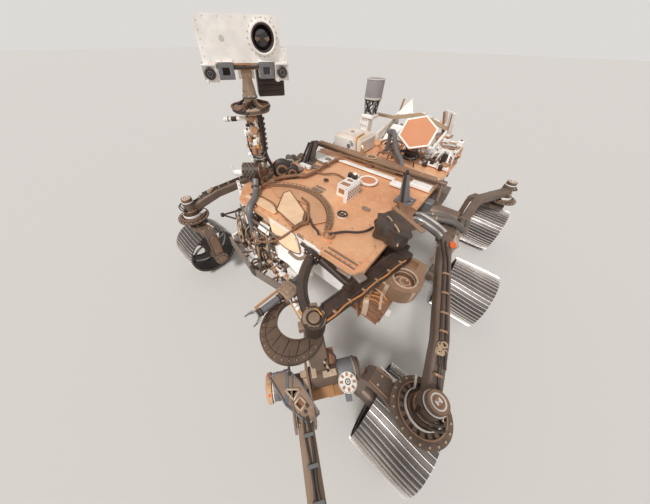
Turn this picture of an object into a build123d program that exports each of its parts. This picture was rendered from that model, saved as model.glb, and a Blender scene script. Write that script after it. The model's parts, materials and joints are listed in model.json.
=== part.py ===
from build123d import *
import math
import os

os.makedirs("parts", exist_ok=True)

# Frame: +X is the rover's left, -Y is forward, +Z is up, and the wheels stand on Z = 0.
# Stations along the rover are given from the middle axle.
mid_y = 346
front_y = mid_y - 1275
rear_y = mid_y + 1200
corner_x = 1130
middle_x = 1195
middle_drive_x = middle_x - 262

# Wheels: thin drums with cross bars, carried on bent flexure spokes
wheel_r = 262.5
wheel_w = 340
bar_height = 9
bar_width = 5
bar_count = 48
skin = 5
skin_r = wheel_r - bar_height
spoke_ring_r = skin_r - skin
spoke_ring_t = 7
spoke_count = 8
spoke_offset = 34
spoke_width = 30
hub_r = 62
drive_r = 56
drive_gap = 6

# Steering: an actuator over each corner wheel and a leg down its inboard side
steer_plate_z = 566
steer_plate_t = 44
steer_post_r = 50
steer_housing_z = 668
steer_cap_z = 880
housing_r = 52
housing_mid_z = 760
cap_r = 46
leg_x = 240
leg_t = 46
leg_top = steer_plate_z - wheel_r + 10
flange_r = 142
flange_t = 12
notch_ring_r = 112
notch_ring_t = 14
notch_count = 18

# Chassis and deck
belly_z = 700
deck_z = 1095
deck_t = 35
chassis_half_w = 560
chassis_front = mid_y - 1050
chassis_rear = mid_y + 740
deck_half_w = 600
deck_front = mid_y - 1105
deck_rear = mid_y + 765

payload_centre = (-300, mid_y - 430)
payload_pitch = (160, 120)
payload_hole_r = 3.3

carousel_centre = (770, mid_y - 785)
carousel_r = 72
carousel_z = 780
carousel_h = 120
port_depth = 80

# Suspension
rocker_pivot = (700, mid_y - 20, 930)
bogie_pivot = (862, mid_y + 341, 700)
tube_w = 78
tube_h = 88
tube_round = 22
bar_y = mid_y + 50
bar_z = 1158
bar_half = 617
pivot_r = 78

# Mast
mast_x = -600
mast_y = mid_y - 760
mast_r = 42
mast_foot_r = 78
mast_foot_z = 975
mast_top_z = 1600
head_pan = 58
tilt_z = 1815
head_bottom_z = 1878
head_height = 200
bar_bottom_z = 1850

# Arm: shoulder turn, shoulder lift, elbow, wrist and turret
shoulder_x = 530
shoulder_y = mid_y - 1378
shoulder_z = 860
guard_z = 800
lift_point = Vector(680, mid_y - 1490, 700)
root_shift = -115
elbow_shift = 82
arm_out = Vector(0.8, -0.6, 0)
arm_side = Vector(0.6, 0.8, 0)
arm_up = Vector(0, 0, 1)
upper_angle = 8
upper_length = 700
fore_angle = 92
fore_length = 640
wrist_angle = 130
guard_centre = (437, mid_y - 1455)
guard_r = 172
guard_hole = (425, mid_y - 1395)
guard_hole_r = 115

# High-gain antenna
dish_point = Vector(250, mid_y + 330, 1380)
dish_radius = 158
antenna_x = 201
antenna_y = mid_y + 504
dish_normal = Vector(0.19, -0.68, 0.71)
dish_side = Vector(0.963, 0.269, 0)
dish_setback = 58


def save(builder, name):
    """Label a finished piece and write it as its own file."""
    builder.part.label = name
    export_step(builder.part, f"parts/{name}.step")


def along(start, end, up=Vector(0, 0, 1)):
    """Plane at start whose normal points to end and whose Y is near up."""
    run = end - start
    side = up.cross(run)
    if side.length < 1:
        side = Vector(1, 0, 0)
    return Plane(origin=start, x_dir=side, z_dir=run)


def rod(start, end, radius):
    """Round bar between two points, in the part being built."""
    with Locations(Plane(origin=start, z_dir=end - start)):
        Cylinder(radius, (end - start).length, align=(Align.CENTER, Align.CENTER, Align.MIN))


def beam(start, end, start_size, end_size, corner=8):
    """Straight box beam with cut corners between two points, tapered from one end to the other."""
    near = along(start, end)
    sections = []
    for plane, (width, height) in (
        (near, start_size),
        (near.offset((end - start).length), end_size),
    ):
        with BuildSketch(plane) as outline:
            Rectangle(width, height)
            chamfer(outline.vertices(), corner)
        sections.append(outline.sketch)
    loft(sections, ruled=True)


def pipe(points, radius, bend):
    """Round pipe through points, with every corner rounded to the bend."""
    with BuildLine() as route:
        FilletPolyline(*points, radius=bend)
    with BuildSketch(Plane(route.line @ 0, z_dir=route.line % 0)) as bore:
        Circle(radius)
    sweep(bore.sketch, path=route.line)


def block(low, high, round_edge=0):
    """Upright box between two corners."""
    size = [b - a for a, b in zip(low, high)]
    middle = [(a + b) / 2 for a, b in zip(low, high)]
    with BuildSketch(Plane.XY.offset(low[2])) as footprint:
        with Locations((middle[0], middle[1])):
            if round_edge:
                RectangleRounded(size[0], size[1], round_edge)
            else:
                Rectangle(size[0], size[1])
    extrude(footprint.sketch, amount=size[2])


def arm_point(start, angle, length):
    """Point at a length from start, at an angle above level in the arm's own plane."""
    turn = math.radians(angle)
    return start + arm_out * (length * math.cos(turn)) + arm_up * (length * math.sin(turn))


# Wheels: name, centre x, centre y
wheels = [
    ("front_left", corner_x, front_y),
    ("front_right", -corner_x, front_y),
    ("middle_left", middle_x, mid_y),
    ("middle_right", -middle_x, mid_y),
    ("rear_left", corner_x, rear_y),
    ("rear_right", -corner_x, rear_y),
]

# One curved flexure spoke, drawn from the hub to the ring
with BuildSketch() as spoke:
    with BuildLine():
        outer = ThreePointArc((hub_r - 6, 6), (150, 46), (spoke_ring_r - 4, 12))
        inner = ThreePointArc((hub_r - 6, -1), (150, 38), (spoke_ring_r - 4, 2))
        Line(outer @ 0, inner @ 0)
        Line(outer @ 1, inner @ 1)
    make_face()

for name, x, y in wheels:
    side = 1 if x > 0 else -1
    axle = Plane(origin=(x, y, wheel_r), x_dir=(0, 1, 0), z_dir=(side, 0, 0))
    # Drum with its cross bars
    with BuildPart() as tyre:
        with BuildSketch(axle.offset(-wheel_w / 2)):
            RegularPolygon(skin_r, bar_count)
            with PolarLocations(skin_r + bar_height / 2 - 1, bar_count):
                Rectangle(bar_height + 2, bar_width)
            RegularPolygon(spoke_ring_r, bar_count, mode=Mode.SUBTRACT)
        extrude(amount=wheel_w)
    save(tyre, f"tyre_{name}")
    # Spokes, their outer ring and the hub
    with BuildPart() as spokes:
        with BuildSketch(axle.offset(spoke_offset)):
            RegularPolygon(spoke_ring_r, bar_count)
            Circle(spoke_ring_r - spoke_ring_t, mode=Mode.SUBTRACT)
            Circle(hub_r)
            with PolarLocations(0, spoke_count):
                add(spoke.sketch)
        extrude(amount=spoke_width)
        with BuildSketch(axle.offset(spoke_offset - 14)):
            Circle(hub_r - 6)
        extrude(amount=spoke_width + 34)
    save(spokes, f"spokes_{name}")

# Knuckles of the four corner wheels: top plate, leg and hub drive
corners = [wheel for wheel in wheels if "middle" not in wheel[0]]
for name, x, y in corners:
    side = 1 if x > 0 else -1
    inner_x = x - side * leg_x
    drive_end = x + side * (spoke_offset - 14 - drive_gap)
    with BuildPart() as knuckle:
        # Gooseneck from the steering flange over the tyre and down inboard of it
        with BuildSketch(Plane.XZ.offset(-y - 90)) as bend:
            with BuildLine():
                Polyline(
                    (x + side * 70, steer_plate_z + steer_plate_t),
                    (inner_x - side * 4, steer_plate_z + steer_plate_t),
                    (inner_x - side * leg_t, steer_plate_z - 4),
                    (inner_x - side * leg_t, wheel_r - 52),
                    (inner_x, wheel_r - 52),
                    (inner_x, steer_plate_z - 24),
                    (inner_x + side * 22, steer_plate_z),
                    (x + side * 70, steer_plate_z),
                    close=True,
                )
            make_face()
        extrude(bend.sketch, amount=180)
        with BuildSketch(Plane.XY.offset(wheel_r - 80)) as plan:
            with BuildLine():
                Polyline(
                    (x + side * 70, y - 62),
                    (x + side * 70, y + 62),
                    (x - side * 60, y + 88),
                    (x - side * 150, y + 56),
                    (inner_x - side * leg_t, y + 46),
                    (inner_x - side * leg_t, y - 46),
                    (x - side * 150, y - 56),
                    (x - side * 60, y - 88),
                    close=True,
                )
            make_face()
        extrude(plan.sketch, amount=steer_plate_z, mode=Mode.INTERSECT)
        # Hub drive through the leg, with its flat cap inboard
        rod(
            Vector(inner_x - side * leg_t, y, wheel_r),
            Vector(drive_end, y, wheel_r),
            drive_r,
        )
        rod(
            Vector(inner_x - side * (leg_t + 24), y, wheel_r),
            Vector(inner_x - side * leg_t, y, wheel_r),
            66,
        )
        # Post up into the steering housing
        with BuildSketch(Plane.XY.offset(steer_plate_z + steer_plate_t)) as post:
            with Locations((x, y)):
                Circle(steer_post_r)
        extrude(post.sketch, amount=steer_housing_z - steer_plate_z - steer_plate_t - 5)
    save(knuckle, f"knuckle_{name}")

# Steering actuators: bolted flange, notched ring, can and cap, seated on the suspension ends
with BuildPart() as actuators:
    for name, x, y in corners:
        with BuildSketch(Plane.XY.offset(steer_housing_z)) as base:
            with Locations((x, y)):
                Circle(flange_r)
        extrude(base.sketch, amount=flange_t)
        with BuildSketch(Plane.XY.offset(steer_housing_z + flange_t)) as ring:
            with Locations((x, y)):
                Circle(notch_ring_r)
                with PolarLocations((notch_ring_r + housing_r) / 2 + 14, notch_count):
                    Rectangle(24, 16, mode=Mode.SUBTRACT)
        extrude(ring.sketch, amount=notch_ring_t)
        with BuildSketch(Plane.XY.offset(steer_housing_z + flange_t + notch_ring_t)) as body:
            with Locations((x, y)):
                Circle(housing_r)
        extrude(body.sketch, amount=housing_mid_z + 70 - steer_housing_z - flange_t - notch_ring_t)
        with BuildSketch(Plane.XY.offset(housing_mid_z + 70)) as neck:
            with Locations((x, y)):
                Circle(cap_r)
        extrude(neck.sketch, amount=steer_cap_z - housing_mid_z - 70)
save(actuators, "steering_actuators")

# Middle wheel drives, one on each bogie
with BuildPart() as drives:
    for side in (1, -1):
        rod(
            Vector(side * middle_drive_x, mid_y, wheel_r),
            Vector(side * (middle_x + spoke_offset - 14 - drive_gap), mid_y, wheel_r),
            drive_r,
        )
save(drives, "middle_drives")

# Rockers: bent tubes from the pivot forward to the front steering and back to the bogie
for label, side in (("left", 1), ("right", -1)):
    with BuildPart() as rocker:
        with BuildLine() as front_run:
            FilletPolyline(
                (side * 790, rocker_pivot[1] + 10, 935),
                (side * 845, mid_y - 302, 948),
                (side * 915, mid_y - 560, 925),
                (side * 1060, mid_y - 1000, 850),
                (side * 1124, front_y + 46, 766),
                radius=140,
            )
        with BuildSketch(Plane(front_run.line @ 0, z_dir=front_run.line % 0, x_dir=(1, 0, 0))):
            RectangleRounded(tube_w, tube_h, tube_round)
        sweep()
        with BuildLine() as rear_run:
            FilletPolyline(
                (side * 795, rocker_pivot[1] - 30, 930),
                (side * 815, mid_y + 190, 850),
                (side * 826, bogie_pivot[1], bogie_pivot[2]),
                radius=120,
            )
        with BuildSketch(Plane(rear_run.line @ 0, z_dir=rear_run.line % 0, x_dir=(1, 0, 0))):
            RectangleRounded(72, tube_h, tube_round)
        sweep()
        # Sleeve where the front tube leaves the pivot housing
        sleeve = front_run.line @ 0.2
        sleeve_plane = Plane(sleeve, z_dir=front_run.line % 0.2)
        with BuildSketch(sleeve_plane) as collar:
            RectangleRounded(tube_h + 14, tube_w + 26, tube_round)
        extrude(collar.sketch, amount=46, both=True)
        hub_start = Vector(side * chassis_half_w, rocker_pivot[1], rocker_pivot[2])
        rod(hub_start, Vector(side * 850, rocker_pivot[1], rocker_pivot[2]), pivot_r)
        lug_x = sorted((side * 645, side * 680))
        lug_top = rocker_pivot[2] + pivot_r + 22
        block(
            (lug_x[0], rocker_pivot[1] - 12, rocker_pivot[2]),
            (lug_x[1], rocker_pivot[1] + 32, lug_top),
        )
        rod(
            Vector(side * 786, bogie_pivot[1], bogie_pivot[2]),
            Vector(side * 868, bogie_pivot[1], bogie_pivot[2]),
            62,
        )
        with Locations((side * corner_x, front_y, housing_mid_z)):
            Cylinder(housing_r, 140, mode=Mode.SUBTRACT)
    save(rocker, f"rocker_{label}")

# Bogies: forward arm down to the middle drive and rear arm to the rear steering
for label, side in (("left", 1), ("right", -1)):
    with BuildPart() as bogie:
        pivot = Vector(side * 905, bogie_pivot[1], bogie_pivot[2])
        rod(Vector(side * 869, bogie_pivot[1], bogie_pivot[2]), pivot + Vector(side * 40, 0, 0), 74)
        beam(
            pivot,
            Vector(side * 905, mid_y + 6, wheel_r + 30),
            (64, 110),
            (52, 84),
        )
        rod(
            Vector(side * 878, mid_y, wheel_r),
            Vector(side * middle_drive_x, mid_y, wheel_r),
            72,
        )
        with BuildLine() as rear_run:
            FilletPolyline(
                (side * 910, bogie_pivot[1], bogie_pivot[2]),
                (side * 930, mid_y + 720, 800),
                (side * 1122, rear_y - 46, 766),
                radius=160,
            )
        with BuildSketch(Plane(rear_run.line @ 0, z_dir=rear_run.line % 0, x_dir=(1, 0, 0))):
            RectangleRounded(76, 96, 20)
        sweep()
        with Locations((side * corner_x, rear_y, housing_mid_z)):
            Cylinder(housing_r, 140, mode=Mode.SUBTRACT)
    save(bogie, f"bogie_{label}")

# Differential bar over the deck: two flanges on a web, with its centre pivot and ring
with BuildPart() as differential:
    for level, thickness, inset in (
        (bar_z - 20, 14, 0),
        (bar_z - 6, 12, 12),
        (bar_z + 6, 14, 0),
    ):
        with BuildSketch(Plane.XY.offset(level)) as flange:
            with BuildLine():
                Polyline(
                    (-bar_half, bar_y - 28 + inset),
                    (-180, bar_y - 46 + inset),
                    (180, bar_y - 46 + inset),
                    (bar_half, bar_y - 28 + inset),
                    (bar_half, bar_y + 28 - inset),
                    (180, bar_y + 46 - inset),
                    (-180, bar_y + 46 - inset),
                    (-bar_half, bar_y + 28 - inset),
                    close=True,
                )
            make_face()
        extrude(flange.sketch, amount=thickness)
    with BuildSketch(Plane.XY.offset(bar_z + 20)) as ring:
        with Locations((0, bar_y)):
            Circle(52)
            Circle(34, mode=Mode.SUBTRACT)
    extrude(ring.sketch, amount=9)
    with BuildSketch(Plane.XY.offset(deck_z)) as pillar:
        with Locations((0, bar_y)):
            Circle(42)
    extrude(pillar.sketch, amount=bar_z - 20 - deck_z)
save(differential, "differential_bar")

with BuildPart() as links:
    for side in (1, -1):
        rod(
            Vector(side * 640, bar_y, bar_z),
            Vector(side * 662, rocker_pivot[1] + 10, rocker_pivot[2] + pivot_r + 23),
            14,
        )
        rod(Vector(side * bar_half, bar_y, bar_z), Vector(side * 662, bar_y, bar_z), 18)
save(links, "differential_links")

# Chassis: closed warm box with a sloped nose
with BuildPart() as chassis:
    with BuildSketch(Plane.YZ.offset(-chassis_half_w)):
        with BuildLine():
            Polyline(
                (chassis_front, deck_z - deck_t),
                (chassis_front, belly_z + 60),
                (chassis_front + 60, belly_z),
                (chassis_rear - 80, belly_z),
                (chassis_rear, belly_z + 80),
                (chassis_rear, deck_z - deck_t),
                close=True,
            )
        make_face()
    extrude(amount=2 * chassis_half_w)
    fillet(chassis.edges().filter_by(Axis.Z), 40)
    with Locations((mast_x, mast_y, mast_foot_z)):
        Cylinder(mast_foot_r, 400, align=(Align.CENTER, Align.CENTER, Align.MIN), mode=Mode.SUBTRACT)
save(chassis, "chassis")

# Deck plate with a recessed hexagonal cover and the large curved rail
with BuildPart() as deck:
    with BuildSketch(Plane.XY.offset(deck_z - deck_t)):
        with BuildLine():
            Polyline(
                (-deck_half_w, deck_front + 150),
                (-deck_half_w + 150, deck_front),
                (deck_half_w - 30, deck_front),
                (deck_half_w, deck_front + 60),
                (deck_half_w, deck_rear),
                (-deck_half_w, deck_rear),
                close=True,
            )
        make_face()
    extrude(amount=deck_t)
    # Recessed cover with five sides at the front, and the raised cover and strip beside it
    with BuildSketch(Plane.XY.offset(deck_z)) as recess:
        with BuildLine():
            Polyline(
                (-132, mid_y - 1010),
                (-158, mid_y - 850),
                (-20, mid_y - 842),
                (98, mid_y - 985),
                (76, mid_y - 1072),
                close=True,
            )
        make_face()
    extrude(recess.sketch, amount=-8, mode=Mode.SUBTRACT)
    with BuildSketch(Plane.XY.offset(deck_z)) as cover:
        with BuildLine():
            Polyline(
                (340, mid_y - 1040),
                (370, mid_y - 830),
                (440, mid_y - 720),
                (566, mid_y - 880),
                (566, mid_y - 1050),
                close=True,
            )
        make_face()
    extrude(cover.sketch, amount=7)
    with BuildSketch(Plane.XY.offset(deck_z)) as strip:
        with Locations((460, mid_y - 1082)):
            Rectangle(190, 30)
            with GridLocations(32, 1, 5, 1):
                Circle(7, mode=Mode.SUBTRACT)
    extrude(strip.sketch, amount=12)
    with BuildSketch(Plane.XY.offset(deck_z)) as cap:
        with Locations((300, mid_y - 985)):
            Circle(34)
    extrude(cap.sketch, amount=12)
    with Locations((mast_x, mast_y, mast_foot_z)):
        Cylinder(mast_foot_r, 400, align=(Align.CENTER, Align.CENTER, Align.MIN), mode=Mode.SUBTRACT)
    with Locations(Plane.XY.offset(deck_z)):
        with Locations(payload_centre):
            with GridLocations(payload_pitch[0], payload_pitch[1], 2, 2):
                Hole(payload_hole_r, 30)
save(deck, "deck")

with BuildPart() as rail:
    with BuildLine() as rail_path:
        ThreePointArc(
            (-443, mid_y - 895, deck_z + 12),
            (-90, mid_y - 690, deck_z + 12),
            (262, mid_y - 950, deck_z + 12),
        )
    with BuildSketch(Plane(rail_path.line @ 0, z_dir=rail_path.line % 0)):
        Rectangle(34, 24)
    sweep()
save(rail, "deck_rail")

# Front bay: open tray ahead of the chassis with its grey band along the edge
with BuildPart() as bay:
    block((-470, mid_y - 1240, belly_z - 10), (240, chassis_front, belly_z + 10))
    block((-470, mid_y - 1240, belly_z + 10), (-450, chassis_front, belly_z + 110))
    block((220, mid_y - 1240, belly_z + 10), (240, chassis_front, belly_z + 110))
save(bay, "front_bay")

with BuildPart() as band:
    for start, end in (
        (Vector(-500, mid_y - 1244, belly_z + 28), Vector(-98, mid_y - 1318, belly_z + 28)),
        (Vector(-84, mid_y - 1318, belly_z + 28), Vector(236, mid_y - 1268, belly_z + 28)),
    ):
        beam(start, end, (16, 84), (16, 84), 3)
    block((-112, mid_y - 1316, belly_z), (-70, mid_y - 1241, belly_z + 56))
    block((-480, mid_y - 1246, belly_z), (-440, mid_y - 1241, belly_z + 56))
    block((200, mid_y - 1272, belly_z), (240, mid_y - 1241, belly_z + 56))
save(band, "front_band")

# Carousel that takes bits in at a round port: bowed wall, cup and the stepped chuck in it
with BuildPart() as carousel:
    with BuildSketch(Plane.XY.offset(carousel_z)) as shell:
        with BuildLine():
            wall = ThreePointArc(
                (carousel_centre[0] - 60, carousel_centre[1] - 112),
                (carousel_centre[0] + 84, carousel_centre[1] - 62),
                (carousel_centre[0] + 96, carousel_centre[1] + 60),
            )
            Polyline(
                wall @ 1,
                (carousel_centre[0] + 70, carousel_centre[1] + 200),
                (chassis_half_w, carousel_centre[1] + 200),
                (chassis_half_w, carousel_centre[1] - 112),
                wall @ 0,
            )
        make_face()
    extrude(shell.sketch, amount=carousel_h)
    with BuildSketch(Plane.XY.offset(carousel_z + carousel_h)) as cup:
        with Locations(carousel_centre):
            Circle(carousel_r)
    extrude(cup.sketch, amount=-port_depth, mode=Mode.SUBTRACT)
    with BuildSketch(Plane.XY.offset(carousel_z + carousel_h)) as pocket:
        with Locations((carousel_centre[0] - 50, carousel_centre[1] + 140)):
            Rectangle(150, 70)
    extrude(pocket.sketch, amount=-40, mode=Mode.SUBTRACT)
    for radius, level, shift in ((52, 26, 0), (36, 38, 0), (13, 48, 16)):
        with BuildSketch(Plane.XY.offset(carousel_z + carousel_h - port_depth)) as chuck:
            with Locations((carousel_centre[0] + shift, carousel_centre[1] + shift)):
                Circle(radius)
        extrude(chuck.sketch, amount=level)
save(carousel, "bit_carousel")

# Sample bay below the carousel: open frame with slats
with BuildPart() as sample_bay:
    block((chassis_half_w, mid_y - 1010, 600), (760, mid_y - 700, 776))
    with BuildSketch(Plane.XY.offset(776)) as gaps:
        with Locations((668, mid_y - 952)):
            with GridLocations(1, 26, 1, 4):
                Rectangle(150, 14)
    extrude(gaps.sketch, amount=-120, mode=Mode.SUBTRACT)
    beam(Vector(600, mid_y - 1017, 776), Vector(640, mid_y - 1017, 600), (60, 12), (44, 12), 2)
save(sample_bay, "sample_bay")

# Blanket-wrapped box on the front left of the deck
with BuildPart() as wrapped:
    with BuildSketch(Plane.XY.offset(deck_z + 8)) as footprint:
        with BuildLine():
            Polyline(
                (450, mid_y - 712),
                (512, mid_y - 612),
                (700, mid_y - 680),
                (702, mid_y - 800),
                (655, mid_y - 842),
                (500, mid_y - 816),
                close=True,
            )
        make_face()
    extrude(footprint.sketch, amount=104)
    chamfer(wrapped.faces().sort_by(Axis.Z)[-1].edges(), 14)
    with BuildSketch(Plane.XY.offset(deck_z)) as foot:
        with Locations((560, mid_y - 718)):
            Rectangle(70, 150)
    extrude(foot.sketch, amount=8)
save(wrapped, "wrapped_box")

# Deck instruments that stand apart on the deck
with BuildPart() as instruments:
    block((52, mid_y - 560, deck_z), (150, mid_y - 420, deck_z + 92))
    block((152, mid_y - 612, deck_z), (182, mid_y - 440, deck_z + 104))
    block((150, mid_y - 520, deck_z + 30), (152, mid_y - 460, deck_z + 60))
    with BuildSketch(Plane.XY.offset(deck_z)) as drum:
        with Locations((150, mid_y - 245)):
            Circle(54)
    extrude(drum.sketch, amount=20)
    with BuildSketch(Plane.XY.offset(deck_z + 20)) as lid:
        with Locations((150, mid_y - 245)):
            Circle(76)
    extrude(lid.sketch, amount=10)
    with BuildSketch(Plane.XY.offset(deck_z)) as mark:
        with Locations((242, mid_y - 751)):
            Circle(34)
            Circle(24, mode=Mode.SUBTRACT)
    extrude(mark.sketch, amount=6)
save(instruments, "deck_instruments")

# Upright fan brackets on both sides of the deck
with BuildPart() as brackets:
    for side in (1, -1):
        foot_low, foot_high = sorted((side * 430, side * 556))
        block((foot_low, mid_y - 356, deck_z), (foot_high, mid_y - 232, deck_z + 16))
        for step in (0, 1, 2):
            beam(
                Vector(side * (500 - 14 * step), mid_y - 330 + 36 * step, deck_z + 12),
                Vector(side * (444 - 10 * step), mid_y - 300 + 16 * step, deck_z + 200),
                (100, 9),
                (52, 9),
                2,
            )
save(brackets, "deck_brackets")

# Mast foot and column
view_side = Vector(0.76, 0.65, 0)
with BuildPart() as mast:
    with BuildSketch(Plane.XY.offset(mast_foot_z)) as foot:
        with Locations((mast_x, mast_y)):
            Circle(mast_foot_r)
    extrude(foot.sketch, amount=150)
    rod(Vector(mast_x, mast_y, deck_z + 30), Vector(mast_x, mast_y, mast_top_z), mast_r)
    for level in (1190, 1320, 1440, 1540):
        rod(Vector(mast_x, mast_y, level), Vector(mast_x, mast_y, level + 30), mast_r + 12)
save(mast, "mast_column")

# Deployment hinge beside the mast foot: drum, end disc and the cable drums behind it
hinge = Vector(mast_x, mast_y, deck_z + 112) + Vector(0.65, -0.76, 0) * 125
with BuildPart() as mast_hinge:
    rod(hinge - view_side * 110, hinge - view_side * 8, 58)
    rod(hinge - view_side * 8, hinge + view_side * 22, 66)
    block(
        (mast_x + 58, mast_y - 150, deck_z),
        (mast_x + 112, mast_y - 92, deck_z + 60),
    )
    for reach, radius in ((176, 72), (262, 50)):
        drum = Vector(mast_x, mast_y, deck_z + radius) + view_side * reach
        rod(drum - Vector(20, -17, 0), drum + Vector(20, -17, 0), radius)
save(mast_hinge, "mast_hinge")

# Two small wind booms on the column
with BuildPart() as booms:
    root_point = Vector(mast_x, mast_y, 1555) - view_side * (mast_r + 14)
    boom_tip = root_point - view_side * 128 + Vector(0, 0, -8)
    rod(root_point, boom_tip, 13)
    rod(boom_tip, boom_tip - view_side * 26, 16)
    low_root = hinge - view_side * 110 - Vector(0, 0, 18)
    spike = low_root - view_side * 74
    rod(low_root, spike, 22)
    rod(spike, spike - view_side * 18 + Vector(0, 0, 60), 6)
save(booms, "mast_booms")

# Pan drive, tapered neck and the tilt journal on top
look = Plane(
    origin=(mast_x, mast_y, 0),
    x_dir=(math.cos(math.radians(head_pan)), math.sin(math.radians(head_pan)), 0),
)
tilt_axis = look.x_dir
tilt_point = Vector(mast_x, mast_y, tilt_z)
with BuildPart() as neck:
    rod(Vector(mast_x, mast_y, mast_top_z + 3), Vector(mast_x, mast_y, mast_top_z + 34), 122)
    rod(Vector(mast_x, mast_y, mast_top_z + 34), Vector(mast_x, mast_y, mast_top_z + 122), 43)
    beam(
        Vector(mast_x, mast_y, mast_top_z + 122),
        Vector(mast_x, mast_y, tilt_z),
        (78, 62),
        (40, 44),
    )
    rod(tilt_point - tilt_axis * 32, tilt_point + tilt_axis * 32, 24)
save(neck, "mast_neck")

# Camera head, turned to one side: chamfered shell with a step, a ringed window and its rear door
look_front = Plane(
    origin=tilt_point + look.y_dir * -125, x_dir=tilt_axis, z_dir=look.y_dir * -1
)
head_low = head_bottom_z - tilt_z
with BuildPart() as head:
    with BuildSketch(look_front) as face:
        with BuildLine():
            Polyline(
                (-232, head_low),
                (244, head_low),
                (244, head_low + 68),
                (212, head_low + 68),
                (212, head_low + 176),
                (188, head_low + head_height),
                (-206, head_low + head_height),
                (-232, head_low + 176),
                close=True,
            )
        make_face()
    extrude(face.sketch, amount=-250)
    with BuildSketch(look_front) as ring:
        with Locations((112, head_low + 108)):
            Circle(70)
    extrude(ring.sketch, amount=14)
    with BuildSketch(look_front.offset(14)) as window:
        with Locations((112, head_low + 108)):
            Circle(56)
    extrude(window.sketch, amount=-44, mode=Mode.SUBTRACT)
save(head, "camera_head")

# Camera bar: two round and two square cameras, the hanging box and the tilt cheeks
with BuildPart() as bar:
    with BuildSketch(look.offset(bar_bottom_z)) as slab:
        with Locations((0, -30)):
            Rectangle(476, 90)
    extrude(slab.sketch, amount=head_bottom_z - bar_bottom_z)
    # Camera boxes: offset along the bar, width, height, round lens radius
    for offset, width, height, lens in (
        (-206, 74, 88, 27),
        (206, 74, 88, 27),
        (-116, 86, 74, 0),
        (116, 86, 74, 0),
    ):
        with BuildSketch(look.offset(bar_bottom_z - height + 30)) as case:
            with Locations((offset, -96)):
                Rectangle(width, 88)
        extrude(case.sketch, amount=height - 2)
        front = Plane(
            origin=tilt_point + look.x_dir * offset - look.y_dir * 140,
            x_dir=look.x_dir,
            z_dir=look.y_dir * -1,
        )
        with BuildSketch(front) as eye:
            with Locations((0, bar_bottom_z - tilt_z + 28 - height / 2)):
                if lens:
                    Circle(lens)
                else:
                    Rectangle(42, 36)
        if lens:
            extrude(eye.sketch, amount=16)
        else:
            extrude(eye.sketch, amount=-20, mode=Mode.SUBTRACT)
    with BuildSketch(look.offset(tilt_z - 120)) as hanging:
        with Locations((150, 18)):
            Rectangle(168, 96)
    extrude(hanging.sketch, amount=bar_bottom_z - tilt_z + 120)
    for end in (-1, 1):
        with BuildSketch(look.offset(tilt_z - 24)) as cheek:
            with Locations((end * 42, 0)):
                Rectangle(14, 50)
        extrude(cheek.sketch, amount=bar_bottom_z - tilt_z + 24)
save(bar, "camera_bar")

# Arm carrier: bowed strut and beams from the deck and chassis to the shoulder housing
seat = Vector(shoulder_x, shoulder_y, shoulder_z + 62)
with BuildPart() as carrier:
    with BuildLine() as bow:
        ThreePointArc(
            (296, chassis_front - 52, 1036),
            (326, chassis_front - 190, 965),
            (492, shoulder_y + 12, 925),
        )
    with BuildSketch(Plane(bow.line @ 0, z_dir=bow.line % 0, x_dir=(0, 0, 1))) as strut:
        Rectangle(62, 52)
        chamfer(strut.vertices(), 9)
    sweep(strut.sketch, path=bow.line)
    block((262, chassis_front - 82, 985), (334, chassis_front, 1054))
    beam(Vector(696, mid_y - 660, 965), seat, (96, 84), (78, 70))
    block((chassis_half_w, mid_y - 724, 918), (700, mid_y - 616, 1008))
    beam(
        Vector(330, chassis_front - 40, 1010),
        Vector(560, chassis_front - 52, 965),
        (46, 56),
        (34, 40),
    )
    block((536, chassis_front - 100, 900), (584, chassis_front, 985))
    beam(Vector(560, chassis_front - 96, 930), seat, (40, 40), (40, 40))
    rod(Vector(shoulder_x, shoulder_y, shoulder_z), Vector(shoulder_x, shoulder_y, 964), 62)
save(carrier, "arm_carrier")

# Restraint post at the front edge: box, tube and open claws
with BuildPart() as post:
    block((240, mid_y - 1240, 720), (252, mid_y - 1202, 868))
    block((240, mid_y - 1300, 864), (262, mid_y - 1202, 880))
    block((240, mid_y - 1372, 864), (336, mid_y - 1286, 908))
    rod(Vector(282, mid_y - 1362, 886), Vector(262, mid_y - 1540, 884), 20)
    for spread in (-1, 1):
        claw = Vector(262, mid_y - 1530, 884)
        tip = claw + Vector(38 * spread, -42, 2)
        beam(claw + Vector(18 * spread, 0, 0), tip, (12, 14), (8, 10), 2)
        beam(tip + Vector(0, 8, 0), tip + Vector(2 * spread, -22, 0), (9, 11), (5, 6), 1)
save(post, "restraint_post")

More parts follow.
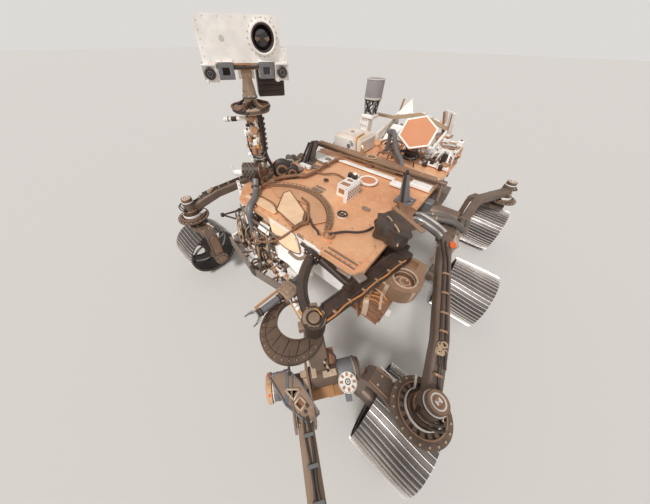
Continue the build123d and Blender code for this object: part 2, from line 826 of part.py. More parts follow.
# Shoulder: cable guard disc with an open middle, and the yoke down to the lift axis
with BuildPart() as shoulder:
    with BuildSketch(Plane.XY.offset(guard_z)) as crescent:
        with Locations(guard_centre):
            Circle(guard_r)
        with Locations(guard_hole):
            Circle(guard_hole_r, mode=Mode.SUBTRACT)
        with Locations((shoulder_x, shoulder_y)):
            Circle(56)
    extrude(crescent.sketch, amount=32)
    # Raised collar on the near side of the opening
    with BuildSketch(Plane.XY.offset(guard_z + 32)) as collar:
        with Locations(guard_hole):
            Circle(guard_hole_r + 6)
            Circle(guard_hole_r, mode=Mode.SUBTRACT)
            with Locations((0, 120)):
                Rectangle(300, 240, mode=Mode.SUBTRACT)
    extrude(collar.sketch, amount=20)
    # Shallow seams between the plates of the guard
    with BuildSketch(Plane.XY.offset(guard_z + 32)) as seams:
        with Locations(guard_centre):
            with PolarLocations(150, 5, start_angle=190, angular_range=150):
                Rectangle(90, 4)
    extrude(seams.sketch, amount=-4, mode=Mode.SUBTRACT)
    rod(Vector(shoulder_x, shoulder_y, guard_z), Vector(shoulder_x, shoulder_y, shoulder_z - 5), 56)
    beam(
        Vector(shoulder_x, shoulder_y, guard_z - 20) + arm_out * 10,
        lift_point + Vector(0, 0, 10),
        (96, 70),
        (104, 64),
    )
    rod(Vector(shoulder_x, shoulder_y, guard_z - 60), Vector(shoulder_x, shoulder_y, guard_z), 56)
    rod(lift_point - arm_side * 60, lift_point + arm_side * 80, 50)
    rod(lift_point + arm_side * 80, lift_point + arm_side * 186, 54)
    rod(lift_point + arm_side * 186, lift_point + arm_side * 204, 46)
save(shoulder, "shoulder_yoke")

# Upper arm: open box frame and motor can at the lift axis, then the tube to the elbow
root = lift_point + arm_side * root_shift
elbow = arm_point(root, upper_angle, upper_length)
wrist = arm_point(elbow, fore_angle, fore_length)
with BuildPart() as upper:
    for cheek in (-44, 44):
        beam(
            arm_point(root, upper_angle, -66) + arm_side * cheek,
            arm_point(root, upper_angle, 190) + arm_side * cheek,
            (12, 124),
            (12, 110),
            4,
        )
    rod(root - arm_side * 44, root + arm_side * 53, 34)
    rod(root - arm_side * 136, root - arm_side * 50, 60)
    rod(root - arm_side * 152, root - arm_side * 136, 66)
    with BuildSketch(Plane.XY.offset(lift_point.Z + 57)) as plate:
        with BuildLine():
            Polyline(
                (498, mid_y - 1678),
                (545, mid_y - 1592),
                (640, mid_y - 1592),
                (776, mid_y - 1620),
                (763, mid_y - 1679),
                (640, mid_y - 1700),
                close=True,
            )
        make_face()
        with BuildLine():
            Polyline(
                (600, mid_y - 1660),
                (646, mid_y - 1618),
                (652, mid_y - 1660),
                close=True,
            )
        make_face(mode=Mode.SUBTRACT)
        with Locations((686, mid_y - 1652)):
            Rectangle(30, 30, mode=Mode.SUBTRACT)
    extrude(plate.sketch, amount=10)
    beam(arm_point(root, upper_angle, 120), elbow, (70, 88), (64, 78), 16)
    rod(elbow - arm_side * 45, elbow + arm_side * 38, 60)
save(upper, "upper_arm")

# Forearm, beside the upper arm at the elbow
fore_side = arm_side * elbow_shift
with BuildPart() as forearm:
    rod(elbow + arm_side * 43, elbow + arm_side * 122, 58)
    beam(elbow + fore_side, wrist + fore_side, (70, 80), (62, 70), 18)
    rod(wrist + arm_side * 43, wrist + arm_side * 122, 48)
save(forearm, "forearm")

# Wrist link
wrist_end = arm_point(wrist, wrist_angle, 96)
with BuildPart() as wrist_link:
    rod(wrist - arm_side * 45, wrist + arm_side * 38, 48)
    beam(wrist, wrist_end, (70, 64), (84, 80))
save(wrist_link, "wrist_link")

# Turret: drum with a drill, an analyser box and a camera can around it
drum_start = arm_point(wrist, wrist_angle, 101)
drum_end = arm_point(wrist, wrist_angle, 240)
across = arm_point(Vector(0, 0, 0), wrist_angle - 90, 1)
with BuildPart() as turret:
    rod(drum_start, drum_end, 88)
save(turret, "turret_drum")

drum_middle = (drum_start + drum_end) * 0.5
with BuildPart() as drill:
    drill_axis = drum_middle + across * 134
    rod(drill_axis - arm_side * 150, drill_axis + arm_side * 110, 46)
    rod(drill_axis - arm_side * 210, drill_axis - arm_side * 150, 12)
save(drill, "turret_drill")

with BuildPart() as analyser:
    beam(drum_middle - arm_side * 89, drum_middle - arm_side * 190, (110, 110), (90, 90), 14)
save(analyser, "turret_analyser")

with BuildPart() as viewer:
    beam(drum_middle + arm_side * 89, drum_middle + arm_side * 180, (90, 90), (80, 80), 14)
save(viewer, "turret_viewer")

# Power source: finned cylinder tilted up behind the chassis
with BuildPart() as power:
    low = Vector(0, chassis_rear + 120, 930)
    high = Vector(0, mid_y + 1370, 1080)
    rod(low, high, 140)
    fins = Plane(origin=low, z_dir=high - low, x_dir=(1, 0, 0))
    with BuildSketch(fins.offset(20)):
        Circle(146)
        with PolarLocations(205, 8, start_angle=22.5):
            Rectangle(150, 10)
    extrude(amount=(high - low).length - 60)
    rod(Vector(0, chassis_rear, 900), Vector(0, chassis_rear + 150, 900), 80)
save(power, "power_source")

# Panels that take heat from the power source, one each side on two struts
with BuildPart() as panels:
    for side in (1, -1):
        beam(
            Vector(side * 330, deck_rear + 62, 960),
            Vector(side * 330, mid_y + 1360, 1110),
            (30, 420),
            (30, 400),
        )
        strut = sorted((side * 318, side * 342))
        block((strut[0], chassis_rear, 830), (strut[1], chassis_rear + 190, 880))
    # Cross beam over both panels
    rest = Vector(0, mid_y + 1150, 1300)
    beam(rest - Vector(344, 0, 44), rest + Vector(0, 0, 52), (60, 34), (76, 44), 6)
    beam(rest + Vector(0, 0, 52), rest + Vector(344, 0, -44), (76, 44), (60, 34), 6)
save(panels, "heat_panels")

# Relay antenna: can with a thin rim on four legs over a bracket
with BuildPart() as relay:
    centre = Vector(-420, mid_y + 690, 0)
    rod(centre + Vector(0, 0, 1510), centre + Vector(0, 0, 1684), 90)
    rod(centre + Vector(0, 0, 1684), centre + Vector(0, 0, 1690), 94)
    for lean_x, lean_y in ((1, 1), (1, -1), (-1, 1), (-1, -1)):
        rod(
            centre + Vector(44 * lean_x, 44 * lean_y, 1360),
            centre + Vector(56 * lean_x, 56 * lean_y, 1512),
            8,
        )
    block((-490, mid_y + 625, 1330), (-350, mid_y + 755, 1362))
    block((-478, mid_y + 640, deck_z), (-400, mid_y + 740, 1330))
save(relay, "relay_antenna")

# White service box at the right rear of the deck
with BuildPart() as service:
    block((-520, mid_y + 170, deck_z), (-200, mid_y + 480, deck_z + 150), 10)
save(service, "service_box")

# Rear frame on the left: open box frame with round cut-outs and a ring on it
with BuildPart() as frame:
    block((400, mid_y + 560, deck_z), (580, mid_y + 755, deck_z + 130))
    with BuildSketch(Plane.XZ.offset(-mid_y - 780)) as side_cuts:
        for hole_x in (445, 535):
            with Locations((hole_x, deck_z + 66)):
                Circle(32)
    extrude(side_cuts.sketch, amount=240, mode=Mode.SUBTRACT)
    with BuildSketch(Plane.XY.offset(deck_z + 130)) as well:
        with Locations((490, mid_y + 658)):
            Rectangle(150, 160)
    extrude(well.sketch, amount=-122, mode=Mode.SUBTRACT)
    with BuildSketch(Plane.XY.offset(deck_z + 130)) as ring:
        with Locations((490, mid_y + 658)):
            Circle(88)
            Circle(70, mode=Mode.SUBTRACT)
    extrude(ring.sketch, amount=12)
save(frame, "rear_frame")

# Cables clipped along both rockers
with BuildPart() as cables:
    for side in (1, -1):
        for shift in (-13, 13):
            pipe(
                (
                    (side * (845 + shift), mid_y - 400, 948 + tube_h / 2 + 3),
                    (side * (915 + shift), mid_y - 560, 925 + tube_h / 2 + 9),
                    (side * (1060 + shift), mid_y - 1000, 850 + tube_h / 2 + 9),
                    (side * (1104 + shift), mid_y - 1130, 828 + tube_h / 2),
                ),
                5,
                70,
            )
        # Hose loops from the chassis over the rocker pivot to the bogie
        for shift in (0, 38):
            pipe(
                (
                    (side * (chassis_half_w + 6), mid_y - 250 - shift, 1000),
                    (side * (690 + shift), mid_y - 222 - shift, 1040),
                    (side * (800 + shift), mid_y - 180 - shift, 1040),
                    (side * (900 + shift), mid_y - 120 - shift, 960),
                    (side * (905 + shift), mid_y + 20 - shift, 870),
                    (side * (890 + shift), mid_y + 190, 850),
                    (side * (886 + shift), mid_y + 289, 754),
                ),
                14,
                60,
            )
save(cables, "rocker_cables")

# Thick pipe from the mast foot down over the front edge
with BuildPart() as front_pipe:
    pipe(
        (
            (mast_x + 146, mast_y - 170, deck_z + 92),
            (mast_x + 190, mast_y - 216, deck_z + 25),
            (-344, mid_y - 1036, deck_z + 24.6),
            (-270, mid_y - 1152, deck_z + 24.6),
            (-262, mid_y - 1152, 880),
        ),
        24,
        60,
    )
save(front_pipe, "front_pipe")

# High-gain antenna: gimbal post, yoke and the hexagonal plate
with BuildPart() as gimbal:
    rod(Vector(antenna_x, antenna_y, deck_z), Vector(antenna_x, antenna_y, 1210), 56)
save(gimbal, "antenna_post")

dish_pivot = dish_point - dish_normal.normalized() * dish_setback
with BuildPart() as yoke:
    rod(Vector(antenna_x, antenna_y, 1215), Vector(antenna_x, antenna_y, 1256), 50)
    beam(Vector(antenna_x, antenna_y, 1250), dish_pivot, (46, 46), (36, 36))
    rod(dish_pivot - dish_side * 34, dish_pivot + dish_side * 34, 24)
save(yoke, "antenna_yoke")

dish_plane = Plane(origin=dish_point, z_dir=dish_normal)
with BuildPart() as dish:
    with BuildSketch(dish_plane):
        RegularPolygon(dish_radius, 6)
    extrude(amount=24)
    for end in (-1, 1):
        lug = dish_pivot + dish_side * (end * 48)
        rod(lug - dish_side * 8, lug + dish_side * 8, 22)
        beam(lug, lug + dish_normal.normalized() * (dish_setback + 2), (16, 30), (16, 40), 4)
save(dish, "antenna_plate")
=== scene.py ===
import json
import math

import bpy
import numpy as np
from mathutils import Matrix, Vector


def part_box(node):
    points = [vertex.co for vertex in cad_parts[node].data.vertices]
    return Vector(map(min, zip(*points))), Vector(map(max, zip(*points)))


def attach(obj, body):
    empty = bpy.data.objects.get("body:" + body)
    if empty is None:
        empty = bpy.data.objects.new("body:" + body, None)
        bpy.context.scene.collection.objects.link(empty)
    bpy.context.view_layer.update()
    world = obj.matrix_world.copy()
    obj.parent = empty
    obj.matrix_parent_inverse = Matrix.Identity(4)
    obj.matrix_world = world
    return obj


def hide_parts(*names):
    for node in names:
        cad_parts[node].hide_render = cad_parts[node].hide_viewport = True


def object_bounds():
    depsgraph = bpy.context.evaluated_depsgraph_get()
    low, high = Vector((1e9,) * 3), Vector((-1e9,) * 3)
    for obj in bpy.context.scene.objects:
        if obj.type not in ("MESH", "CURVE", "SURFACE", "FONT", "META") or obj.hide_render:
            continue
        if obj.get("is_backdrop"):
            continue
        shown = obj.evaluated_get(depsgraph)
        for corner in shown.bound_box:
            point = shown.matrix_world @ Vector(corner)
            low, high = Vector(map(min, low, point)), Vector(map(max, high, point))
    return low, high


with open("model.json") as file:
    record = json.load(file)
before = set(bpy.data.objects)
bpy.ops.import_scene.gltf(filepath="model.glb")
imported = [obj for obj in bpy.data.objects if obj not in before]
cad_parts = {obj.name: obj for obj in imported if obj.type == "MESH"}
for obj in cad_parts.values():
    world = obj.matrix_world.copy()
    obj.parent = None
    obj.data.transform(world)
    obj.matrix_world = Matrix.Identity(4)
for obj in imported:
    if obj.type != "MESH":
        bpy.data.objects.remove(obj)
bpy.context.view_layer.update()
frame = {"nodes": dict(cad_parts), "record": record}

# Frame: metres, +X is the rover's left, -Y forward, Z up. Stations are given from the middle axle.
tyre_low, tyre_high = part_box("tyre_middle_left")
MID_Y = (tyre_low[1] + tyre_high[1]) / 2
WHEEL_R = (tyre_high[2] - tyre_low[2]) / 2
WHEEL_W = tyre_high[0] - tyre_low[0]
DECK_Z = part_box("deck")[1][2]


def at(x, y, z):
    """A point of the rover, with y measured from the middle axle."""
    return np.array((x, MID_Y + y, z), float)


# Camera, at the end of the arm and looking back over the deck
CAMERA_AT = at(0.825, -1.756, 1.994)
CAMERA_YAW = -0.708
CAMERA_PITCH = -0.75
CAMERA_ROLL = 0.016
FOCAL_PIXELS = 210.2
FRAME_WIDTH = 650
SENSOR = 36.0
CENTRE_SHIFT = (0.0211, -0.0297)

# Stage: colours of the background and the floor, and each lamp's place, target, spread and power
SEEN_COLOUR = (0.72, 0.7, 0.68, 1)
LIT_COLOUR = (1.0, 0.97, 0.94, 1)
LIT_STRENGTH = 0.4
FLOOR_COLOUR = (0.65, 0.62, 0.59, 1)
FLOOR_REACH = 60.0
LAMPS = {
    "key": (at(0.1, -3.5, 5.1), at(0, 0, 0.8), 0.22, 2.35),
    "fill": (at(4.0, -3.2, 4.0), at(0, -0.3, 0.7), 0.9, 0.4),
}


def aim_camera():
    """Wide camera whose axes are worked out from yaw, pitch and roll."""
    ahead = np.array((
        math.sin(CAMERA_YAW) * math.cos(CAMERA_PITCH),
        math.cos(CAMERA_YAW) * math.cos(CAMERA_PITCH),
        math.sin(CAMERA_PITCH),
    ))
    right = np.array((math.cos(CAMERA_YAW), -math.sin(CAMERA_YAW), 0.0))
    up = np.cross(right, ahead)
    turned_right = math.cos(CAMERA_ROLL) * right + math.sin(CAMERA_ROLL) * up
    turned_up = -math.sin(CAMERA_ROLL) * right + math.cos(CAMERA_ROLL) * up
    data = bpy.data.cameras.new("camera")
    data.sensor_width = SENSOR
    data.lens = FOCAL_PIXELS / FRAME_WIDTH * SENSOR
    data.shift_x, data.shift_y = CENTRE_SHIFT
    data.clip_start = 0.02
    camera = bpy.data.objects.new("camera", data)
    placed = Matrix.Identity(4)
    for row in range(3):
        placed[row][0] = turned_right[row]
        placed[row][1] = turned_up[row]
        placed[row][2] = -ahead[row]
        placed[row][3] = CAMERA_AT[row]
    camera.matrix_world = placed
    bpy.context.scene.collection.objects.link(camera)
    bpy.context.scene.camera = camera


def soft_light(name, place, target, size, power):
    """Wide distant lamp that shines from place to target; size is the angle it spreads over."""
    data = bpy.data.lights.new(name, "SUN")
    data.angle = size
    data.energy = power
    lamp = bpy.data.objects.new(name, data)
    lamp.location = place
    toward = Matrix.Identity(3)
    back = np.array(place, float) - np.array(target, float)
    back /= np.linalg.norm(back)
    side = np.cross((0.0, 0.0, 1.0), back)
    side /= np.linalg.norm(side)
    over = np.cross(back, side)
    for row in range(3):
        toward[row][0], toward[row][1], toward[row][2] = side[row], over[row], back[row]
    lamp.rotation_euler = toward.to_euler()
    bpy.context.scene.collection.objects.link(lamp)


def light_stage():
    """Pale floor, pale surroundings and two soft lamps."""
    world = bpy.data.worlds.new("surroundings")
    world.use_nodes = True
    bpy.context.scene.world = world
    nodes, links = world.node_tree.nodes, world.node_tree.links
    nodes.clear()
    output = nodes.new("ShaderNodeOutputWorld")
    mix = nodes.new("ShaderNodeMixShader")
    seen = nodes.new("ShaderNodeBackground")
    lit = nodes.new("ShaderNodeBackground")
    path = nodes.new("ShaderNodeLightPath")
    either = nodes.new("ShaderNodeMath")
    either.operation = "MAXIMUM"
    seen.inputs["Color"].default_value = SEEN_COLOUR
    seen.inputs["Strength"].default_value = 1.0
    lit.inputs["Color"].default_value = LIT_COLOUR
    lit.inputs["Strength"].default_value = LIT_STRENGTH
    links.new(path.outputs["Is Camera Ray"], either.inputs[0])
    links.new(path.outputs["Is Glossy Ray"], either.inputs[1])
    links.new(either.outputs[0], mix.inputs[0])
    links.new(lit.outputs[0], mix.inputs[1])
    links.new(seen.outputs[0], mix.inputs[2])
    links.new(mix.outputs[0], output.inputs[0])
    for name, lamp in LAMPS.items():
        soft_light(name, *lamp)
    mesh = bpy.data.meshes.new("floor")
    corners = [(x * FLOOR_REACH, y * FLOOR_REACH, 0) for x, y in ((-1, -1), (1, -1), (1, 1), (-1, 1))]
    mesh.from_pydata(corners, [], [(0, 1, 2, 3)])
    floor = bpy.data.objects.new("floor", mesh)
    bpy.context.scene.collection.objects.link(floor)
    paint = bpy.data.materials.new("floor_pale")
    paint.use_nodes = True
    shader = paint.node_tree.nodes["Principled BSDF"]
    shader.inputs["Base Color"].default_value = FLOOR_COLOUR
    shader.inputs["Roughness"].default_value = 0.9
    mesh.materials.append(paint)
    floor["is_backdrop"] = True


# Node groups shared by the finishes


def new_group(name, inputs, outputs):
    """Empty shader group with its named sockets."""
    tree = bpy.data.node_groups.new(name, "ShaderNodeTree")
    for label, kind, value in inputs:
        socket = tree.interface.new_socket(label, in_out="INPUT", socket_type=kind)
        socket.default_value = value
    for label, kind in outputs:
        tree.interface.new_socket(label, in_out="OUTPUT", socket_type=kind)
    start = tree.nodes.new("NodeGroupInput")
    end = tree.nodes.new("NodeGroupOutput")
    return tree, start, end


def noise(tree, vector, scale, detail=4.0, rough=0.55):
    """Fractal noise on the given vector."""
    node = tree.nodes.new("ShaderNodeTexNoise")
    node.inputs["Scale"].default_value = scale
    node.inputs["Detail"].default_value = detail
    node.inputs["Roughness"].default_value = rough
    tree.links.new(vector, node.inputs["Vector"])
    return node


def remap(tree, value, low, high, to_low=0.0, to_high=1.0):
    """Clamped straight-line remap of a value."""
    node = tree.nodes.new("ShaderNodeMapRange")
    node.inputs["From Min"].default_value = low
    node.inputs["From Max"].default_value = high
    node.inputs["To Min"].default_value = to_low
    node.inputs["To Max"].default_value = to_high
    tree.links.new(value, node.inputs["Value"])
    return node.outputs["Result"]


def maths(tree, kind, first, second):
    """One arithmetic node on two sockets or numbers."""
    node = tree.nodes.new("ShaderNodeMath")
    node.operation = kind
    for slot_number, value in enumerate((first, second)):
        if isinstance(value, (int, float)):
            node.inputs[slot_number].default_value = value
        else:
            tree.links.new(value, node.inputs[slot_number])
    return node.outputs[0]


def blend_colour(tree, factor, first, second, kind="MIX"):
    """Colour mix of two sockets or colours."""
    node = tree.nodes.new("ShaderNodeMix")
    node.data_type = "RGBA"
    node.blend_type = kind
    if isinstance(factor, (int, float)):
        node.inputs[0].default_value = factor
    else:
        tree.links.new(factor, node.inputs[0])
    for place, value in ((6, first), (7, second)):
        if isinstance(value, tuple):
            node.inputs[place].default_value = (*value[:3], 1)
        else:
            tree.links.new(value, node.inputs[place])
    return node.outputs[2]


def dust_group():
    """Dust that settles in drifts, thickest on faces that look up: gives a colour and its mask."""
    tree, start, end = new_group(
        "settled_dust",
        [
            ("Color", "NodeSocketColor", (0.8, 0.8, 0.8, 1)),
            ("Dust", "NodeSocketColor", (0.55, 0.31, 0.19, 1)),
            ("Amount", "NodeSocketFloat", 0.5),
            ("Sides", "NodeSocketFloat", 0.25),
            ("Scale", "NodeSocketFloat", 9.0),
        ],
        [("Color", "NodeSocketColor"), ("Mask", "NodeSocketFloat")],
    )
    coords = tree.nodes.new("ShaderNodeTexCoord")
    geometry = tree.nodes.new("ShaderNodeNewGeometry")
    split = tree.nodes.new("ShaderNodeSeparateXYZ")
    tree.links.new(geometry.outputs["Normal"], split.inputs[0])
    facing = remap(tree, split.outputs["Z"], -0.2, 0.9)
    level = maths(tree, "MULTIPLY", facing, start.outputs["Amount"])
    level = maths(tree, "MAXIMUM", level, maths(tree, "MULTIPLY", start.outputs["Sides"], 1.0))
    broad = noise(tree, coords.outputs["Object"], 3.0, 5.0, 0.6)
    tree.links.new(start.outputs["Scale"], broad.inputs["Scale"])
    fine = noise(tree, coords.outputs["Object"], 60.0, 3.0, 0.7)
    drift = remap(tree, broad.outputs["Fac"], 0.32, 0.68)
    speck = remap(tree, fine.outputs["Fac"], 0.35, 0.65, 0.75, 1.15)
    mask = maths(tree, "MULTIPLY", maths(tree, "MULTIPLY", drift, speck), level)
    mask = remap(tree, mask, 0.0, 1.0)
    mixed = blend_colour(tree, mask, start.outputs["Color"], start.outputs["Dust"])
    tree.links.new(mixed, end.inputs["Color"])
    tree.links.new(mask, end.inputs["Mask"])
    return tree


def stain_group():
    """Slow colour drift: the given colour goes lighter and darker in patches."""
    tree, start, end = new_group(
        "tone_drift",
        [
            ("Color", "NodeSocketColor", (0.8, 0.8, 0.8, 1)),
            ("Scale", "NodeSocketFloat", 6.0),
            ("Depth", "NodeSocketFloat", 0.25),
        ],
        [("Color", "NodeSocketColor"), ("Value", "NodeSocketFloat")],
    )
    coords = tree.nodes.new("ShaderNodeTexCoord")
    patches = noise(tree, coords.outputs["Object"], 6.0, 6.0, 0.62)
    tree.links.new(start.outputs["Scale"], patches.inputs["Scale"])
    value = remap(tree, patches.outputs["Fac"], 0.3, 0.7)
    darker = maths(tree, "SUBTRACT", 1.0, start.outputs["Depth"])
    lighter = maths(tree, "ADD", 1.0, maths(tree, "MULTIPLY", start.outputs["Depth"], 0.6))
    level = tree.nodes.new("ShaderNodeMix")
    level.data_type = "FLOAT"
    tree.links.new(value, level.inputs[0])
    tree.links.new(darker, level.inputs[2])
    tree.links.new(lighter, level.inputs[3])
    scaled = tree.nodes.new("ShaderNodeVectorMath")
    scaled.operation = "SCALE"
    tree.links.new(start.outputs["Color"], scaled.inputs[0])
    tree.links.new(level.outputs[0], scaled.inputs["Scale"])
    tree.links.new(scaled.outputs[0], end.inputs["Color"])
    tree.links.new(value, end.inputs["Value"])
    return tree


DUST = dust_group()
DRIFT = stain_group()
SOIL = (0.5, 0.27, 0.16)
PALE_SOIL = (0.66, 0.42, 0.28)
GRAIN_SCALE = 180.0
GRAIN_STRENGTH = 0.05
GRAIN_HEIGHT = 0.002


def finish_material(name, colour, rough, metal, dust, sides, drift=0.2, scale=7.0, soil=SOIL, coat=0.0):
    """Painted or bare surface: base colour with slow drift, settled dust and a fine grain in the relief."""
    material = bpy.data.materials.new(name)
    material.use_nodes = True
    tree = material.node_tree
    shader = tree.nodes["Principled BSDF"]
    tone = tree.nodes.new("ShaderNodeGroup")
    tone.node_tree = DRIFT
    tone.inputs["Color"].default_value = (*colour, 1)
    tone.inputs["Scale"].default_value = scale
    tone.inputs["Depth"].default_value = drift
    dusty = tree.nodes.new("ShaderNodeGroup")
    dusty.node_tree = DUST
    dusty.inputs["Dust"].default_value = (*soil, 1)
    dusty.inputs["Amount"].default_value = dust
    dusty.inputs["Sides"].default_value = sides
    dusty.inputs["Scale"].default_value = scale * 1.6
    tree.links.new(tone.outputs["Color"], dusty.inputs["Color"])
    tree.links.new(dusty.outputs["Color"], shader.inputs["Base Color"])
    tree.links.new(remap(tree, dusty.outputs["Mask"], 0.0, 1.0, rough, 0.92), shader.inputs["Roughness"])
    if metal:
        tree.links.new(
            remap(tree, dusty.outputs["Mask"], 0.0, 0.9, metal, 0.0), shader.inputs["Metallic"]
        )
    shader.inputs["Coat Weight"].default_value = coat
    coords = tree.nodes.new("ShaderNodeTexCoord")
    fine = noise(tree, coords.outputs["Object"], GRAIN_SCALE, 3.0, 0.6)
    relief = tree.nodes.new("ShaderNodeBump")
    relief.inputs["Strength"].default_value = GRAIN_STRENGTH
    relief.inputs["Distance"].default_value = GRAIN_HEIGHT
    tree.links.new(fine.outputs["Fac"], relief.inputs["Height"])
    tree.links.new(relief.outputs["Normal"], shader.inputs["Normal"])
    return material


# Each finish: colour, roughness, metal, dust on top, dust on the sides, and what departs from the usual
FINISHES = {
    "white_paint": ((0.93, 0.89, 0.84), 0.45, 0.0, 0.26, 0.06, dict(soil=PALE_SOIL)),
    "frame_white": ((0.93, 0.9, 0.85), 0.42, 0.0, 0.16, 0.05, dict(soil=PALE_SOIL)),
    # deck_coat: broad peach and darker copper patches, part settled dust and part painted sheen; the pale
    # patches stand for where the deck catches the light
    "deck_coat": ((0.98, 0.575, 0.325), 0.36, 0.35, 1.0, 0.35,
        dict(drift=0.16, scale=1.5, soil=(0.6, 0.25, 0.115), coat=0.15)),
    "cream_sheet": ((1.0, 0.7, 0.45), 0.36, 0.2, 0.3, 0.1, dict(soil=(0.78, 0.44, 0.25), coat=0.15)),
    "copper_sheet": ((0.74, 0.4, 0.215), 0.36, 0.3, 0.4, 0.1, dict(soil=(0.5, 0.25, 0.14), coat=0.2)),
    "amber_sheet": ((0.5, 0.25, 0.11), 0.4, 0.25, 0.25, 0.1),
    "copper_trim": ((0.46, 0.24, 0.13), 0.42, 0.4, 0.35, 0.15),
    "grey_tube": ((0.16, 0.112, 0.085), 0.42, 0.25, 0.22, 0.12, dict(soil=(0.33, 0.2, 0.13))),
    "grey_plate": ((0.235, 0.195, 0.165), 0.45, 0.3, 0.3, 0.12, dict(soil=(0.48, 0.27, 0.16))),
    "slate_grey": ((0.165, 0.17, 0.18), 0.45, 0.2, 0.12, 0.06),
    "dark_metal": ((0.04, 0.028, 0.022), 0.42, 0.3, 0.22, 0.1, dict(soil=(0.26, 0.13, 0.08))),
    "tan_metal": ((0.34, 0.205, 0.125), 0.45, 0.35, 0.25, 0.12),
    "bolt_steel": ((0.58, 0.46, 0.34), 0.35, 0.7, 0.15, 0.08),
    "wheel_aluminium": ((0.105, 0.092, 0.086), 0.36, 0.65, 0.22, 0.14, dict(soil=(0.15, 0.1, 0.07))),
    # bar_worn_and_glint: near white, part wear and part painted highlight for the glints along the tread
    # bars' edges
    "bar_worn_and_glint": ((0.88, 0.83, 0.78), 0.34, 0.7, 0.16, 0.08, dict(soil=(0.36, 0.24, 0.17))),
    "spoke_titanium": ((0.36, 0.33, 0.3), 0.38, 0.7, 0.25, 0.15),
    "black_blanket": ((0.034, 0.026, 0.022), 0.34, 0.0, 0.3, 0.22, dict(soil=(0.24, 0.12, 0.07))),
    "blanket_grey": ((0.52, 0.44, 0.36), 0.55, 0.0, 0.4, 0.25, dict(scale=16.0)),
    "cable_black": ((0.03, 0.024, 0.022), 0.45, 0.0, 0.2, 0.08, dict(soil=(0.28, 0.15, 0.09))),
    "cable_grey": ((0.14, 0.125, 0.115), 0.5, 0.0, 0.25, 0.12),
    "cable_brown": ((0.22, 0.105, 0.055), 0.45, 0.0, 0.35, 0.15),
    "cable_orange": ((0.58, 0.22, 0.06), 0.38, 0.0, 0.2, 0.08),
    "hose_grey": ((0.115, 0.1, 0.09), 0.5, 0.0, 0.25, 0.1, dict(soil=(0.28, 0.17, 0.11))),
    "wire_tan": ((0.52, 0.38, 0.25), 0.5, 0.0, 0.2, 0.1),
    "silver_wrap": ((0.62, 0.6, 0.58), 0.28, 0.8, 0.15, 0.05),
    "tape_gold": ((0.66, 0.36, 0.1), 0.3, 0.45, 0.12, 0.05),
    "tag_orange": ((0.85, 0.13, 0.02), 0.5, 0.0, 0.08, 0.03),
    "box_dusty": ((0.86, 0.84, 0.8), 0.5, 0.0, 1.0, 0.05,
        dict(drift=0.08, soil=(0.62, 0.4, 0.25), scale=2.0)),
    # wheel_inside_shade: near black, painted shade for the shadowed inside of the wheels, with dust over it
    "wheel_inside_shade": ((0.05, 0.045, 0.042), 0.5, 0.0, 0.25, 0.15, dict(soil=(0.16, 0.1, 0.07))),
    "guard_brown": ((0.115, 0.078, 0.055), 0.42, 0.25, 0.28, 0.12, dict(soil=(0.3, 0.15, 0.085))),
    "grey_brown": ((0.29, 0.205, 0.145), 0.45, 0.25, 0.3, 0.12, dict(soil=(0.46, 0.27, 0.16))),
    "brown_box": ((0.25, 0.115, 0.06), 0.5, 0.0, 0.25, 0.12),
    "pale_tan": ((0.56, 0.42, 0.3), 0.5, 0.1, 0.25, 0.12),
    "sand_dust": ((0.6, 0.38, 0.24), 0.7, 0.0, 0.35, 0.2),
    "lens_glass": ((0.01, 0.009, 0.012), 0.08, 0.0, 0.05, 0.02, dict(coat=0.6)),
    "fin_metal": ((0.62, 0.59, 0.54), 0.5, 0.0, 0.25, 0.12),
    "antenna_face": ((0.63, 0.265, 0.13), 0.65, 0.0, 0.15, 0.25,
        dict(drift=0.05, soil=(0.62, 0.26, 0.125))),
    "can_grey": ((0.34, 0.32, 0.32), 0.5, 0.2, 0.12, 0.06),
}
# The record's slots, with the scene's own finishes that go in each
MATERIALS = {name: finish_material(name, *row[:5], **dict(*row[5:])) for name, row in FINISHES.items()}
CLOSER_FINISH = {
    "steering_actuators": "grey_tube", "shoulder_yoke": "guard_brown", "upper_arm": "grey_brown",
    "sample_bay": "brown_box", "restraint_post": "slate_grey", "front_band": "grey_plate",
    "front_pipe": "slate_grey", "relay_antenna": "can_grey", "differential_bar": "tan_metal",
    "mast_neck": "pale_tan", "mast_column": "pale_tan", "deck_brackets": "slate_grey",
}


def dress_cad():
    """Gives every CAD node the finish that its slot names, or a closer one for that node."""
    for part in frame["record"]["subparts"]:
        node = frame["nodes"][part["node"]]
        finish = CLOSER_FINISH.get(part["node"], part["material_slot"])
        for slot_number in range(len(node.material_slots)):
            node.material_slots[slot_number].material = MATERIALS[finish]


# Shapes as arrays: a shape is its points and a list of face arrays


def unit(vector):
    """The vector, or each row of an array, at length one."""
    vector = np.asarray(vector, float)
    return vector / np.linalg.norm(vector, axis=-1, keepdims=True)


def axes_along(direction, up=(0.0, 0.0, 1.0)):
    """Rows side, over and ahead: ahead follows the direction and over stays near up."""
    ahead = unit(direction)
    if abs(float(ahead @ unit(up))) > 0.98:
        up = (0.0, 1.0, 0.0)
    side = unit(np.cross(up, ahead))
    return np.stack((side, np.cross(ahead, side), ahead))


def grid_faces(rows, columns, wrap_rows=False):
    """Quads between the points of a grid that closes round its columns, and round its rows if asked."""
    row, column = np.meshgrid(
        np.arange(rows if wrap_rows else rows - 1), np.arange(columns), indexing="ij"
    )
    below, right = (row + 1) % rows, (column + 1) % columns
    here, under = row * columns, below * columns
    return np.stack((here + column, here + right, under + right, under + column), -1).reshape(-1, 4)


def rings_shape(rings, closed=False):
    """Skin over rings of points (rows, columns, 3), capped at both ends unless they close on themselves."""
    rows, columns = rings.shape[:2]
    faces = [grid_faces(rows, columns, closed)]
    if not closed:
        faces.append(np.arange(columns)[::-1][None])
        faces.append((rows - 1) * columns + np.arange(columns)[None])
    return rings.reshape(-1, 3), faces


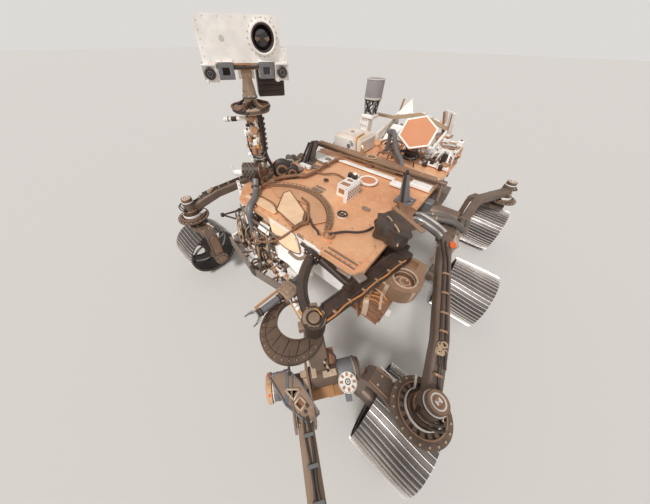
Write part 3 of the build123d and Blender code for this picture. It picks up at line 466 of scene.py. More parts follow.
def join(shapes):
    """One shape from several."""
    points, faces, count = [], [], 0
    for own_points, own_faces in shapes:
        points.append(own_points)
        faces += [block + count for block in own_faces]
        count += len(own_points)
    return np.concatenate(points), faces


def repeat(shape, places, axes=None):
    """Copies of a shape at many places; axes gives each copy its rows side, over and ahead."""
    points, faces = shape
    places = np.asarray(places, float)
    if axes is None:
        axes = np.eye(3)
    axes = np.broadcast_to(axes, (len(places), 3, 3))
    moved = places[:, None] + np.einsum("pk,mkc->mpc", points, axes)
    steps = np.arange(len(places))[:, None, None] * len(points)
    return moved.reshape(-1, 3), [(block[None] + steps).reshape(-1, block.shape[1]) for block in faces]


def revolve(profile, base, axis, sides=28, closed=False):
    """Profile rows (radius, height) turned about an axis: base + height axis + radius round."""
    profile = np.asarray(profile, float)
    side, over, ahead = axes_along(axis)
    turn = np.arange(sides) * 2 * math.pi / sides
    round_way = np.cos(turn)[:, None] * side + np.sin(turn)[:, None] * over
    rings = np.asarray(base, float) + profile[:, None, 1:] * ahead + profile[:, None, :1] * round_way[None]
    return rings_shape(rings, closed)


def smooth_path(points, steps=8, closed=False):
    """Curve through the points: each stretch is the cubic that keeps its neighbours' directions."""
    points = np.asarray(points, float)
    if closed:
        padded = np.concatenate((points[-1:], points, points[:2]))
    else:
        padded = np.concatenate((2 * points[:1] - points[1:2], points, 2 * points[-1:] - points[-2:-1]))
    t = (np.arange(steps) / steps)[None, :, None]
    a, b, c, d = (padded[k:len(padded) - 3 + k, None] for k in range(4))
    run = 0.5 * (2 * b + (c - a) * t + (2 * a - 5 * b + 4 * c - d) * t**2 + (3 * b - a - 3 * c + d) * t**3)
    run = run.reshape(-1, 3)
    return run if closed else np.concatenate((run, points[-1:]))


def carry(path, section, up=None, closed=False, scale=None):
    """Section (columns, 2) carried along a path; its first axis lies level or square to up."""
    path = np.asarray(path, float)
    ahead = (
        unit(np.gradient(path, axis=0)) if not closed else unit(np.roll(path, -1, 0) - np.roll(path, 1, 0))
    )
    if up is None:
        up = np.linalg.svd(ahead, full_matrices=False)[2][-1]
    side = unit(np.cross(np.broadcast_to(up, ahead.shape), ahead))
    over = np.cross(ahead, side)
    section = np.asarray(section, float)
    size = np.ones(len(path)) if scale is None else np.asarray(scale, float)
    rings = (
        path[:, None]
        + size[:, None, None] * (section[None, :, :1] * side[:, None] + section[None, :, 1:] * over[:, None])
    )
    return rings_shape(rings, closed)


def round_section(radius, sides=8):
    """Circle as section points."""
    turn = np.arange(sides) * 2 * math.pi / sides
    return radius * np.stack((np.cos(turn), np.sin(turn)), -1)


def flat_section(width, height, cut=0.25):
    """Rectangle with cut corners as section points, anticlockwise."""
    half_w, half_h = width / 2, height / 2
    cut = cut * min(width, height)
    return np.array((
        (half_w - cut, -half_h), (half_w, -half_h + cut), (half_w, half_h - cut), (half_w - cut, half_h),
        (-half_w + cut, half_h), (-half_w, half_h - cut), (-half_w, -half_h + cut), (-half_w + cut, -half_h),
    ))


def cable(points, radius, sides=8, steps=8, closed=False):
    """Round cable on the smooth curve through the points."""
    return carry(smooth_path(points, steps, closed), round_section(radius, sides), closed=closed)


def strap(points, width, thick, up=(0.0, 0.0, 1.0), steps=6):
    """Flat strap on the smooth curve through the points, its broad side square to up."""
    return carry(smooth_path(points, steps), flat_section(width, thick), up=up)


def bar(start, end, width, height, up=(0.0, 0.0, 1.0), taper=1.0):
    """Straight bar with cut edges between two points."""
    start, end = np.asarray(start, float), np.asarray(end, float)
    if abs(float(unit(end - start) @ unit(up))) > 0.98:
        up = (0.0, 1.0, 0.0)
    cap = 0.12 * min(width, height)
    ahead = unit(end - start)
    path = np.stack((start, start + ahead * cap, end - ahead * cap, end))
    shrink = 1 - 1.6 * cap / max(width, height)
    return carry(path, flat_section(width, height, 0.12), up=up, scale=(shrink, 1.0, taper, taper * shrink))


def prism(outline, origin, axes, depth, bevel=0.002):
    """Flat outline (anticlockwise, in the first two axes) raised along the third, its rims bevelled."""
    outline = np.asarray(outline, float)
    edge = unit(np.roll(outline, -1, 0) - outline)
    inward = np.stack((-edge[:, 1], edge[:, 0]), -1)
    before = np.roll(inward, 1, 0)
    lean = (inward + before) / np.maximum(1 + (inward * before).sum(-1, keepdims=True), 0.2)
    inner = outline + lean * bevel
    levels = ((inner, 0.0), (outline, bevel), (outline, depth - bevel), (inner, depth))
    flat = np.stack([np.concatenate((ring, np.full((len(ring), 1), height)), -1) for ring, height in levels])
    return rings_shape(np.asarray(origin, float) + flat @ np.asarray(axes, float))


def slab(low, high, bevel=0.003, turn=0.0):
    """Upright block between two corners with bevelled edges, turned about its own upright."""
    low, high = np.asarray(low, float), np.asarray(high, float)
    size = high - low
    cosine, sine = math.cos(turn), math.sin(turn)
    axes = np.array(((cosine, sine, 0), (-sine, cosine, 0), (0, 0, 1)))
    origin = np.array(((low[0] + high[0]) / 2, (low[1] + high[1]) / 2, low[2]))
    outline = flat_section(size[0], size[1], bevel / min(size[0], size[1]))
    return prism(outline, origin, axes, size[2], min(bevel, size[2] * 0.4))


def ring(base, axis, inner, outer, height, sides=36):
    """Flat ring with bevelled rims."""
    lip = 0.2 * min(height, outer - inner)
    profile = (
        (inner + lip, 0), (outer - lip, 0), (outer, lip), (outer, height - lip),
        (outer - lip, height), (inner + lip, height), (inner, height - lip), (inner, lip),
    )
    return revolve(profile, base, axis, sides, closed=True)


def can(base, axis, radius, height, lip=0.003, sides=32):
    """Round can with bevelled rims."""
    return revolve(
        ((radius - lip, 0), (radius, lip), (radius, height - lip), (radius - lip, height)), base, axis, sides
    )


def corrugated(base, axis, radius, height, ribs, depth, sides=28):
    """Round body whose radius swells and falls once a rib, as wound cable or a bellows does."""
    level = np.linspace(0, 1, ribs * 6 + 1)
    radii = radius - depth + depth * np.abs(np.sin(math.pi * ribs * level))
    return revolve(np.stack((radii, level * height), -1), base, axis, sides)


def studs(places, axis, radius, height, sides=8):
    """Bolt heads with a bevelled rim at many places, all along one axis or one axis each."""
    head = revolve(
        ((radius, 0), (radius, height * 0.65), (radius * 0.72, height)), (0, 0, 0), (0, 0, 1), sides
    )
    places = np.asarray(places, float).reshape(-1, 3)
    axis = np.broadcast_to(np.asarray(axis, float), places.shape)
    return repeat(head, places, np.stack([axes_along(way) for way in axis]))


def on_circle(centre, axis, radius, count, start=0.0, sweep=2 * math.pi):
    """Places spread round a circle about an axis."""
    side, over, _ = axes_along(axis)
    turn = start + np.arange(count) * sweep / (count if sweep > 6.28 else max(count - 1, 1))
    return np.asarray(centre, float) + radius * (
        np.cos(turn)[:, None] * side + np.sin(turn)[:, None] * over
    )


def crumple(points, depth, seed, folds=26, size=30.0):
    """Offsets that crumple a surface: the sum of folds, each a sharp-edged wave in its own direction."""
    draw = np.random.default_rng(seed)
    ways = unit(draw.normal(size=(folds, 3))) * draw.uniform(0.5, 1.6, (folds, 1)) * size
    phase = draw.uniform(0, 2 * math.pi, folds)
    waves = 1 - 2 * np.abs(np.sin(points @ ways.T + phase))
    return depth * waves.sum(-1) / math.sqrt(folds)


def blanket(outline, low, high, bulge, depth, seed, around=96, up=28):
    """Wrapped bundle: rings that follow the outline, drawn in at top and bottom and crumpled outwards."""
    outline = np.asarray(outline, float)
    loop = np.concatenate((outline, outline[:1]))
    length = np.concatenate(([0], np.cumsum(np.linalg.norm(np.diff(loop, axis=0), axis=-1))))
    station = np.linspace(0, length[-1], around, endpoint=False)
    plan = np.stack([np.interp(station, length, loop[:, k]) for k in (0, 1)], -1)
    middle = plan.mean(0)
    level = np.linspace(0, 1, up)
    inset = 1 - bulge * np.abs(2 * level - 1) ** 4
    rings = np.empty((up, around, 3))
    rings[..., :2] = middle + (plan - middle)[None] * inset[:, None, None]
    rings[..., 2] = (low + (high - low) * level)[:, None]
    away = np.zeros_like(rings)
    away[..., :2] = unit(plan - middle)[None]
    shift = crumple(rings.reshape(-1, 3), depth, seed).reshape(up, around)
    rings += away * shift[..., None]
    caps = []
    for edge, way in ((rings[-1], 1), (rings[0], -1)):
        share = np.linspace(1, 0.04, 12)[:, None, None]
        centre = edge.mean(0)
        disc = centre + (edge[None] - centre) * share
        folds = crumple(disc.reshape(-1, 3), depth, seed + 1).reshape(disc.shape[:2])
        disc[..., 2] = edge[:, 2].mean() + way * 1.2 * folds * (1 - share[..., 0])
        caps.append(disc)
    return rings_shape(np.concatenate((caps[1][::-1], rings[1:-1], caps[0])))


def piece(name, shapes, finish, body="chassis", stands_for=(), sharp=38.0, material=None):
    """Puts shapes into one mesh object with its finish, on its body."""
    points, faces = join(shapes if isinstance(shapes, list) else [shapes])
    mesh = bpy.data.meshes.new(name)
    mesh.vertices.add(len(points))
    mesh.vertices.foreach_set("co", points.astype(np.float32).ravel())
    sizes = np.concatenate([np.full(len(block), block.shape[1]) for block in faces])
    corners = np.concatenate([block.ravel() for block in faces]).astype(np.int32)
    mesh.loops.add(len(corners))
    mesh.loops.foreach_set("vertex_index", corners)
    mesh.polygons.add(len(sizes))
    mesh.polygons.foreach_set("loop_start", np.concatenate(([0], np.cumsum(sizes)[:-1])).astype(np.int32))
    mesh.update(calc_edges=True)
    mesh.validate()
    mesh.shade_smooth()
    mesh.set_sharp_from_angle(angle=math.radians(sharp))
    mesh.materials.append(MATERIALS[finish] if material is None else material)
    made = bpy.data.objects.new(name, mesh)
    bpy.context.scene.collection.objects.link(made)
    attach(made, body)
    if stands_for:
        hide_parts(*stands_for)
    return made


def pieces_by_finish(prefix, kinds, body="chassis"):
    """One piece for each finish, from lists of shapes by finish."""
    for finish, shapes in kinds.items():
        piece(f"{prefix}_{finish}", shapes, finish, body)


# Shapes from rows of numbers, all measured from one base point
UP = np.array((0.0, 0.0, 1.0))
MIDDLE = at(0, 0, 0)
DECK_AT = at(0, 0, DECK_Z)


def points_from(base, rows):
    """Points at rows of offsets from a base point."""
    return base + np.array(rows, float)


def line(base, rows, radius, sides=8, steps=8):
    """Round cable on the smooth curve through rows of offsets from a base point."""
    return cable(points_from(base, rows), radius, sides, steps)


def blocks(base, rows, bevel=0.003):
    """Upright blocks, a row each: low corner, high corner, then its own bevel and turn if it has them."""
    return [slab(base + row[:3], base + row[3:6], *(row[6:] or (bevel,))) for row in rows]


def bars(base, rows, size=None, up=(0.0, 0.0, 1.0)):
    """Straight bars, a row each: start, end, then its own width and height if it has them."""
    return [bar(base + row[:3], base + row[3:6], *(row[6:] or size), up=up) for row in rows]


def rings_at(base, axis, rows):
    """Rings on an axis through base, a row each: place along it, then what ring takes after the axis."""
    return [ring(base + axis * row[0], axis, *row[1:]) for row in rows]


def bolt_rings(base, axis, rows):
    """Circles of bolts about an axis, a row each: place along it, circle, count, bolt radius and height."""
    return [
        studs(on_circle(base + axis * row[0], axis, *row[1:-2]), axis, *row[-2:]) for row in rows
    ]


def stud_grid(base, xs, ys, zs, axis, radius, height):
    """Bolt heads at every pairing of the given offsets from a base point."""
    grid = np.stack(np.meshgrid(xs, ys, zs, indexing="ij"), -1)
    return studs(base + grid.reshape(-1, 3), axis, radius, height)


# Wheels: curved bars on a thin crowned skin, with rims, hubs and their bolts
WHEELS = ("front_left", "front_right", "middle_left", "middle_right", "rear_left", "rear_right")
BAR_COUNT = 48
BAR_HEIGHT = 0.009
SKIN_R = WHEEL_R - BAR_HEIGHT
SKIN = 0.005
CROWN = 0.004
BAR_SWAY = 0.036


def turned_copies(shape, base, axis, count):
    """Copies of a shape built round the third axis at the origin, spread evenly about an axis."""
    side, over, ahead = axes_along(axis)
    turn = np.arange(count) * 2 * math.pi / count
    cosine, sine = np.cos(turn)[:, None], np.sin(turn)[:, None]
    axes = np.stack((
        cosine * side + sine * over,
        cosine * over - sine * side,
        np.broadcast_to(ahead, (count, 3)),
    ), 1)
    return repeat(shape, np.broadcast_to(np.asarray(base, float), (count, 3)), axes)


def wheel_bar():
    """One tread bar: its angle sways as the sine of its place across, its top follows the crown."""
    across = np.linspace(-0.5, 0.5, 13)
    angle = BAR_SWAY * np.sin(math.pi * across)
    crown = CROWN * (2 * across) ** 2
    corners = []
    for height, half in ((-0.001, -0.0026), (BAR_HEIGHT, -0.0012), (BAR_HEIGHT, 0.0012), (-0.001, 0.0026)):
        radius = SKIN_R + height - crown
        corners.append(np.stack((
            radius * np.cos(angle + half / SKIN_R),
            radius * np.sin(angle + half / SKIN_R),
            across * WHEEL_W,
        ), -1))
    return rings_shape(np.stack(corners, 1))


def wheel_skin(centre):
    """Drum: radius less a crown that grows as the square of the place across, a lip at each rim."""
    across = np.linspace(-0.5, 0.5, 15)
    crown = CROWN * (2 * across) ** 2
    outer = np.stack((SKIN_R - crown, across * WHEEL_W), -1)
    inner = np.stack((SKIN_R - SKIN - crown, across * WHEEL_W), -1)[::-1]
    inner[:1, 0] -= 0.006
    inner[-1:, 0] -= 0.006
    return revolve(np.concatenate((outer, inner)), centre, (1, 0, 0), 96, closed=True)


for name in WHEELS:
    low, high = (np.array(corner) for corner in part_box(f"tyre_{name}"))
    centre = (low + high) / 2
    outward = 1.0 if centre[0] > 0 else -1.0
    body = f"wheel_{name}"
    piece(f"tyre_skin_{name}", wheel_skin(centre), "wheel_aluminium", body, (f"tyre_{name}",), sharp=30)
    # Dark lining just inside the skin: painted shade that darkens the wheel's interior
    liner = np.linspace(-0.47, 0.47, 11)
    lining = np.stack((SKIN_R - SKIN - 0.0006 - CROWN * (2 * liner) ** 2, liner * WHEEL_W), -1)
    piece(f"tyre_shade_lining_{name}", revolve(np.concatenate((
        lining, (lining - (0.001, 0))[::-1],
    )), centre, (1, 0, 0), 96, closed=True), "wheel_inside_shade", body, sharp=30)
    # Near white tread bars: part wear, part painted highlight for their glinting edges
    piece(f"tyre_bars_{name}", turned_copies(
        wheel_bar(), centre, (1, 0, 0), BAR_COUNT,
    ), "bar_worn_and_glint", body, sharp=30)
    face = centre + np.array((outward * 0.084, 0, 0))
    out_way = np.array((outward, 0, 0))
    trim = [
        ring(face - out_way * 0.002, out_way, 0.03, 0.05, 0.006),
        *bolt_rings(face, out_way, ((0, 0.04, 12, 0.0042, 0.007), (0.01, 0.014, 5, 0.0028, 0.003))),
        can(face - out_way * 0.004, out_way, 0.022, 0.014),
    ]
    rim_at = centre + np.array((outward * (WHEEL_W / 2 - 0.008), 0, 0))
    trim.append(ring(rim_at - out_way * 0.004, out_way, SKIN_R - 0.022, SKIN_R - SKIN - 0.002, 0.005, 96))
    back_at = centre - np.array((outward * (WHEEL_W / 2 - 0.01), 0, 0))
    trim.append(ring(back_at, out_way, SKIN_R - 0.018, SKIN_R - SKIN - 0.002, 0.005, 96))
    piece(f"wheel_trim_{name}", trim, "spoke_titanium", body)

# Steering actuators and the knuckles below them
CORNERS = (("front_left", 1, -1), ("front_right", -1, -1), ("rear_left", 1, 1), ("rear_right", -1, 1))
FLANGE_Z, RING_Z, CAN_Z, NECK_Z, CAP_Z = 0.68, 0.694, 0.76, 0.83, 0.88
PLATE_Z = 0.61
LEG_REACH = 0.24
DRIVE_END = LEG_REACH + 0.07
bright_bits, white_bits, black_bits, tan_bits, dark_bits = ([] for _ in range(5))
for name, left, back in CORNERS:
    low, high = (np.array(corner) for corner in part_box(f"tyre_{name}"))
    hub = (low + high) / 2
    foot = np.array((hub[0], hub[1], 0.0))
    bright_bits += bolt_rings(foot, UP, (
        (FLANGE_Z, 0.13, 20, 0.0062, 0.006), (CAN_Z, 0.056, 10, 0.004, 0.004),
    ))
    tan_bits += [
        *rings_at(foot, UP, (
            (RING_Z - 0.001, 0.106, 0.113, 0.006, 48), (RING_Z - 0.001, 0.058, 0.066, 0.006, 48),
            (CAN_Z - 0.006, 0.05, 0.062, 0.008, 40),
        )),
        can(foot + UP * (CAP_Z - 0.002), UP, 0.044, 0.005),
    ]
    white_bits += rings_at(foot, UP, (
        (NECK_Z + 0.014, 0.0455, 0.05, 0.009, 40), (CAP_Z + 0.0025, 0.026, 0.032, 0.0016, 40),
    ))
    dark_bits.append(can(foot + UP * (CAP_Z + 0.0025), UP, 0.017, 0.0012))
    for quarter in (0, 2):
        turn = np.linspace(quarter * math.pi / 2, (quarter + 1) * math.pi / 2, 8) + 0.4
        wedge = np.concatenate(([[0, 0]], 0.016 * np.stack((np.cos(turn), np.sin(turn)), -1)))
        white_bits.append(prism(wedge, foot + UP * (CAP_Z + 0.0032), np.eye(3), 0.0012, 0.0002))
    # White flat cable round the can, open towards the suspension tube
    open_way = math.atan2(-back, -left * 0.4)
    turn = open_way + np.linspace(0.5, 2 * math.pi - 0.5, 26)
    loop = foot + np.stack((0.082 * np.cos(turn), 0.082 * np.sin(turn), np.full(26, RING_Z + 0.016)), -1)
    loop = np.concatenate((
        [loop[0] + np.array((0.05 * math.cos(open_way), 0.05 * math.sin(open_way), 0.03))],
        loop,
        [loop[-1] + np.array((0.05 * math.cos(open_way), 0.05 * math.sin(open_way), 0.03))],
    ))
    white_bits.append(carry(smooth_path(loop, 3), flat_section(0.004, 0.026), up=(0, 0, 1)))
    # Looped leads from the cap back to the tube
    for lift, reach in ((0.0, 0.085), (0.014, 0.07)):
        turn = open_way + 1.9 + np.linspace(0, 2.3, 7)
        lead = foot + np.stack((
            reach * np.cos(turn), reach * np.sin(turn),
            CAN_Z + 0.02 + lift + 0.03 * np.sin(np.linspace(0, math.pi, 7)),
        ), -1)
        lead[0] = foot + np.array((0.05 * math.cos(turn[0]), 0.05 * math.sin(turn[0]), CAN_Z + 0.03))
        lead[-1] = foot + np.array((0.05 * math.cos(turn[-1]), 0.05 * math.sin(turn[-1]), CAN_Z - 0.01))
        black_bits.append(cable(lead, 0.0055))
    # Knuckle: bolts, edge ribs, drive cap and a little fitting, on the turning body
    body = f"steer_{name}"
    inner = hub[0] - left * LEG_REACH
    own_bright = [
        studs([
            (hub[0] - left * dx, hub[1] + dy, PLATE_Z)
            for dx, dy in (
                (0.103, -0.03), (0.082, -0.03), (0.108, 0.034), (0.089, 0.034), (0.2, -0.026), (0.2, 0.026),
            )
        ], UP, 0.0075, 0.006),
        studs(on_circle(
            hub - np.array((left * DRIVE_END, 0, 0)), (-left, 0, 0), 0.054, 12,
        ), (-left, 0, 0), 0.005, 0.005),
    ]
    piece(f"knuckle_bolts_{name}", own_bright, "bolt_steel", body)
    plates = [
        can(hub - np.array((left * DRIVE_END, 0, 0)), (-left, 0, 0), 0.04, 0.009),
        prism(
            [(-0.034, -0.17), (0.034, -0.17), (0.034, 0.13), (0.0, 0.165), (-0.034, 0.13)],
            (inner - left * 0.0455, hub[1], 0.415),
            np.array(((0, -left, 0), (0, 0, 1), (-left, 0, 0)), float), 0.008,
        ),
    ]
    for edge in (-1, 1):
        plates.append(bar(
            (hub[0] - left * 0.13, hub[1] + edge * 0.046, PLATE_Z - 0.002),
            (inner - left * 0.006, hub[1] + edge * 0.04, PLATE_Z - 0.002), 0.008, 0.02,
        ))
    piece(f"knuckle_plates_{name}", plates, "tan_metal", body)
    fitting = hub + np.array((-left * 0.137, 0.05, 0.0))
    fitting[2] = PLATE_Z
    piece(f"knuckle_fitting_{name}", [
        slab(fitting + (-0.014, -0.008, -0.002), fitting + (0.016, 0.012, 0.014), 0.003, 0.5),
        bar(fitting + (0.0, 0.0, 0.008), fitting + (-left * 0.09, 0.012, 0.006), 0.006, 0.006),
    ], "frame_white", body)
piece("actuator_bolts", bright_bits, "bolt_steel")
piece("actuator_rings", tan_bits, "tan_metal")
piece("actuator_marks", white_bits, "frame_white")
piece("actuator_centres", dark_bits, "copper_trim")
piece("actuator_leads", black_bits, "cable_black")


# Suspension: clips over the cables, hose loops, crumpled wraps and cable stacks
def mirrored(points, left):
    """Points given for the rover's left, on the asked side."""
    points = np.array(points, float)
    points[..., 0] *= left
    return points


def places(rows):
    """World points from rows (x, y from the middle axle, z)."""
    return np.array([at(*row) for row in rows])


tube_line = places((
    (0.845, -0.302, 0.948), (0.878, -0.43, 0.937), (0.915, -0.56, 0.925), (0.988, -0.78, 0.8875),
    (1.06, -1.0, 0.85), (1.096, -1.13, 0.812), (1.124, -1.229, 0.766),
))
stations = np.concatenate(([0], np.cumsum(np.linalg.norm(np.diff(tube_line, axis=0), axis=-1))))


def tube_point(share):
    """Point on the front tube's centre line at a share of its length, with its direction."""
    spot, ahead = (
        np.array([np.interp(part * stations[-1], stations, tube_line[:, k]) for k in range(3)])
        for part in (share, share + 0.01)
    )
    return spot, unit(ahead - spot)


clip_bits, knot_bits, lead_bits, hose_bits, tag_bits, silver_bits, bolt_bits = ([] for _ in range(7))
for left in (1, -1):
    for share in (0.36, 0.49, 0.61, 0.71, 0.9):
        spot, ahead = tube_point(share)
        side, over, _ = axes_along(ahead)
        arch = np.stack([spot + side * u + over * v for u, v in (
            (-0.02, 0.044), (-0.017, 0.058), (0.0, 0.062), (0.017, 0.058), (0.02, 0.044),
        )])
        clip_bits.append(carry(mirrored(
            smooth_path(arch, 4), left,
        ), flat_section(0.003, 0.012), up=ahead * (left, 1, 1)))
    spot, ahead = tube_point(0.12)
    bolt_bits.append(studs(mirrored(on_circle(
        spot, ahead, 0.052, 12,
    ), left), ahead * (left, 1, 1), 0.005, 0.012))
    # Bundle of tied cable loops near the front end of the tube
    spot, ahead = tube_point(0.79)
    side, over, _ = axes_along(ahead)
    draw = np.random.default_rng(41)
    for _ in range(11):
        turn = np.arange(9) * 2 * math.pi / 9
        size = draw.uniform(0.006, 0.014)
        tilt = draw.normal(0, 0.5, 2)
        lift, slide, aside = (
            draw.uniform(0.05, 0.064), draw.uniform(-0.024, 0.024), draw.uniform(-0.016, 0.016),
        )
        centre = spot + over * lift + ahead * slide + side * aside
        loop = centre + size * (
            np.cos(turn)[:, None] * (ahead + tilt[0] * over)
            + np.sin(turn)[:, None] * (side + tilt[1] * over)
        )
        knot_bits.append(cable(mirrored(loop, left), 0.0032, 6, 4, closed=True))
    run = []
    for share in np.linspace(0.7, 0.99, 8):
        spot, ahead = tube_point(min(share, 0.985))
        side, over, _ = axes_along(ahead)
        aside, rise = 0.012 + 0.01 * math.sin(20 * share), 0.052 + 0.006 * math.cos(23 * share)
        run.append(spot + side * aside + over * rise)
    lead_bits.append(cable(mirrored(run, left), 0.0062))
    # Ribbed hoses from the deck edge down to the tube
    for step in range(4):
        path = smooth_path(mirrored(places((
            (0.59 + 0.004 * step, -0.47 + 0.034 * step, 1.075), (0.65, -0.455 + 0.034 * step, 1.085),
            (0.735 + 0.008 * step, -0.42 + 0.03 * step, 1.045),
            (0.8 + 0.01 * step, -0.37 + 0.026 * step, 0.985), (0.835, -0.35 + 0.02 * step, 0.95),
        )), left), 14)
        ribs = 1 + 0.2 * np.abs(np.sin(np.arange(len(path)) * math.pi / 2))
        (silver_bits if step % 2 else hose_bits).append(carry(path, round_section(0.0135, 10), scale=ribs))
    # Broad hoses over the pivot to the bogie
    for shift in (0.0, 0.038):
        route = mirrored(places((
            (0.562, -0.25 - shift, 1.0), (0.62, -0.24 - shift, 1.012), (0.69 + shift, -0.222 - shift, 1.036),
            (0.8 + shift, -0.178 - shift, 1.034), (0.885 + shift, -0.115 - shift, 0.965),
            (0.905 + shift, 0.02 - shift, 0.878), (0.893 + shift, 0.17, 0.85), (0.887 + shift, 0.25, 0.8),
            (0.886 + shift, 0.292, 0.752),
        )), left)
        hose_bits.append(cable(route, 0.0215, 14))
        clip_bits += [
            ring(route[k], route[k + 1] - route[k - 1], 0.0212, 0.025, 0.012, 16) for k in (2, 4, 6)
        ]
    for side_shift in (-0.013, 0.013):
        route = mirrored(places((
            (0.845 + side_shift, -0.4, 0.997), (0.88 + side_shift, -0.48, 0.986),
            (0.915 + side_shift, -0.56, 0.978), (0.988 + side_shift, -0.78, 0.9405),
            (1.06 + side_shift, -1.0, 0.901), (1.104 + side_shift, -1.13, 0.873),
        )), left)
        lead_bits.append(cable(route, 0.0066))
    # Bright tag on the sleeve
    spot, ahead = tube_point(0.115)
    side, over, _ = axes_along(ahead)
    tag = spot + over * 0.06 + side * 0.032
    tag_axes = np.stack((side * left, -ahead, over)) * (left, 1, 1)
    tag_bits.append(prism(flat_section(0.036, 0.052, 0.1), tag * (left, 1, 1), tag_axes, 0.004, 0.0008))
piece("cable_clips", clip_bits, "tan_metal")
piece("tied_loops", knot_bits, "wire_tan")
piece("tube_leads", lead_bits, "cable_black", stands_for=("rocker_cables",))
piece("pivot_hoses", hose_bits, "hose_grey")
piece("silver_hoses", silver_bits, "silver_wrap")
piece("tube_bolts", bolt_bits, "bolt_steel")
piece("bright_tags", tag_bits, "tag_orange")


def wrap(path, radius, depth, seed, steps=9, sides=26):
    """Crumpled sleeve round a path: its radius, moved in and out by the folds at each point."""
    middle_line = smooth_path(path, steps)
    points, faces = carry(middle_line, round_section(1.0, sides), scale=np.full(len(middle_line), radius))
    middle = np.repeat(middle_line, sides, 0)
    away = unit(points - middle)
    points = points + away * crumple(points, depth, seed, size=46.0)[:, None]
    return points, faces


wraps = []
for left in (1, -1):
    wraps.append(wrap(mirrored(places((
        (0.905, 0.3, 0.665), (0.905, 0.2, 0.535), (0.905, 0.11, 0.425), (0.905, 0.05, 0.355),
    )), left), 0.074, 0.01, 3 + left))
    wraps.append(wrap(mirrored(places((
        (0.84, -0.11, 0.9), (0.9, -0.105, 0.84), (0.935, -0.06, 0.74), (0.93, 0.03, 0.62),
        (0.915, 0.08, 0.52),
    )), left), 0.04, 0.01, 11 + left))
piece("suspension_wraps", wraps, "blanket_grey")

# Mast: lenses, rings and bolts on the head, cables and fittings down the column
HEAD_AT = at(-0.6, -0.76, 1.815)
PAN = math.radians(58)
HEAD_SIDE = np.array((math.cos(PAN), math.sin(PAN), 0.0))
HEAD_FRONT = np.array((math.sin(PAN), -math.cos(PAN), 0.0))
VIEW_SIDE = np.array((0.76, 0.65, 0.0))
VIEW_FRONT = np.array((0.65, -0.76, 0.0))
MAST_FOOT = at(-0.6, -0.76, 0.0)


def head(across, ahead, rise):
    """Point by the camera head, from the tilt axis: along its width, forward and up."""
    return HEAD_AT + across * HEAD_SIDE + ahead * HEAD_FRONT + rise * UP


def facing(outline, origin, depth, bevel=0.002):
    """Flat outline raised forward from the head's front, given as (across, rise)."""
    return prism(outline, origin, np.stack((HEAD_SIDE, UP, HEAD_FRONT)), depth, bevel)


def face_block(across, rise, width, height, ahead, depth, bevel=0.002):
    """Block on the head's front, by its middle, size and depth."""
    return facing(flat_section(width, height, 0.06), head(across, ahead, rise), depth, bevel)


EYE = head(0.112, 0.125, 0.171)
piece("window_ring", ring(
    EYE - HEAD_FRONT * 0.002, HEAD_FRONT, 0.0625, 0.073, 0.023, 56,
), "frame_white", "mast_head")
piece("window_barrel", rings_at(EYE, HEAD_FRONT, (
    (-0.028, 0.0525, 0.0565, 0.03, 56), (0.004, 0.0535, 0.0632, 0.0155, 56),
    (-0.026, 0.016, 0.02, 0.004, 32),
)), "dark_metal", "mast_head")
piece("window_glass", revolve((
    (0.0535, -0.022), (0.046, -0.0175), (0.033, -0.014), (0.016, -0.0125), (0.003, -0.012),
), EYE, HEAD_FRONT, 56), "lens_glass", "mast_head")
# Two pale wedges just in front of the glass: painted reflections, standing for the glints on the window
piece("window_glint_wedges", [
    facing(
        [(0.008 * s, -0.001), (0.03 * s, -0.015), (0.041 * s, -0.006), (0.038 * s, 0.008)][::s],
        EYE - HEAD_FRONT * 0.014, 0.002, 0.0004,
    )
    for s in (1, -1)
], "tan_metal", "mast_head")
head_bolts = [
    studs(on_circle(EYE - HEAD_FRONT * 0.001, HEAD_FRONT, 0.082, 20), HEAD_FRONT, 0.0034, 0.004),
    studs([head(-0.215, 0.124, w) for w in np.linspace(0.095, 0.235, 5)], HEAD_FRONT, 0.0026, 0.003),
    studs([
        head(u, 0.124, 0.075)
        for u in (-0.19, -0.13, -0.07, -0.01, 0.03, 0.19)
    ], HEAD_FRONT, 0.0026, 0.003),
    studs([head(u, 0.124, 0.252) for u in np.linspace(-0.18, 0.17, 6)], HEAD_FRONT, 0.0024, 0.003),
    studs([head(0.228, 0.124, w) for w in (0.075, 0.12)], HEAD_FRONT, 0.003, 0.003),
]
piece("head_bolts", head_bolts, "bolt_steel", "mast_head")
piece("head_spot", can(
    head(-0.109, 0.1245, 0.169), HEAD_FRONT, 0.013, 0.0022, 0.0006,
), "fin_metal", "mast_head")
piece("head_strip", [
    face_block(*row)
    for row in (
        (-0.088, 0.058, 0.235, 0.012, 0.1, 0.03), (0.034, 0.053, 0.02, 0.018, 0.118, 0.012),
        (-0.238, 0.056, 0.02, 0.014, 0.06, 0.05), (0.24, 0.056, 0.02, 0.014, 0.06, 0.05),
    )
], "copper_trim", "mast_head")

# Cameras under the head: two round lenses in pale housings, two square ones in grey frames
frames, glasses, barrels, housings = [], [], [], []
for across in (-0.206, 0.206):
    axis_at = head(across, 0.139, 0.0195)
    barrels += [
        can(axis_at, HEAD_FRONT, 0.0295, 0.022, 0.003, 32),
        ring(axis_at + HEAD_FRONT * 0.02, HEAD_FRONT, 0.019, 0.026, 0.006),
    ]
    frames.append(ring(axis_at + HEAD_FRONT * 0.021, HEAD_FRONT, 0.01, 0.014, 0.005, 24))
    glasses.append(revolve(((0.0095, 0.022), (0.006, 0.0262), (0.001, 0.0275)), axis_at, HEAD_FRONT, 24))
    housings += [
        face_block(*row)
        for row in (
            (across, 0.057, 0.078, 0.01, 0.1, 0.048), (across - 0.037, 0.016, 0.008, 0.08, 0.1, 0.046),
            (across + 0.037, 0.016, 0.008, 0.08, 0.1, 0.046),
            (across - 0.026, -0.02, 0.018, 0.016, 0.12, 0.026),
        )
    ]
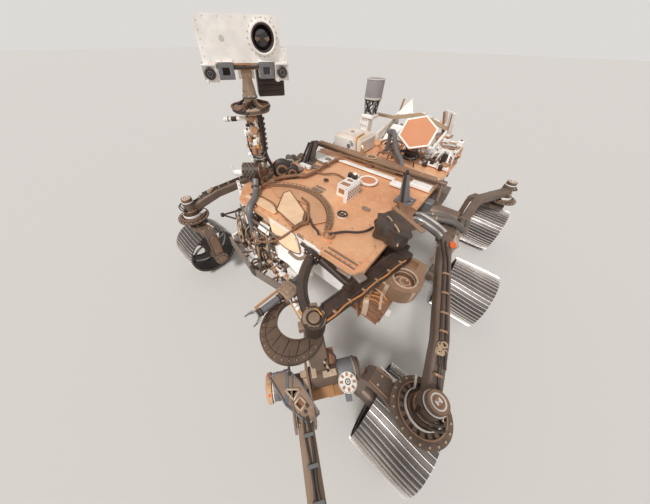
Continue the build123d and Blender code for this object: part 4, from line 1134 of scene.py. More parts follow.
for across in (-0.116, 0.116):
    for du, dw, width, height in (
        (0, 0.028, 0.088, 0.02), (0, -0.028, 0.088, 0.02), (0.033, 0, 0.022, 0.04), (-0.033, 0, 0.022, 0.04),
    ):
        frames.append(face_block(across + du, 0.026 + dw, width, height, 0.132, 0.014))
    glasses.append(face_block(across, 0.026, 0.046, 0.038, 0.124, 0.008))
    housings.append(face_block(across, 0.069, 0.09, 0.006, 0.06, 0.08))
piece("camera_frames", frames, "slate_grey", "mast_head")
piece("camera_glass", glasses, "lens_glass", "mast_head")
piece("camera_barrels", barrels, "black_blanket", "mast_head")
piece("camera_housings", housings, "frame_white", "mast_head")

# Hanging box behind the bar, with its ribs, and the brown and black harness along the bar
box_axes = np.stack((HEAD_SIDE, -HEAD_FRONT, UP))
piece("hanging_box", [
    prism(flat_section(0.174, 0.102, 0.05), head(0.15, -0.018, -0.123), box_axes, 0.16, 0.004),
    *[face_block(0.15, -0.096 + 0.03 * k, 0.16, 0.01, 0.032, 0.01) for k in range(5)],
    *[face_block(0.098 + 0.026 * k, -0.066, 0.014, 0.02, 0.032, 0.009) for k in range(5)],
], "dark_metal", "mast_head")
harness_brown, harness_black = [], []
draw = np.random.default_rng(7)
for k in range(9):
    start, end = draw.uniform(-0.16, -0.02), draw.uniform(0.02, 0.14)
    sag = draw.uniform(-0.02, 0.015)
    run = [
        head(start, 0.11, 0.052), head(start + 0.02, 0.126, 0.046 + sag * 0.3),
        head(0.0, 0.124 + 0.001 * k, 0.044 + sag * 0.3), head(end - 0.02, 0.126, 0.046 + sag * 0.3),
        head(end, 0.11, 0.052),
    ]
    (harness_brown if k % 2 else harness_black).append(cable(run, draw.uniform(0.0035, 0.0065)))
piece("head_harness_brown", harness_brown, "cable_brown", "mast_head")
piece("head_harness_black", harness_black, "cable_black", "mast_head")

# Pan drive: flange bolts, crown, looped cables over the wide disc
PAN_Z = 1.634
pan_at = MAST_FOOT + UP * PAN_Z
pan_bits = bolt_rings(pan_at, UP, ((0, 0.108, 16, 0.0045, 0.005), (0, 0.06, 12, 0.0045, 0.006)))
piece("pan_bolts", pan_bits, "bolt_steel", "mast_pan")
piece("pan_rings", rings_at(pan_at, UP, (
    (0, 0.046, 0.056, 0.014), (0.05, 0.041, 0.05, 0.012), (-0.026, 0.118, 0.126, 0.018, 56),
)), "grey_tube", "mast_pan")
piece("pan_crown", [
    ring(pan_at + UP * 0.054, UP, 0.04, 0.05, 0.008),
    *[repeat(slab((-0.006, -0.006, 0), (0.006, 0.006, 0.008), 0.001), [spot]) for spot in
      on_circle(pan_at + UP * 0.06, UP, 0.044, 8)],
], "frame_white", "mast_pan")
loops_brown, loops_black = [], []
for k, (reach, lift, first, last) in enumerate((
    (0.128, 0.0, 2.6, 5.2), (0.133, 0.01, 2.4, 5.0), (0.126, -0.012, 2.9, 5.4), (0.12, 0.016, 5.6, 7.6),
    (0.126, 0.004, 5.4, 7.9),
)):
    turn = np.linspace(first, last, 8) + PAN - 0.6
    run = pan_at + np.stack((reach * np.cos(turn), reach * np.sin(turn), np.full(8, -0.006 + lift)), -1)
    run[0] = pan_at + np.array((0.05 * math.cos(turn[0]), 0.05 * math.sin(turn[0]), 0.04))
    run[-1] = pan_at + np.array((0.052 * math.cos(turn[-1]), 0.052 * math.sin(turn[-1]), 0.03))
    (loops_brown if k % 2 else loops_black).append(cable(run, 0.0075))
piece("pan_loops_brown", loops_brown, "cable_brown", "mast_pan")
piece("pan_loops_black", loops_black, "cable_black", "mast_pan")

# Column: cable with clips on one side, straps, small boxes and wrapped joints


def column(aside, front, height):
    """Point by the mast column: along the drums' side, across it and above the ground."""
    return MAST_FOOT + aside * VIEW_SIDE + front * VIEW_FRONT + height * UP


col_black = [
    cable([
        column(0.058, 0.02, 1.598), column(0.064, 0.022, 1.5), column(0.062, 0.026, 1.4),
        column(0.064, 0.024, 1.3), column(0.1, 0.02, 1.2), column(0.15, 0.0, 1.13),
    ], 0.0125, 10),
    cable([
        column(0.052, 0.044, 1.598), column(0.058, 0.046, 1.45), column(0.056, 0.046, 1.34),
        column(0.098, 0.048, 1.24), column(0.112, 0.06, 1.16), column(0.07, 0.09, 1.12),
    ], 0.008, 8),
    cable([
        column(-0.05, 0.04, 1.5), column(-0.056, 0.05, 1.4), column(-0.03, 0.07, 1.31),
        column(0.03, 0.074, 1.29), column(0.07, 0.05, 1.33),
    ], 0.006, 8),
]
piece("column_cables", col_black, "cable_black")
col_clips = [
    repeat(slab((-0.02, -0.014, -0.009), (0.022, 0.014, 0.009), 0.003, 0.7), [column(0.062, 0.024, z)])
    for z in (1.56, 1.525, 1.49, 1.455, 1.42, 1.385, 1.35)
]
piece("column_clips", col_clips, "black_blanket")
col_white = [
    slab(
        column(-0.058, 0.03, 1.455) - 0.016, column(-0.058, 0.03, 1.455) + (0.016, 0.016, 0.034), 0.004, 0.4,
    ),
    *rings_at(MAST_FOOT, UP, ((1.375, 0.041, 0.053, 0.022, 32), (1.262, 0.041, 0.056, 0.03, 32))),
    slab(column(0.0, 0.058, 1.4) - 0.014, column(0.0, 0.058, 1.4) + (0.016, 0.016, 0.026), 0.003, 0.8),
    slab(column(-0.04, 0.056, 1.25) - 0.013, column(-0.04, 0.056, 1.25) + (0.013, 0.013, 0.03), 0.003, 0.2),
    slab(column(0.03, 0.064, 1.225) - 0.01, column(0.03, 0.064, 1.225) + (0.01, 0.01, 0.02), 0.003, 0.9),
    can(column(-0.052, 0.058, 1.32), (0.65, -0.76, 0.2), 0.014, 0.022),
]
piece("column_white", col_white, "frame_white")
col_tan = [
    slab(column(-0.01, 0.06, 1.335) - 0.018, column(-0.01, 0.06, 1.335) + (0.018, 0.018, 0.04), 0.004, 0.3),
    can(column(0.01, 0.05, 1.49), (0.65, -0.76, 0.1), 0.026, 0.02),
    can(column(-0.034, 0.04, 1.42), (0.3, -0.9, 0.1), 0.018, 0.024),
    ring(MAST_FOOT + UP * 1.14, UP, 0.041, 0.066, 0.04, 32),
    can(column(0.0, 0.052, 1.562), (0.65, -0.76, 0.1), 0.02, 0.018),
]
piece("column_fittings", col_tan, "copper_trim")
piece("column_yellow", [
    slab(
        column(0.018, 0.058, 1.375) - 0.014, column(0.018, 0.058, 1.375) + (0.014, 0.014, 0.022), 0.003, 0.6,
    ),
    slab(
        column(-0.062, 0.044, 1.372) - 0.009, column(-0.062, 0.044, 1.372) + (0.009, 0.009, 0.018), 0.003,
        0.2,
    ),
], "tape_gold")
piece("column_wraps", [
    wrap([column(0.0, 0.01, 1.47), column(0.004, 0.006, 1.43), column(0.0, 0.01, 1.392)], 0.053, 0.006, 21),
    wrap([column(0.0, 0.006, 1.225), column(0.0, 0.006, 1.2), column(0.0, 0.01, 1.16)], 0.058, 0.007, 22),
], "blanket_grey")

# Hinge drum in its mesh of crossed wires, its pale end disc and the wound drums behind
HINGE_Z = 1.207
hinge_at = MAST_FOOT + UP * HINGE_Z + VIEW_FRONT * 0.125
drum_side, drum_over, _ = axes_along(VIEW_SIDE)
wires = []
for way in (-1, 1):
    for k in range(9):
        along_way = np.linspace(-0.109, -0.01, 9)
        turn = 2 * math.pi * k / 9 + way * np.linspace(0, 2.4, 9)
        wires.append(cable(
            hinge_at + along_way[:, None] * VIEW_SIDE
            + 0.0595 * (np.cos(turn)[:, None] * drum_side + np.sin(turn)[:, None] * drum_over), 0.0042, 6, 3,
        ))
piece("drum_mesh", wires, "cable_grey")
piece("drum_end", [
    ring(hinge_at + VIEW_SIDE * 0.02, VIEW_SIDE, 0.02, 0.066, 0.006, 40),
    can(hinge_at + VIEW_SIDE * 0.018, VIEW_SIDE, 0.016, 0.014),
    studs(on_circle(hinge_at + VIEW_SIDE * 0.0255, VIEW_SIDE, 0.052, 10), VIEW_SIDE, 0.004, 0.004),
    slab(hinge_at + (-0.02, -0.02, -0.115), hinge_at + (0.045, 0.03, -0.05), 0.006, 0.6),
], "tan_metal")
WOUND_DRUMS = ((0.176, 0.072), (0.262, 0.05))
WOUND_FOOT = MAST_FOOT + UP * 1.095
wound, wound_caps = [], []
across_drum = unit(np.array((0.76, -0.65, 0.0)))
for reach, radius in WOUND_DRUMS:
    centre = WOUND_FOOT + UP * radius + VIEW_SIDE * reach
    wound.append(corrugated(centre - across_drum * 0.034, across_drum, radius + 0.008, 0.068, 6, 0.006))
    wound_caps.append(ring(centre + across_drum * 0.033, across_drum, radius * 0.45, radius * 0.7, 0.006))
piece("wound_drums", wound, "cable_black")
piece("drum_caps", wound_caps, "tan_metal")

# Booms: dark sleeves near their tips
BOOM_Z = 1.555
boom_root = MAST_FOOT + UP * BOOM_Z - VIEW_SIDE * 0.056
boom_end = boom_root - VIEW_SIDE * 0.128 - UP * 0.008
boom_way = unit(boom_end - boom_root)
piece("boom_sleeves", [
    corrugated(boom_root + boom_way * 0.066, boom_way, 0.017, 0.04, 4, 0.002),
    ring(boom_root + boom_way * 0.124, boom_way, 0.0155, 0.0172, 0.006, 24),
], "dark_metal")
piece("boom_caps", [
    revolve((
        (0.0168, 0), (0.0165, 0.01), (0.012, 0.016), (0.003, 0.018),
    ), boom_end + boom_way * 0.018, boom_way, 24),
    revolve(
        ((0.023, 0), (0.026, 0.02), (0.016, 0.07), (0.006, 0.084)),
        hinge_at - VIEW_SIDE * 0.112 - UP * 0.018, -VIEW_SIDE + UP * 0.1, 24,
    ),
], "frame_white")

# Small fittings all round the column
COLUMN_RADIUS = 0.042
bits = {finish: [] for finish in ("frame_white", "black_blanket", "copper_trim", "cable_brown")}
BIT_ORDER = ("frame_white", "black_blanket", "cable_brown", "frame_white", "copper_trim", "black_blanket")
draw = np.random.default_rng(29)
for k in range(54):
    turn, z = draw.uniform(-2.6, 1.4), 1.15 + 0.0078 * k
    out = np.array((math.cos(turn), math.sin(turn), 0.0))
    reach, tall = draw.uniform(0.008, 0.024), draw.uniform(0.01, 0.03)
    middle_spot = MAST_FOOT + out * COLUMN_RADIUS + UP * z
    fit_axes = np.stack((np.array((-out[1], out[0], 0.0)), UP, out))
    face = flat_section(draw.uniform(0.014, 0.034), tall, 0.12)
    bits[BIT_ORDER[k % 6]].append(prism(face, middle_spot - out * 0.004, fit_axes, reach + 0.004, 0.002))
pieces_by_finish("column_bits", bits)

# Deck: bolts along its edge and its covers, and the trim of the curved rail


def deck(x, y, rise=0.0):
    """Point on the deck, y from the middle axle, rise above its face."""
    return at(x, y, DECK_Z + rise)


HOOD_AXES = np.array(((1, 0, 0), (0, 0.6, 0.8), (0, -0.8, 0.6)))


def hood(x, down, rise=0.012):
    """Point on the slope before the deck's front edge: across, down it and above it."""
    return at(x, -1.1, 1.094) + down * HOOD_AXES[1] * -1 + rise * HOOD_AXES[2]


edge_line = [(-0.59, y) for y in np.arange(-0.9, 0.74, 0.085)]
edge_line += [(0.59, y) for y in np.arange(-1.0, 0.74, 0.085)]
edge_line += [(x, -1.092) for x in np.arange(-0.42, 0.36, 0.075)]
edge_line += [(x, 0.752) for x in np.arange(-0.56, 0.58, 0.1)]
deck_studs = [studs([deck(*spot) for spot in edge_line], UP, 0.0055, 0.005)]
pentagon = np.array(((-0.132, -1.01), (-0.158, -0.85), (-0.02, -0.842), (0.098, -0.985), (0.076, -1.072)))
loop = np.concatenate((pentagon, pentagon[:1]))
rim = np.concatenate([
    loop[k] + (loop[k + 1] - loop[k]) * np.linspace(0, 1, 5, endpoint=False)[:, None]
    for k in range(5)
])
rim = pentagon.mean(0) + (rim - pentagon.mean(0)) * 1.09
deck_studs.append(studs([deck(*spot) for spot in rim], UP, 0.0042, 0.005))
cover = np.array(((0.34, -1.04), (0.37, -0.83), (0.44, -0.72), (0.566, -0.88), (0.566, -1.05)))
inner_cover = cover.mean(0) + (cover - cover.mean(0)) * 0.93
deck_studs.append(studs([deck(*spot, 0.007) for spot in inner_cover], UP, 0.005, 0.005))
arc = np.linspace(0.0, 1.0, 26)
first, middle, last = at(-0.443, -0.895, 0), at(-0.09, -0.69, 0), at(0.262, -0.95, 0)
chord_a, chord_b = middle - first, last - first
d = 2 * (chord_a[0] * chord_b[1] - chord_a[1] * chord_b[0])
rail_centre = first + np.array((
    chord_b[1] * (chord_a @ chord_a) - chord_a[1] * (chord_b @ chord_b),
    chord_a[0] * (chord_b @ chord_b) - chord_b[0] * (chord_a @ chord_a), 0,
)) / d
rail_r = float(np.linalg.norm(first - rail_centre))
angle_a, angle_c = (math.atan2(*(spot - rail_centre)[1::-1]) for spot in (first, last))
turn = angle_a + (angle_c - angle_a) * arc


def on_rail(off, rise):
    """Points along the rail's arc: its radius plus off, at a height above the deck."""
    radius = rail_r + off
    return rail_centre + np.stack((
        radius * np.cos(turn), radius * np.sin(turn), np.full(len(turn), DECK_Z + rise),
    ), -1)


piece("rail_dots", studs(on_rail(0.0, 0.024), UP, 0.0042, 0.003), "dark_metal")
rail_edges = [carry(on_rail(off, 0.026), flat_section(0.003, 0.006), up=UP) for off in (-0.014, 0.014)]
piece("rail_edges", rail_edges, "tan_metal")
piece("deck_bolts", deck_studs, "bolt_steel")

# Rim and lid of the recess, the sheets by it, and the cables and pipes on the deck
lid_line = np.array((
    (-0.125, -1.022), (-0.246, -0.842), (-0.231, -0.785), (0.035, -0.908), (0.096, -0.996), (0.089, -1.061),
))
recess = [
    bar(deck(*a, 0.005), deck(*b, 0.005), 0.007, 0.008)
    for a, b in zip(lid_line, np.roll(lid_line, -1, 0))
]
piece("recess_rim", recess, "cable_brown")
piece("recess_lid", prism(lid_line[::-1], deck(0, 0, -0.003), np.eye(3), 0.008, 0.002), "cream_sheet")
fan_turn = np.linspace(angle_a, angle_c, 24)[2:-2]
fan_outer = rail_centre[:2] + (rail_r - 0.022) * np.stack((np.cos(fan_turn), np.sin(fan_turn)), -1)
fan_inner = np.array((
    (0.15, -0.985), (0.118, -0.955), (-0.01, -0.828), (-0.165, -0.838), (-0.24, -0.905),
)) + (0, MID_Y)
sheet_outline = np.concatenate((fan_outer, fan_inner))
following = np.roll(sheet_outline, -1, 0)
if np.sum(sheet_outline[:, 0] * following[:, 1] - following[:, 0] * sheet_outline[:, 1]) < 0:
    sheet_outline = sheet_outline[::-1]
piece("inner_sheet", prism(sheet_outline, (0, 0, DECK_Z - 0.002), np.eye(3), 0.005, 0.001), "copper_sheet")
lens_turn = np.linspace(0.25, math.pi - 0.25, 14)
lens_arc = np.stack((0.17 * np.cos(lens_turn), 0.055 * np.sin(lens_turn)), -1)
lens = np.concatenate((lens_arc, [[-0.16, -0.012], [0.0, -0.02], [0.16, -0.012]])) + (-0.27, -1.05)
piece("edge_sheet", prism(lens, deck(0, 0, -0.002), np.eye(3), 0.006, 0.001), "cream_sheet")
piece("edge_line", line(DECK_AT, (
    (-0.43, -1.03, 0.004), (-0.35, -0.99, 0.006), (-0.27, -0.984, 0.006), (-0.19, -0.99, 0.006),
    (-0.11, -1.035, 0.004),
), 0.0045), "cable_brown")
deck_black = [
    line(DECK_AT, (
        (-0.56, -0.86, 0.02), (-0.47, -0.83, 0.014), (-0.44, -0.74, 0.012), (-0.36, -0.62, 0.01),
        (-0.3, -0.53, 0.01), (-0.285, -0.36, 0.01), (-0.292, -0.2, 0.01), (-0.3, -0.1, 0.02),
    ), 0.0085),
    line(DECK_AT, (
        (0.11, -0.94, 0.012), (0.18, -0.99, 0.014), (0.23, -1.01, 0.02), (0.262, -1.03, 0.016),
    ), 0.007),
    line(DECK_AT, (
        (0.3, -0.985, 0.014), (0.36, -0.9, 0.012), (0.42, -0.85, 0.01), (0.455, -0.8, 0.01),
        (0.47, -0.74, 0.01),
    ), 0.0075),
]
piece("deck_cables", deck_black, "cable_black")
deck_brown = [
    line(DECK_AT, (
        (-0.426, -0.904, 0.018), (-0.423, -0.722, 0.018), (-0.35, -0.59, 0.016), (-0.286, -0.507, 0.016),
        (-0.289, -0.125, 0.016), (-0.24, -0.03, 0.018),
    ), 0.0155, 12),
    line(DECK_AT, (
        (-0.3, -0.42, 0.012), (-0.2, -0.4, 0.012), (-0.12, -0.33, 0.012), (0.03, -0.36, 0.012),
    ), 0.008),
    line(DECK_AT, (
        (0.085, -1.085, 0.004), (0.118, -1.02, 0.012), (0.128, -0.975, 0.014), (0.06, -0.9, 0.014),
        (-0.01, -0.826, 0.012), (-0.09, -0.8, 0.01),
    ), 0.0085),
    cable([
        at(-0.3, -1.19, 0.82), hood(-0.17, 0.18), hood(-0.089, 0.172), hood(0.021, 0.104, 0.014),
        hood(0.093, 0.01, 0.014), deck(0.112, -1.04, 0.014), deck(0.104, -0.985, 0.012),
        deck(0.06, -0.92, 0.008),
    ], 0.0075),
]
piece("deck_pipes", deck_brown, "cable_brown")
piece("pipe_clips", [
    repeat(slab((-0.022, -0.01, 0), (0.022, 0.01, 0.036), 0.003, turn_way), [deck(*spot)])
    for spot, turn_way in (
        ((-0.424, -0.8), 0.0), ((-0.318, -0.548), 0.9), ((-0.287, -0.38), 0.0), ((-0.288, -0.24), 0.0),
    )
], "tan_metal")

# Ringed marks, small plates and brackets
marks_dark, marks_tan = [], []
for x, y, radius in (
    (-0.13, -0.46, 0.022), (0.242, -0.751, 0.036), (0.515, -0.3, 0.02), (-0.02, -0.24, 0.018),
):
    marks_dark.append(ring(deck(x, y, 0.0), UP, radius * 0.7, radius, 0.0075, 32))
    marks_dark += bars(DECK_AT, (
        (x - radius * 0.7, y, 0.003, x + radius * 0.7, y, 0.003),
        (x, y - radius * 0.7, 0.003, x, y + radius * 0.7, 0.003),
    ), (0.006, 0.005))
for low_spot, high_spot, rise in (
    ((-0.135, -0.64), (-0.04, -0.612), 0.006), ((-0.135, -0.59), (-0.04, -0.575), 0.006),
    ((-0.08, -0.68), (0.0, -0.668), 0.006), ((-0.4, -0.36), (-0.33, -0.3), 0.01),
    ((-0.41, -0.24), (-0.33, -0.22), 0.014), ((-0.38, -0.16), (-0.33, -0.12), 0.02),
    ((-0.49, -0.52), (-0.4, -0.44), 0.008), ((0.3, -0.6), (0.36, -0.57), 0.006),
):
    marks_tan.append(slab(deck(*low_spot, -0.001), deck(*high_spot, rise), 0.002))
piece("deck_marks", marks_dark, "dark_metal")
piece("deck_plates", marks_tan, "grey_plate")
white_plates = [
    *blocks(DECK_AT, (
        (-0.48, -0.42, -0.001, -0.36, -0.38, 0.03), (-0.53, -0.6, -0.001, -0.42, -0.55, 0.02),
        (-0.56, -0.2, -0.001, -0.32, -0.06, 0.01, 0.003), (0.43, -0.075, -0.001, 0.59, 0.005, 0.03),
        (0.3, -0.17, -0.001, 0.4, -0.1, 0.022), (-0.3, -0.085, -0.001, 0.3, -0.04, 0.012, 0.003),
    ), 0.004),
    *bars(DECK_AT, (
        (-0.455, -0.36, 0.01, -0.375, -0.47, 0.045, 0.014, 0.006),
        (-0.1, -1.1085, -0.034, 0.34, -1.1085, -0.034, 0.01, 0.05),
    )),
]
piece("deck_white", white_plates, "frame_white")

# White unit with brown windows, its holed plate, and the sensor head behind
unit_top = 1.187
piece("unit_windows", blocks(MIDDLE, (
    (0.066, -0.545, unit_top - 0.002, 0.136, -0.5, unit_top + 0.002),
    (0.072, -0.47, unit_top - 0.002, 0.12, -0.44, unit_top + 0.002),
    (0.07, -0.5625, 1.12, 0.13, -0.5585, 1.16),
), 0.001), "copper_trim")
piece("unit_holes", [
    stud_grid(MIDDLE, 0.1515, np.linspace(-0.6, -0.45, 7), (1.125, 1.15, 1.175), (-1, 0, 0), 0.006, 0.001),
    stud_grid(MIDDLE, 0.1825, np.linspace(-0.6, -0.45, 7), (1.125, 1.15, 1.175), (1, 0, 0), 0.006, 0.001),
    stud_grid(MIDDLE, (0.159, 0.175), np.linspace(-0.6, -0.452, 8), 1.1988, UP, 0.0045, 0.001),
], "dark_metal")
sensor = at(0.08, -0.36, DECK_Z)
piece("sensor_head", [
    can(sensor, UP, 0.028, 0.05), can(sensor + (0, 0, 0.048), (0.2, -0.3, 1.0), 0.022, 0.044),
    slab(sensor + (-0.06, -0.022, -0.001), sensor + (-0.03, 0.022, 0.085), 0.004, 0.3),
    line(sensor, ((0.02, 0, 0.02), (0.04, -0.03, 0.05), (0.02, -0.06, 0.03), (0.01, -0.062, 0.0)), 0.006),
], "dark_metal")
piece("sensor_parts", [
    ring(sensor + (0, 0, 0.046), UP, 0.02, 0.034, 0.008),
    *blocks(sensor, (
        (0.03, -0.014, -0.001, 0.052, 0.014, 0.064), (-0.016, 0.032, -0.001, 0.016, 0.052, 0.072),
    ), 0.003),
    can(sensor + (0.0, 0.0, 0.09), (0.2, -0.3, 1.0), 0.014, 0.01),
], "frame_white")
disc = at(0.15, -0.245, 1.125)
piece("disc_face", revolve((
    (0.06, 0), (0.06, 0.0018), (0.05, 0.0024),
), disc - (0, 0, 0.0005), UP, 48), "antenna_face")
piece("disc_rim", ring(disc - (0, 0, 0.011), UP, 0.073, 0.0785, 0.0135, 64), "frame_white")

# Holed strip along the front edge, the flat clip and the round cap
strip_at = deck(0.46, -1.082, 0.0)
piece("strip_frame", [
    *bars(strip_at, (
        (-0.098, -0.017, 0.007, 0.098, -0.017, 0.007), (-0.098, 0.017, 0.007, 0.098, 0.017, 0.007),
    ), (0.005, 0.012)),
    *blocks(MIDDLE, (
        (0.56, -1.115, 1.06, 0.625, -1.06, 1.078, 0.003, -0.3), (0.47, -1.125, 1.052, 0.54, -1.1, 1.062),
    ), 0.002),
], "grey_plate")
piece("round_cap", [
    ring(deck(0.3, -0.985, 0.008), UP, 0.026, 0.036, 0.007), can(deck(0.3, -0.985, 0.01), UP, 0.014, 0.006),
    studs(on_circle(deck(0.3, -0.985, 0.013), UP, 0.031, 8), UP, 0.003, 0.004),
], "copper_trim")

# Blanket-wrapped box, crumpled, with its cord, tan bar and dusty cable tray
box_outline = np.array([at(x, y, 0)[:2] for x, y in (
    (0.45, -0.712), (0.512, -0.612), (0.7, -0.68), (0.702, -0.8), (0.655, -0.842), (0.5, -0.816),
)])[::-1]
piece("wrapped_blanket", blanket(
    box_outline, DECK_Z - 0.002, DECK_Z + 0.11, 0.07, 0.009, 5, 170, 46,
), "black_blanket", stands_for=("wrapped_box",))
piece("wrap_cords", line(MIDDLE, (
    (0.47, -0.69, 1.12), (0.52, -0.7, 1.206), (0.58, -0.74, 1.212), (0.64, -0.79, 1.204),
    (0.664, -0.835, 1.15),
), 0.0045), "wire_tan")
piece("tray_bar", bars(MIDDLE, (
    (0.5, -0.56, 1.19, 0.735, -0.672, 1.19, 0.03, 0.01), (0.512, -0.566, 1.094, 0.512, -0.566, 1.188),
    (0.59, -0.603, 1.094, 0.59, -0.603, 1.188),
), (0.014, 0.014)), "tan_metal")
tray = [slab(deck(0.47, -0.59, -0.001), deck(0.598, -0.4, 0.006), 0.002)]
for k in range(7):
    offset = 0.018 * k
    tray.append(cable([
        deck(0.46 + offset * 0.4, -0.36 - offset * 0.2, 0.012), deck(0.5 + offset, -0.42, 0.03),
        deck(0.545 + offset * 0.6, -0.5, 0.034),
        at(0.62 + offset * 0.4, -0.565 + offset * 0.3, DECK_Z + 0.01),
        at(0.665 + offset * 0.3, -0.52 + offset, DECK_Z - 0.04),
    ], 0.0095, 8))
piece("cable_tray", tray, "cable_brown")

# Fan brackets: pleats and bolts on both sides
pleats, fan_bolts = [], []
for left in (1, -1):
    for step in range(3):
        for edge in (-1, 1):
            pleats.append(bar(
                at(left * (0.5 - 0.014 * step), -0.33 + 0.036 * step + edge * 0.044, DECK_Z + 0.014),
                at(left * (0.444 - 0.01 * step), -0.3 + 0.016 * step + edge * 0.022, DECK_Z + 0.2), 0.012,
                0.018,
            ))
    fan_bolts.append(studs([
        deck(left * x, y, 0.016)
        for x in (0.45, 0.54) for y in (-0.34, -0.3, -0.26)
    ], UP, 0.0055, 0.005))
piece("fan_pleats", pleats, "dark_metal")
piece("fan_bolts", fan_bolts, "bolt_steel")

# Differential bar: slots along its front edge, end pins and bolts
slots_dark, bar_bolts = [], []
for low_x, high_x in ((-0.6, -0.34), (-0.3, -0.12), (0.11, 0.3), (0.34, 0.6)):
    slots_dark.append(bar(at(low_x, 0.05 - 0.0405, 1.158), at(high_x, 0.05 - 0.0405, 1.158), 0.01, 0.01))
piece("bar_slots", slots_dark, "black_blanket")
for left in (1, -1):
    bar_bolts.append(studs([
        at(left * x, y, 1.178)
        for x in (0.25, 0.36, 0.47, 0.58) for y in (0.034, 0.066)
    ], UP, 0.0055, 0.005))
    bar_bolts.append(can(at(left * 0.6, 0.05, 1.176), UP, 0.02, 0.014))
bar_bolts.append(studs(on_circle(at(0, 0.05, 1.1865), UP, 0.043, 12), UP, 0.004, 0.004))
piece("bar_bolts", bar_bolts, "bolt_steel")
piece("bar_ring", [
    ring(at(0, 0.05, 1.186), UP, 0.035, 0.052, 0.004, 48),
    ring(at(0, 0.05, 1.177), UP, 0.06, 0.066, 0.004, 48),
], "wire_tan")

# Sheets that slope down before the deck's front edge, with a hoop and a border
def hood_sheet(outline, rise, depth=0.005):
    """Flat sheet on the slope, given clockwise as (across, down)."""
    return prism([(x, -down) for x, down in outline][::-1], hood(0, 0, rise), HOOD_AXES, depth, 0.001)


flap = [(0.029, 0.1), (0.116, -0.004), (0.226, 0.078), (0.136, 0.106)]
piece("hood_cream", [
    hood_sheet([(-0.124, -0.004), (0.111, -0.004), (0.077, 0.035), (0.027, 0.077), (-0.041, 0.071)], 0.0),
    hood_sheet(flap, 0.006),
], "cream_sheet")
piece("hood_white", hood_sheet([
    (0.108, -0.004), (0.3, -0.004), (0.305, 0.213), (0.171, 0.19), (0.081, 0.195), (0.045, 0.138),
], -0.004), "frame_white")
hoop = [(0.15, -0.01), (0.225, 0.018), (0.262, 0.06), (0.25, 0.1), (0.213, 0.122), (0.142, 0.118)]
piece("hood_hoop", carry(smooth_path(np.array([
    hood(*spot, 0.004)
    for spot in hoop
]), 6), flat_section(0.02, 0.01), up=HOOD_AXES[2]), "grey_brown")
piece("hood_border", cable([hood(x, down, 0.012) for x, down in flap + flap[:1]], 0.0035, 4), "cable_brown")

# Rear: relay can, service box, cross beam, plates, pointing antenna and the frames behind it
relay_at = at(-0.42, 0.69, 0.0)
piece("relay_rims", [
    *rings_at(relay_at, UP, ((1.683, 0.078, 0.0945, 0.009, 48), (1.512, 0.086, 0.0935, 0.018, 48))),
    bar(relay_at + (-0.0905, -0.01, 1.525), relay_at + (-0.0905, -0.01, 1.68), 0.006, 0.01),
], "fin_metal")
legs = []
corners = [(0.056, 0.056), (-0.056, 0.056), (-0.056, -0.056), (0.056, -0.056)]
for k in range(4):
    a, b = corners[k], corners[(k + 1) % 4]
    legs.append(bar(
        relay_at + (a[0], a[1], 1.508), relay_at + (b[0] * 0.82, b[1] * 0.82, 1.362), 0.012, 0.01,
    ))
    legs.append(bar(
        relay_at + (b[0], b[1], 1.508), relay_at + (a[0] * 0.82, a[1] * 0.82, 1.362), 0.012, 0.01,
    ))
legs.append(ring(relay_at + UP * 1.496, UP, 0.06, 0.086, 0.016, 32))
piece("relay_legs", legs, "dark_metal")
relay_white = blocks(MIDDLE, (
    (-0.494, 0.621, 1.326, -0.346, 0.759, 1.366), (-0.482, 0.636, 1.094, -0.396, 0.744, 1.328),
    (-0.52, 0.65, 1.25, -0.478, 0.72, 1.31, 0.006), (-0.5, 0.6, 1.15, -0.42, 0.64, 1.19, 0.006),
), 0.008)
piece("relay_bracket", relay_white, "frame_white")
piece("relay_bolts", [
    studs([
        at(-0.48 + 0.02 * k, 0.6325, z)
        for k in range(4) for z in (1.12, 1.18, 1.25, 1.31)
    ], (0, -1, 0), 0.005, 0.007),
    stud_grid(MIDDLE, (-0.48, -0.36), (0.635, 0.745), 1.366, UP, 0.006, 0.006),
], "bolt_steel")

box_low, box_high = at(-0.52, 0.17, 1.095), at(-0.2, 0.48, 1.245)
piece("service_cover", [
    slab(box_low + (-0.004, -0.004, -0.001), box_high + (0.004, 0.004, 0.004), 0.016),
    slab(box_low + (0.02, 0.02, 0.15), box_high + (-0.02, -0.02, 0.014), 0.008),
], "box_dusty", stands_for=("service_box",))
piece("service_marks", [
    ring(at(-0.33, 0.1665, 1.17), (0, -1, 0), 0.014, 0.022, 0.004, 24),
    can(at(-0.33, 0.1665, 1.17), (0, -1, 0), 0.008, 0.003),
    ring(at(-0.29, 0.1665, 1.195), (0, -1, 0), 0.008, 0.014, 0.004, 24),
    ring(at(-0.31, 0.1665, 1.215), (0, -1, 0), 0.007, 0.011, 0.004, 24),
    *blocks(MIDDLE, (
        (-0.526, 0.155, 1.094, -0.5, 0.172, 1.12), (-0.222, 0.155, 1.094, -0.196, 0.172, 1.12),
    ), 0.003),
    ring(at(-0.4, 0.33, 1.2575), UP, 0.012, 0.018, 0.005, 24),
], "dark_metal")
piece("service_straps", [
    strap(points_from(MIDDLE, (
        (-0.262, 0.33, 1.262), (-0.256, 0.25, 1.262), (-0.25, 0.175, 1.256), (-0.24, 0.158, 1.225),
        (-0.226, 0.156, 1.16), (-0.19, 0.15, 1.12), (-0.14, 0.14, 1.112),
    )), 0.034, 0.006, up=(0.9, 0.2, 0.1)),
    line(MIDDLE, ((-0.195, 0.2, 1.2), (-0.17, 0.19, 1.17), (-0.15, 0.2, 1.125), (-0.11, 0.23, 1.112)), 0.01),
], "tape_gold")
back_cables = []
draw = np.random.default_rng(19)
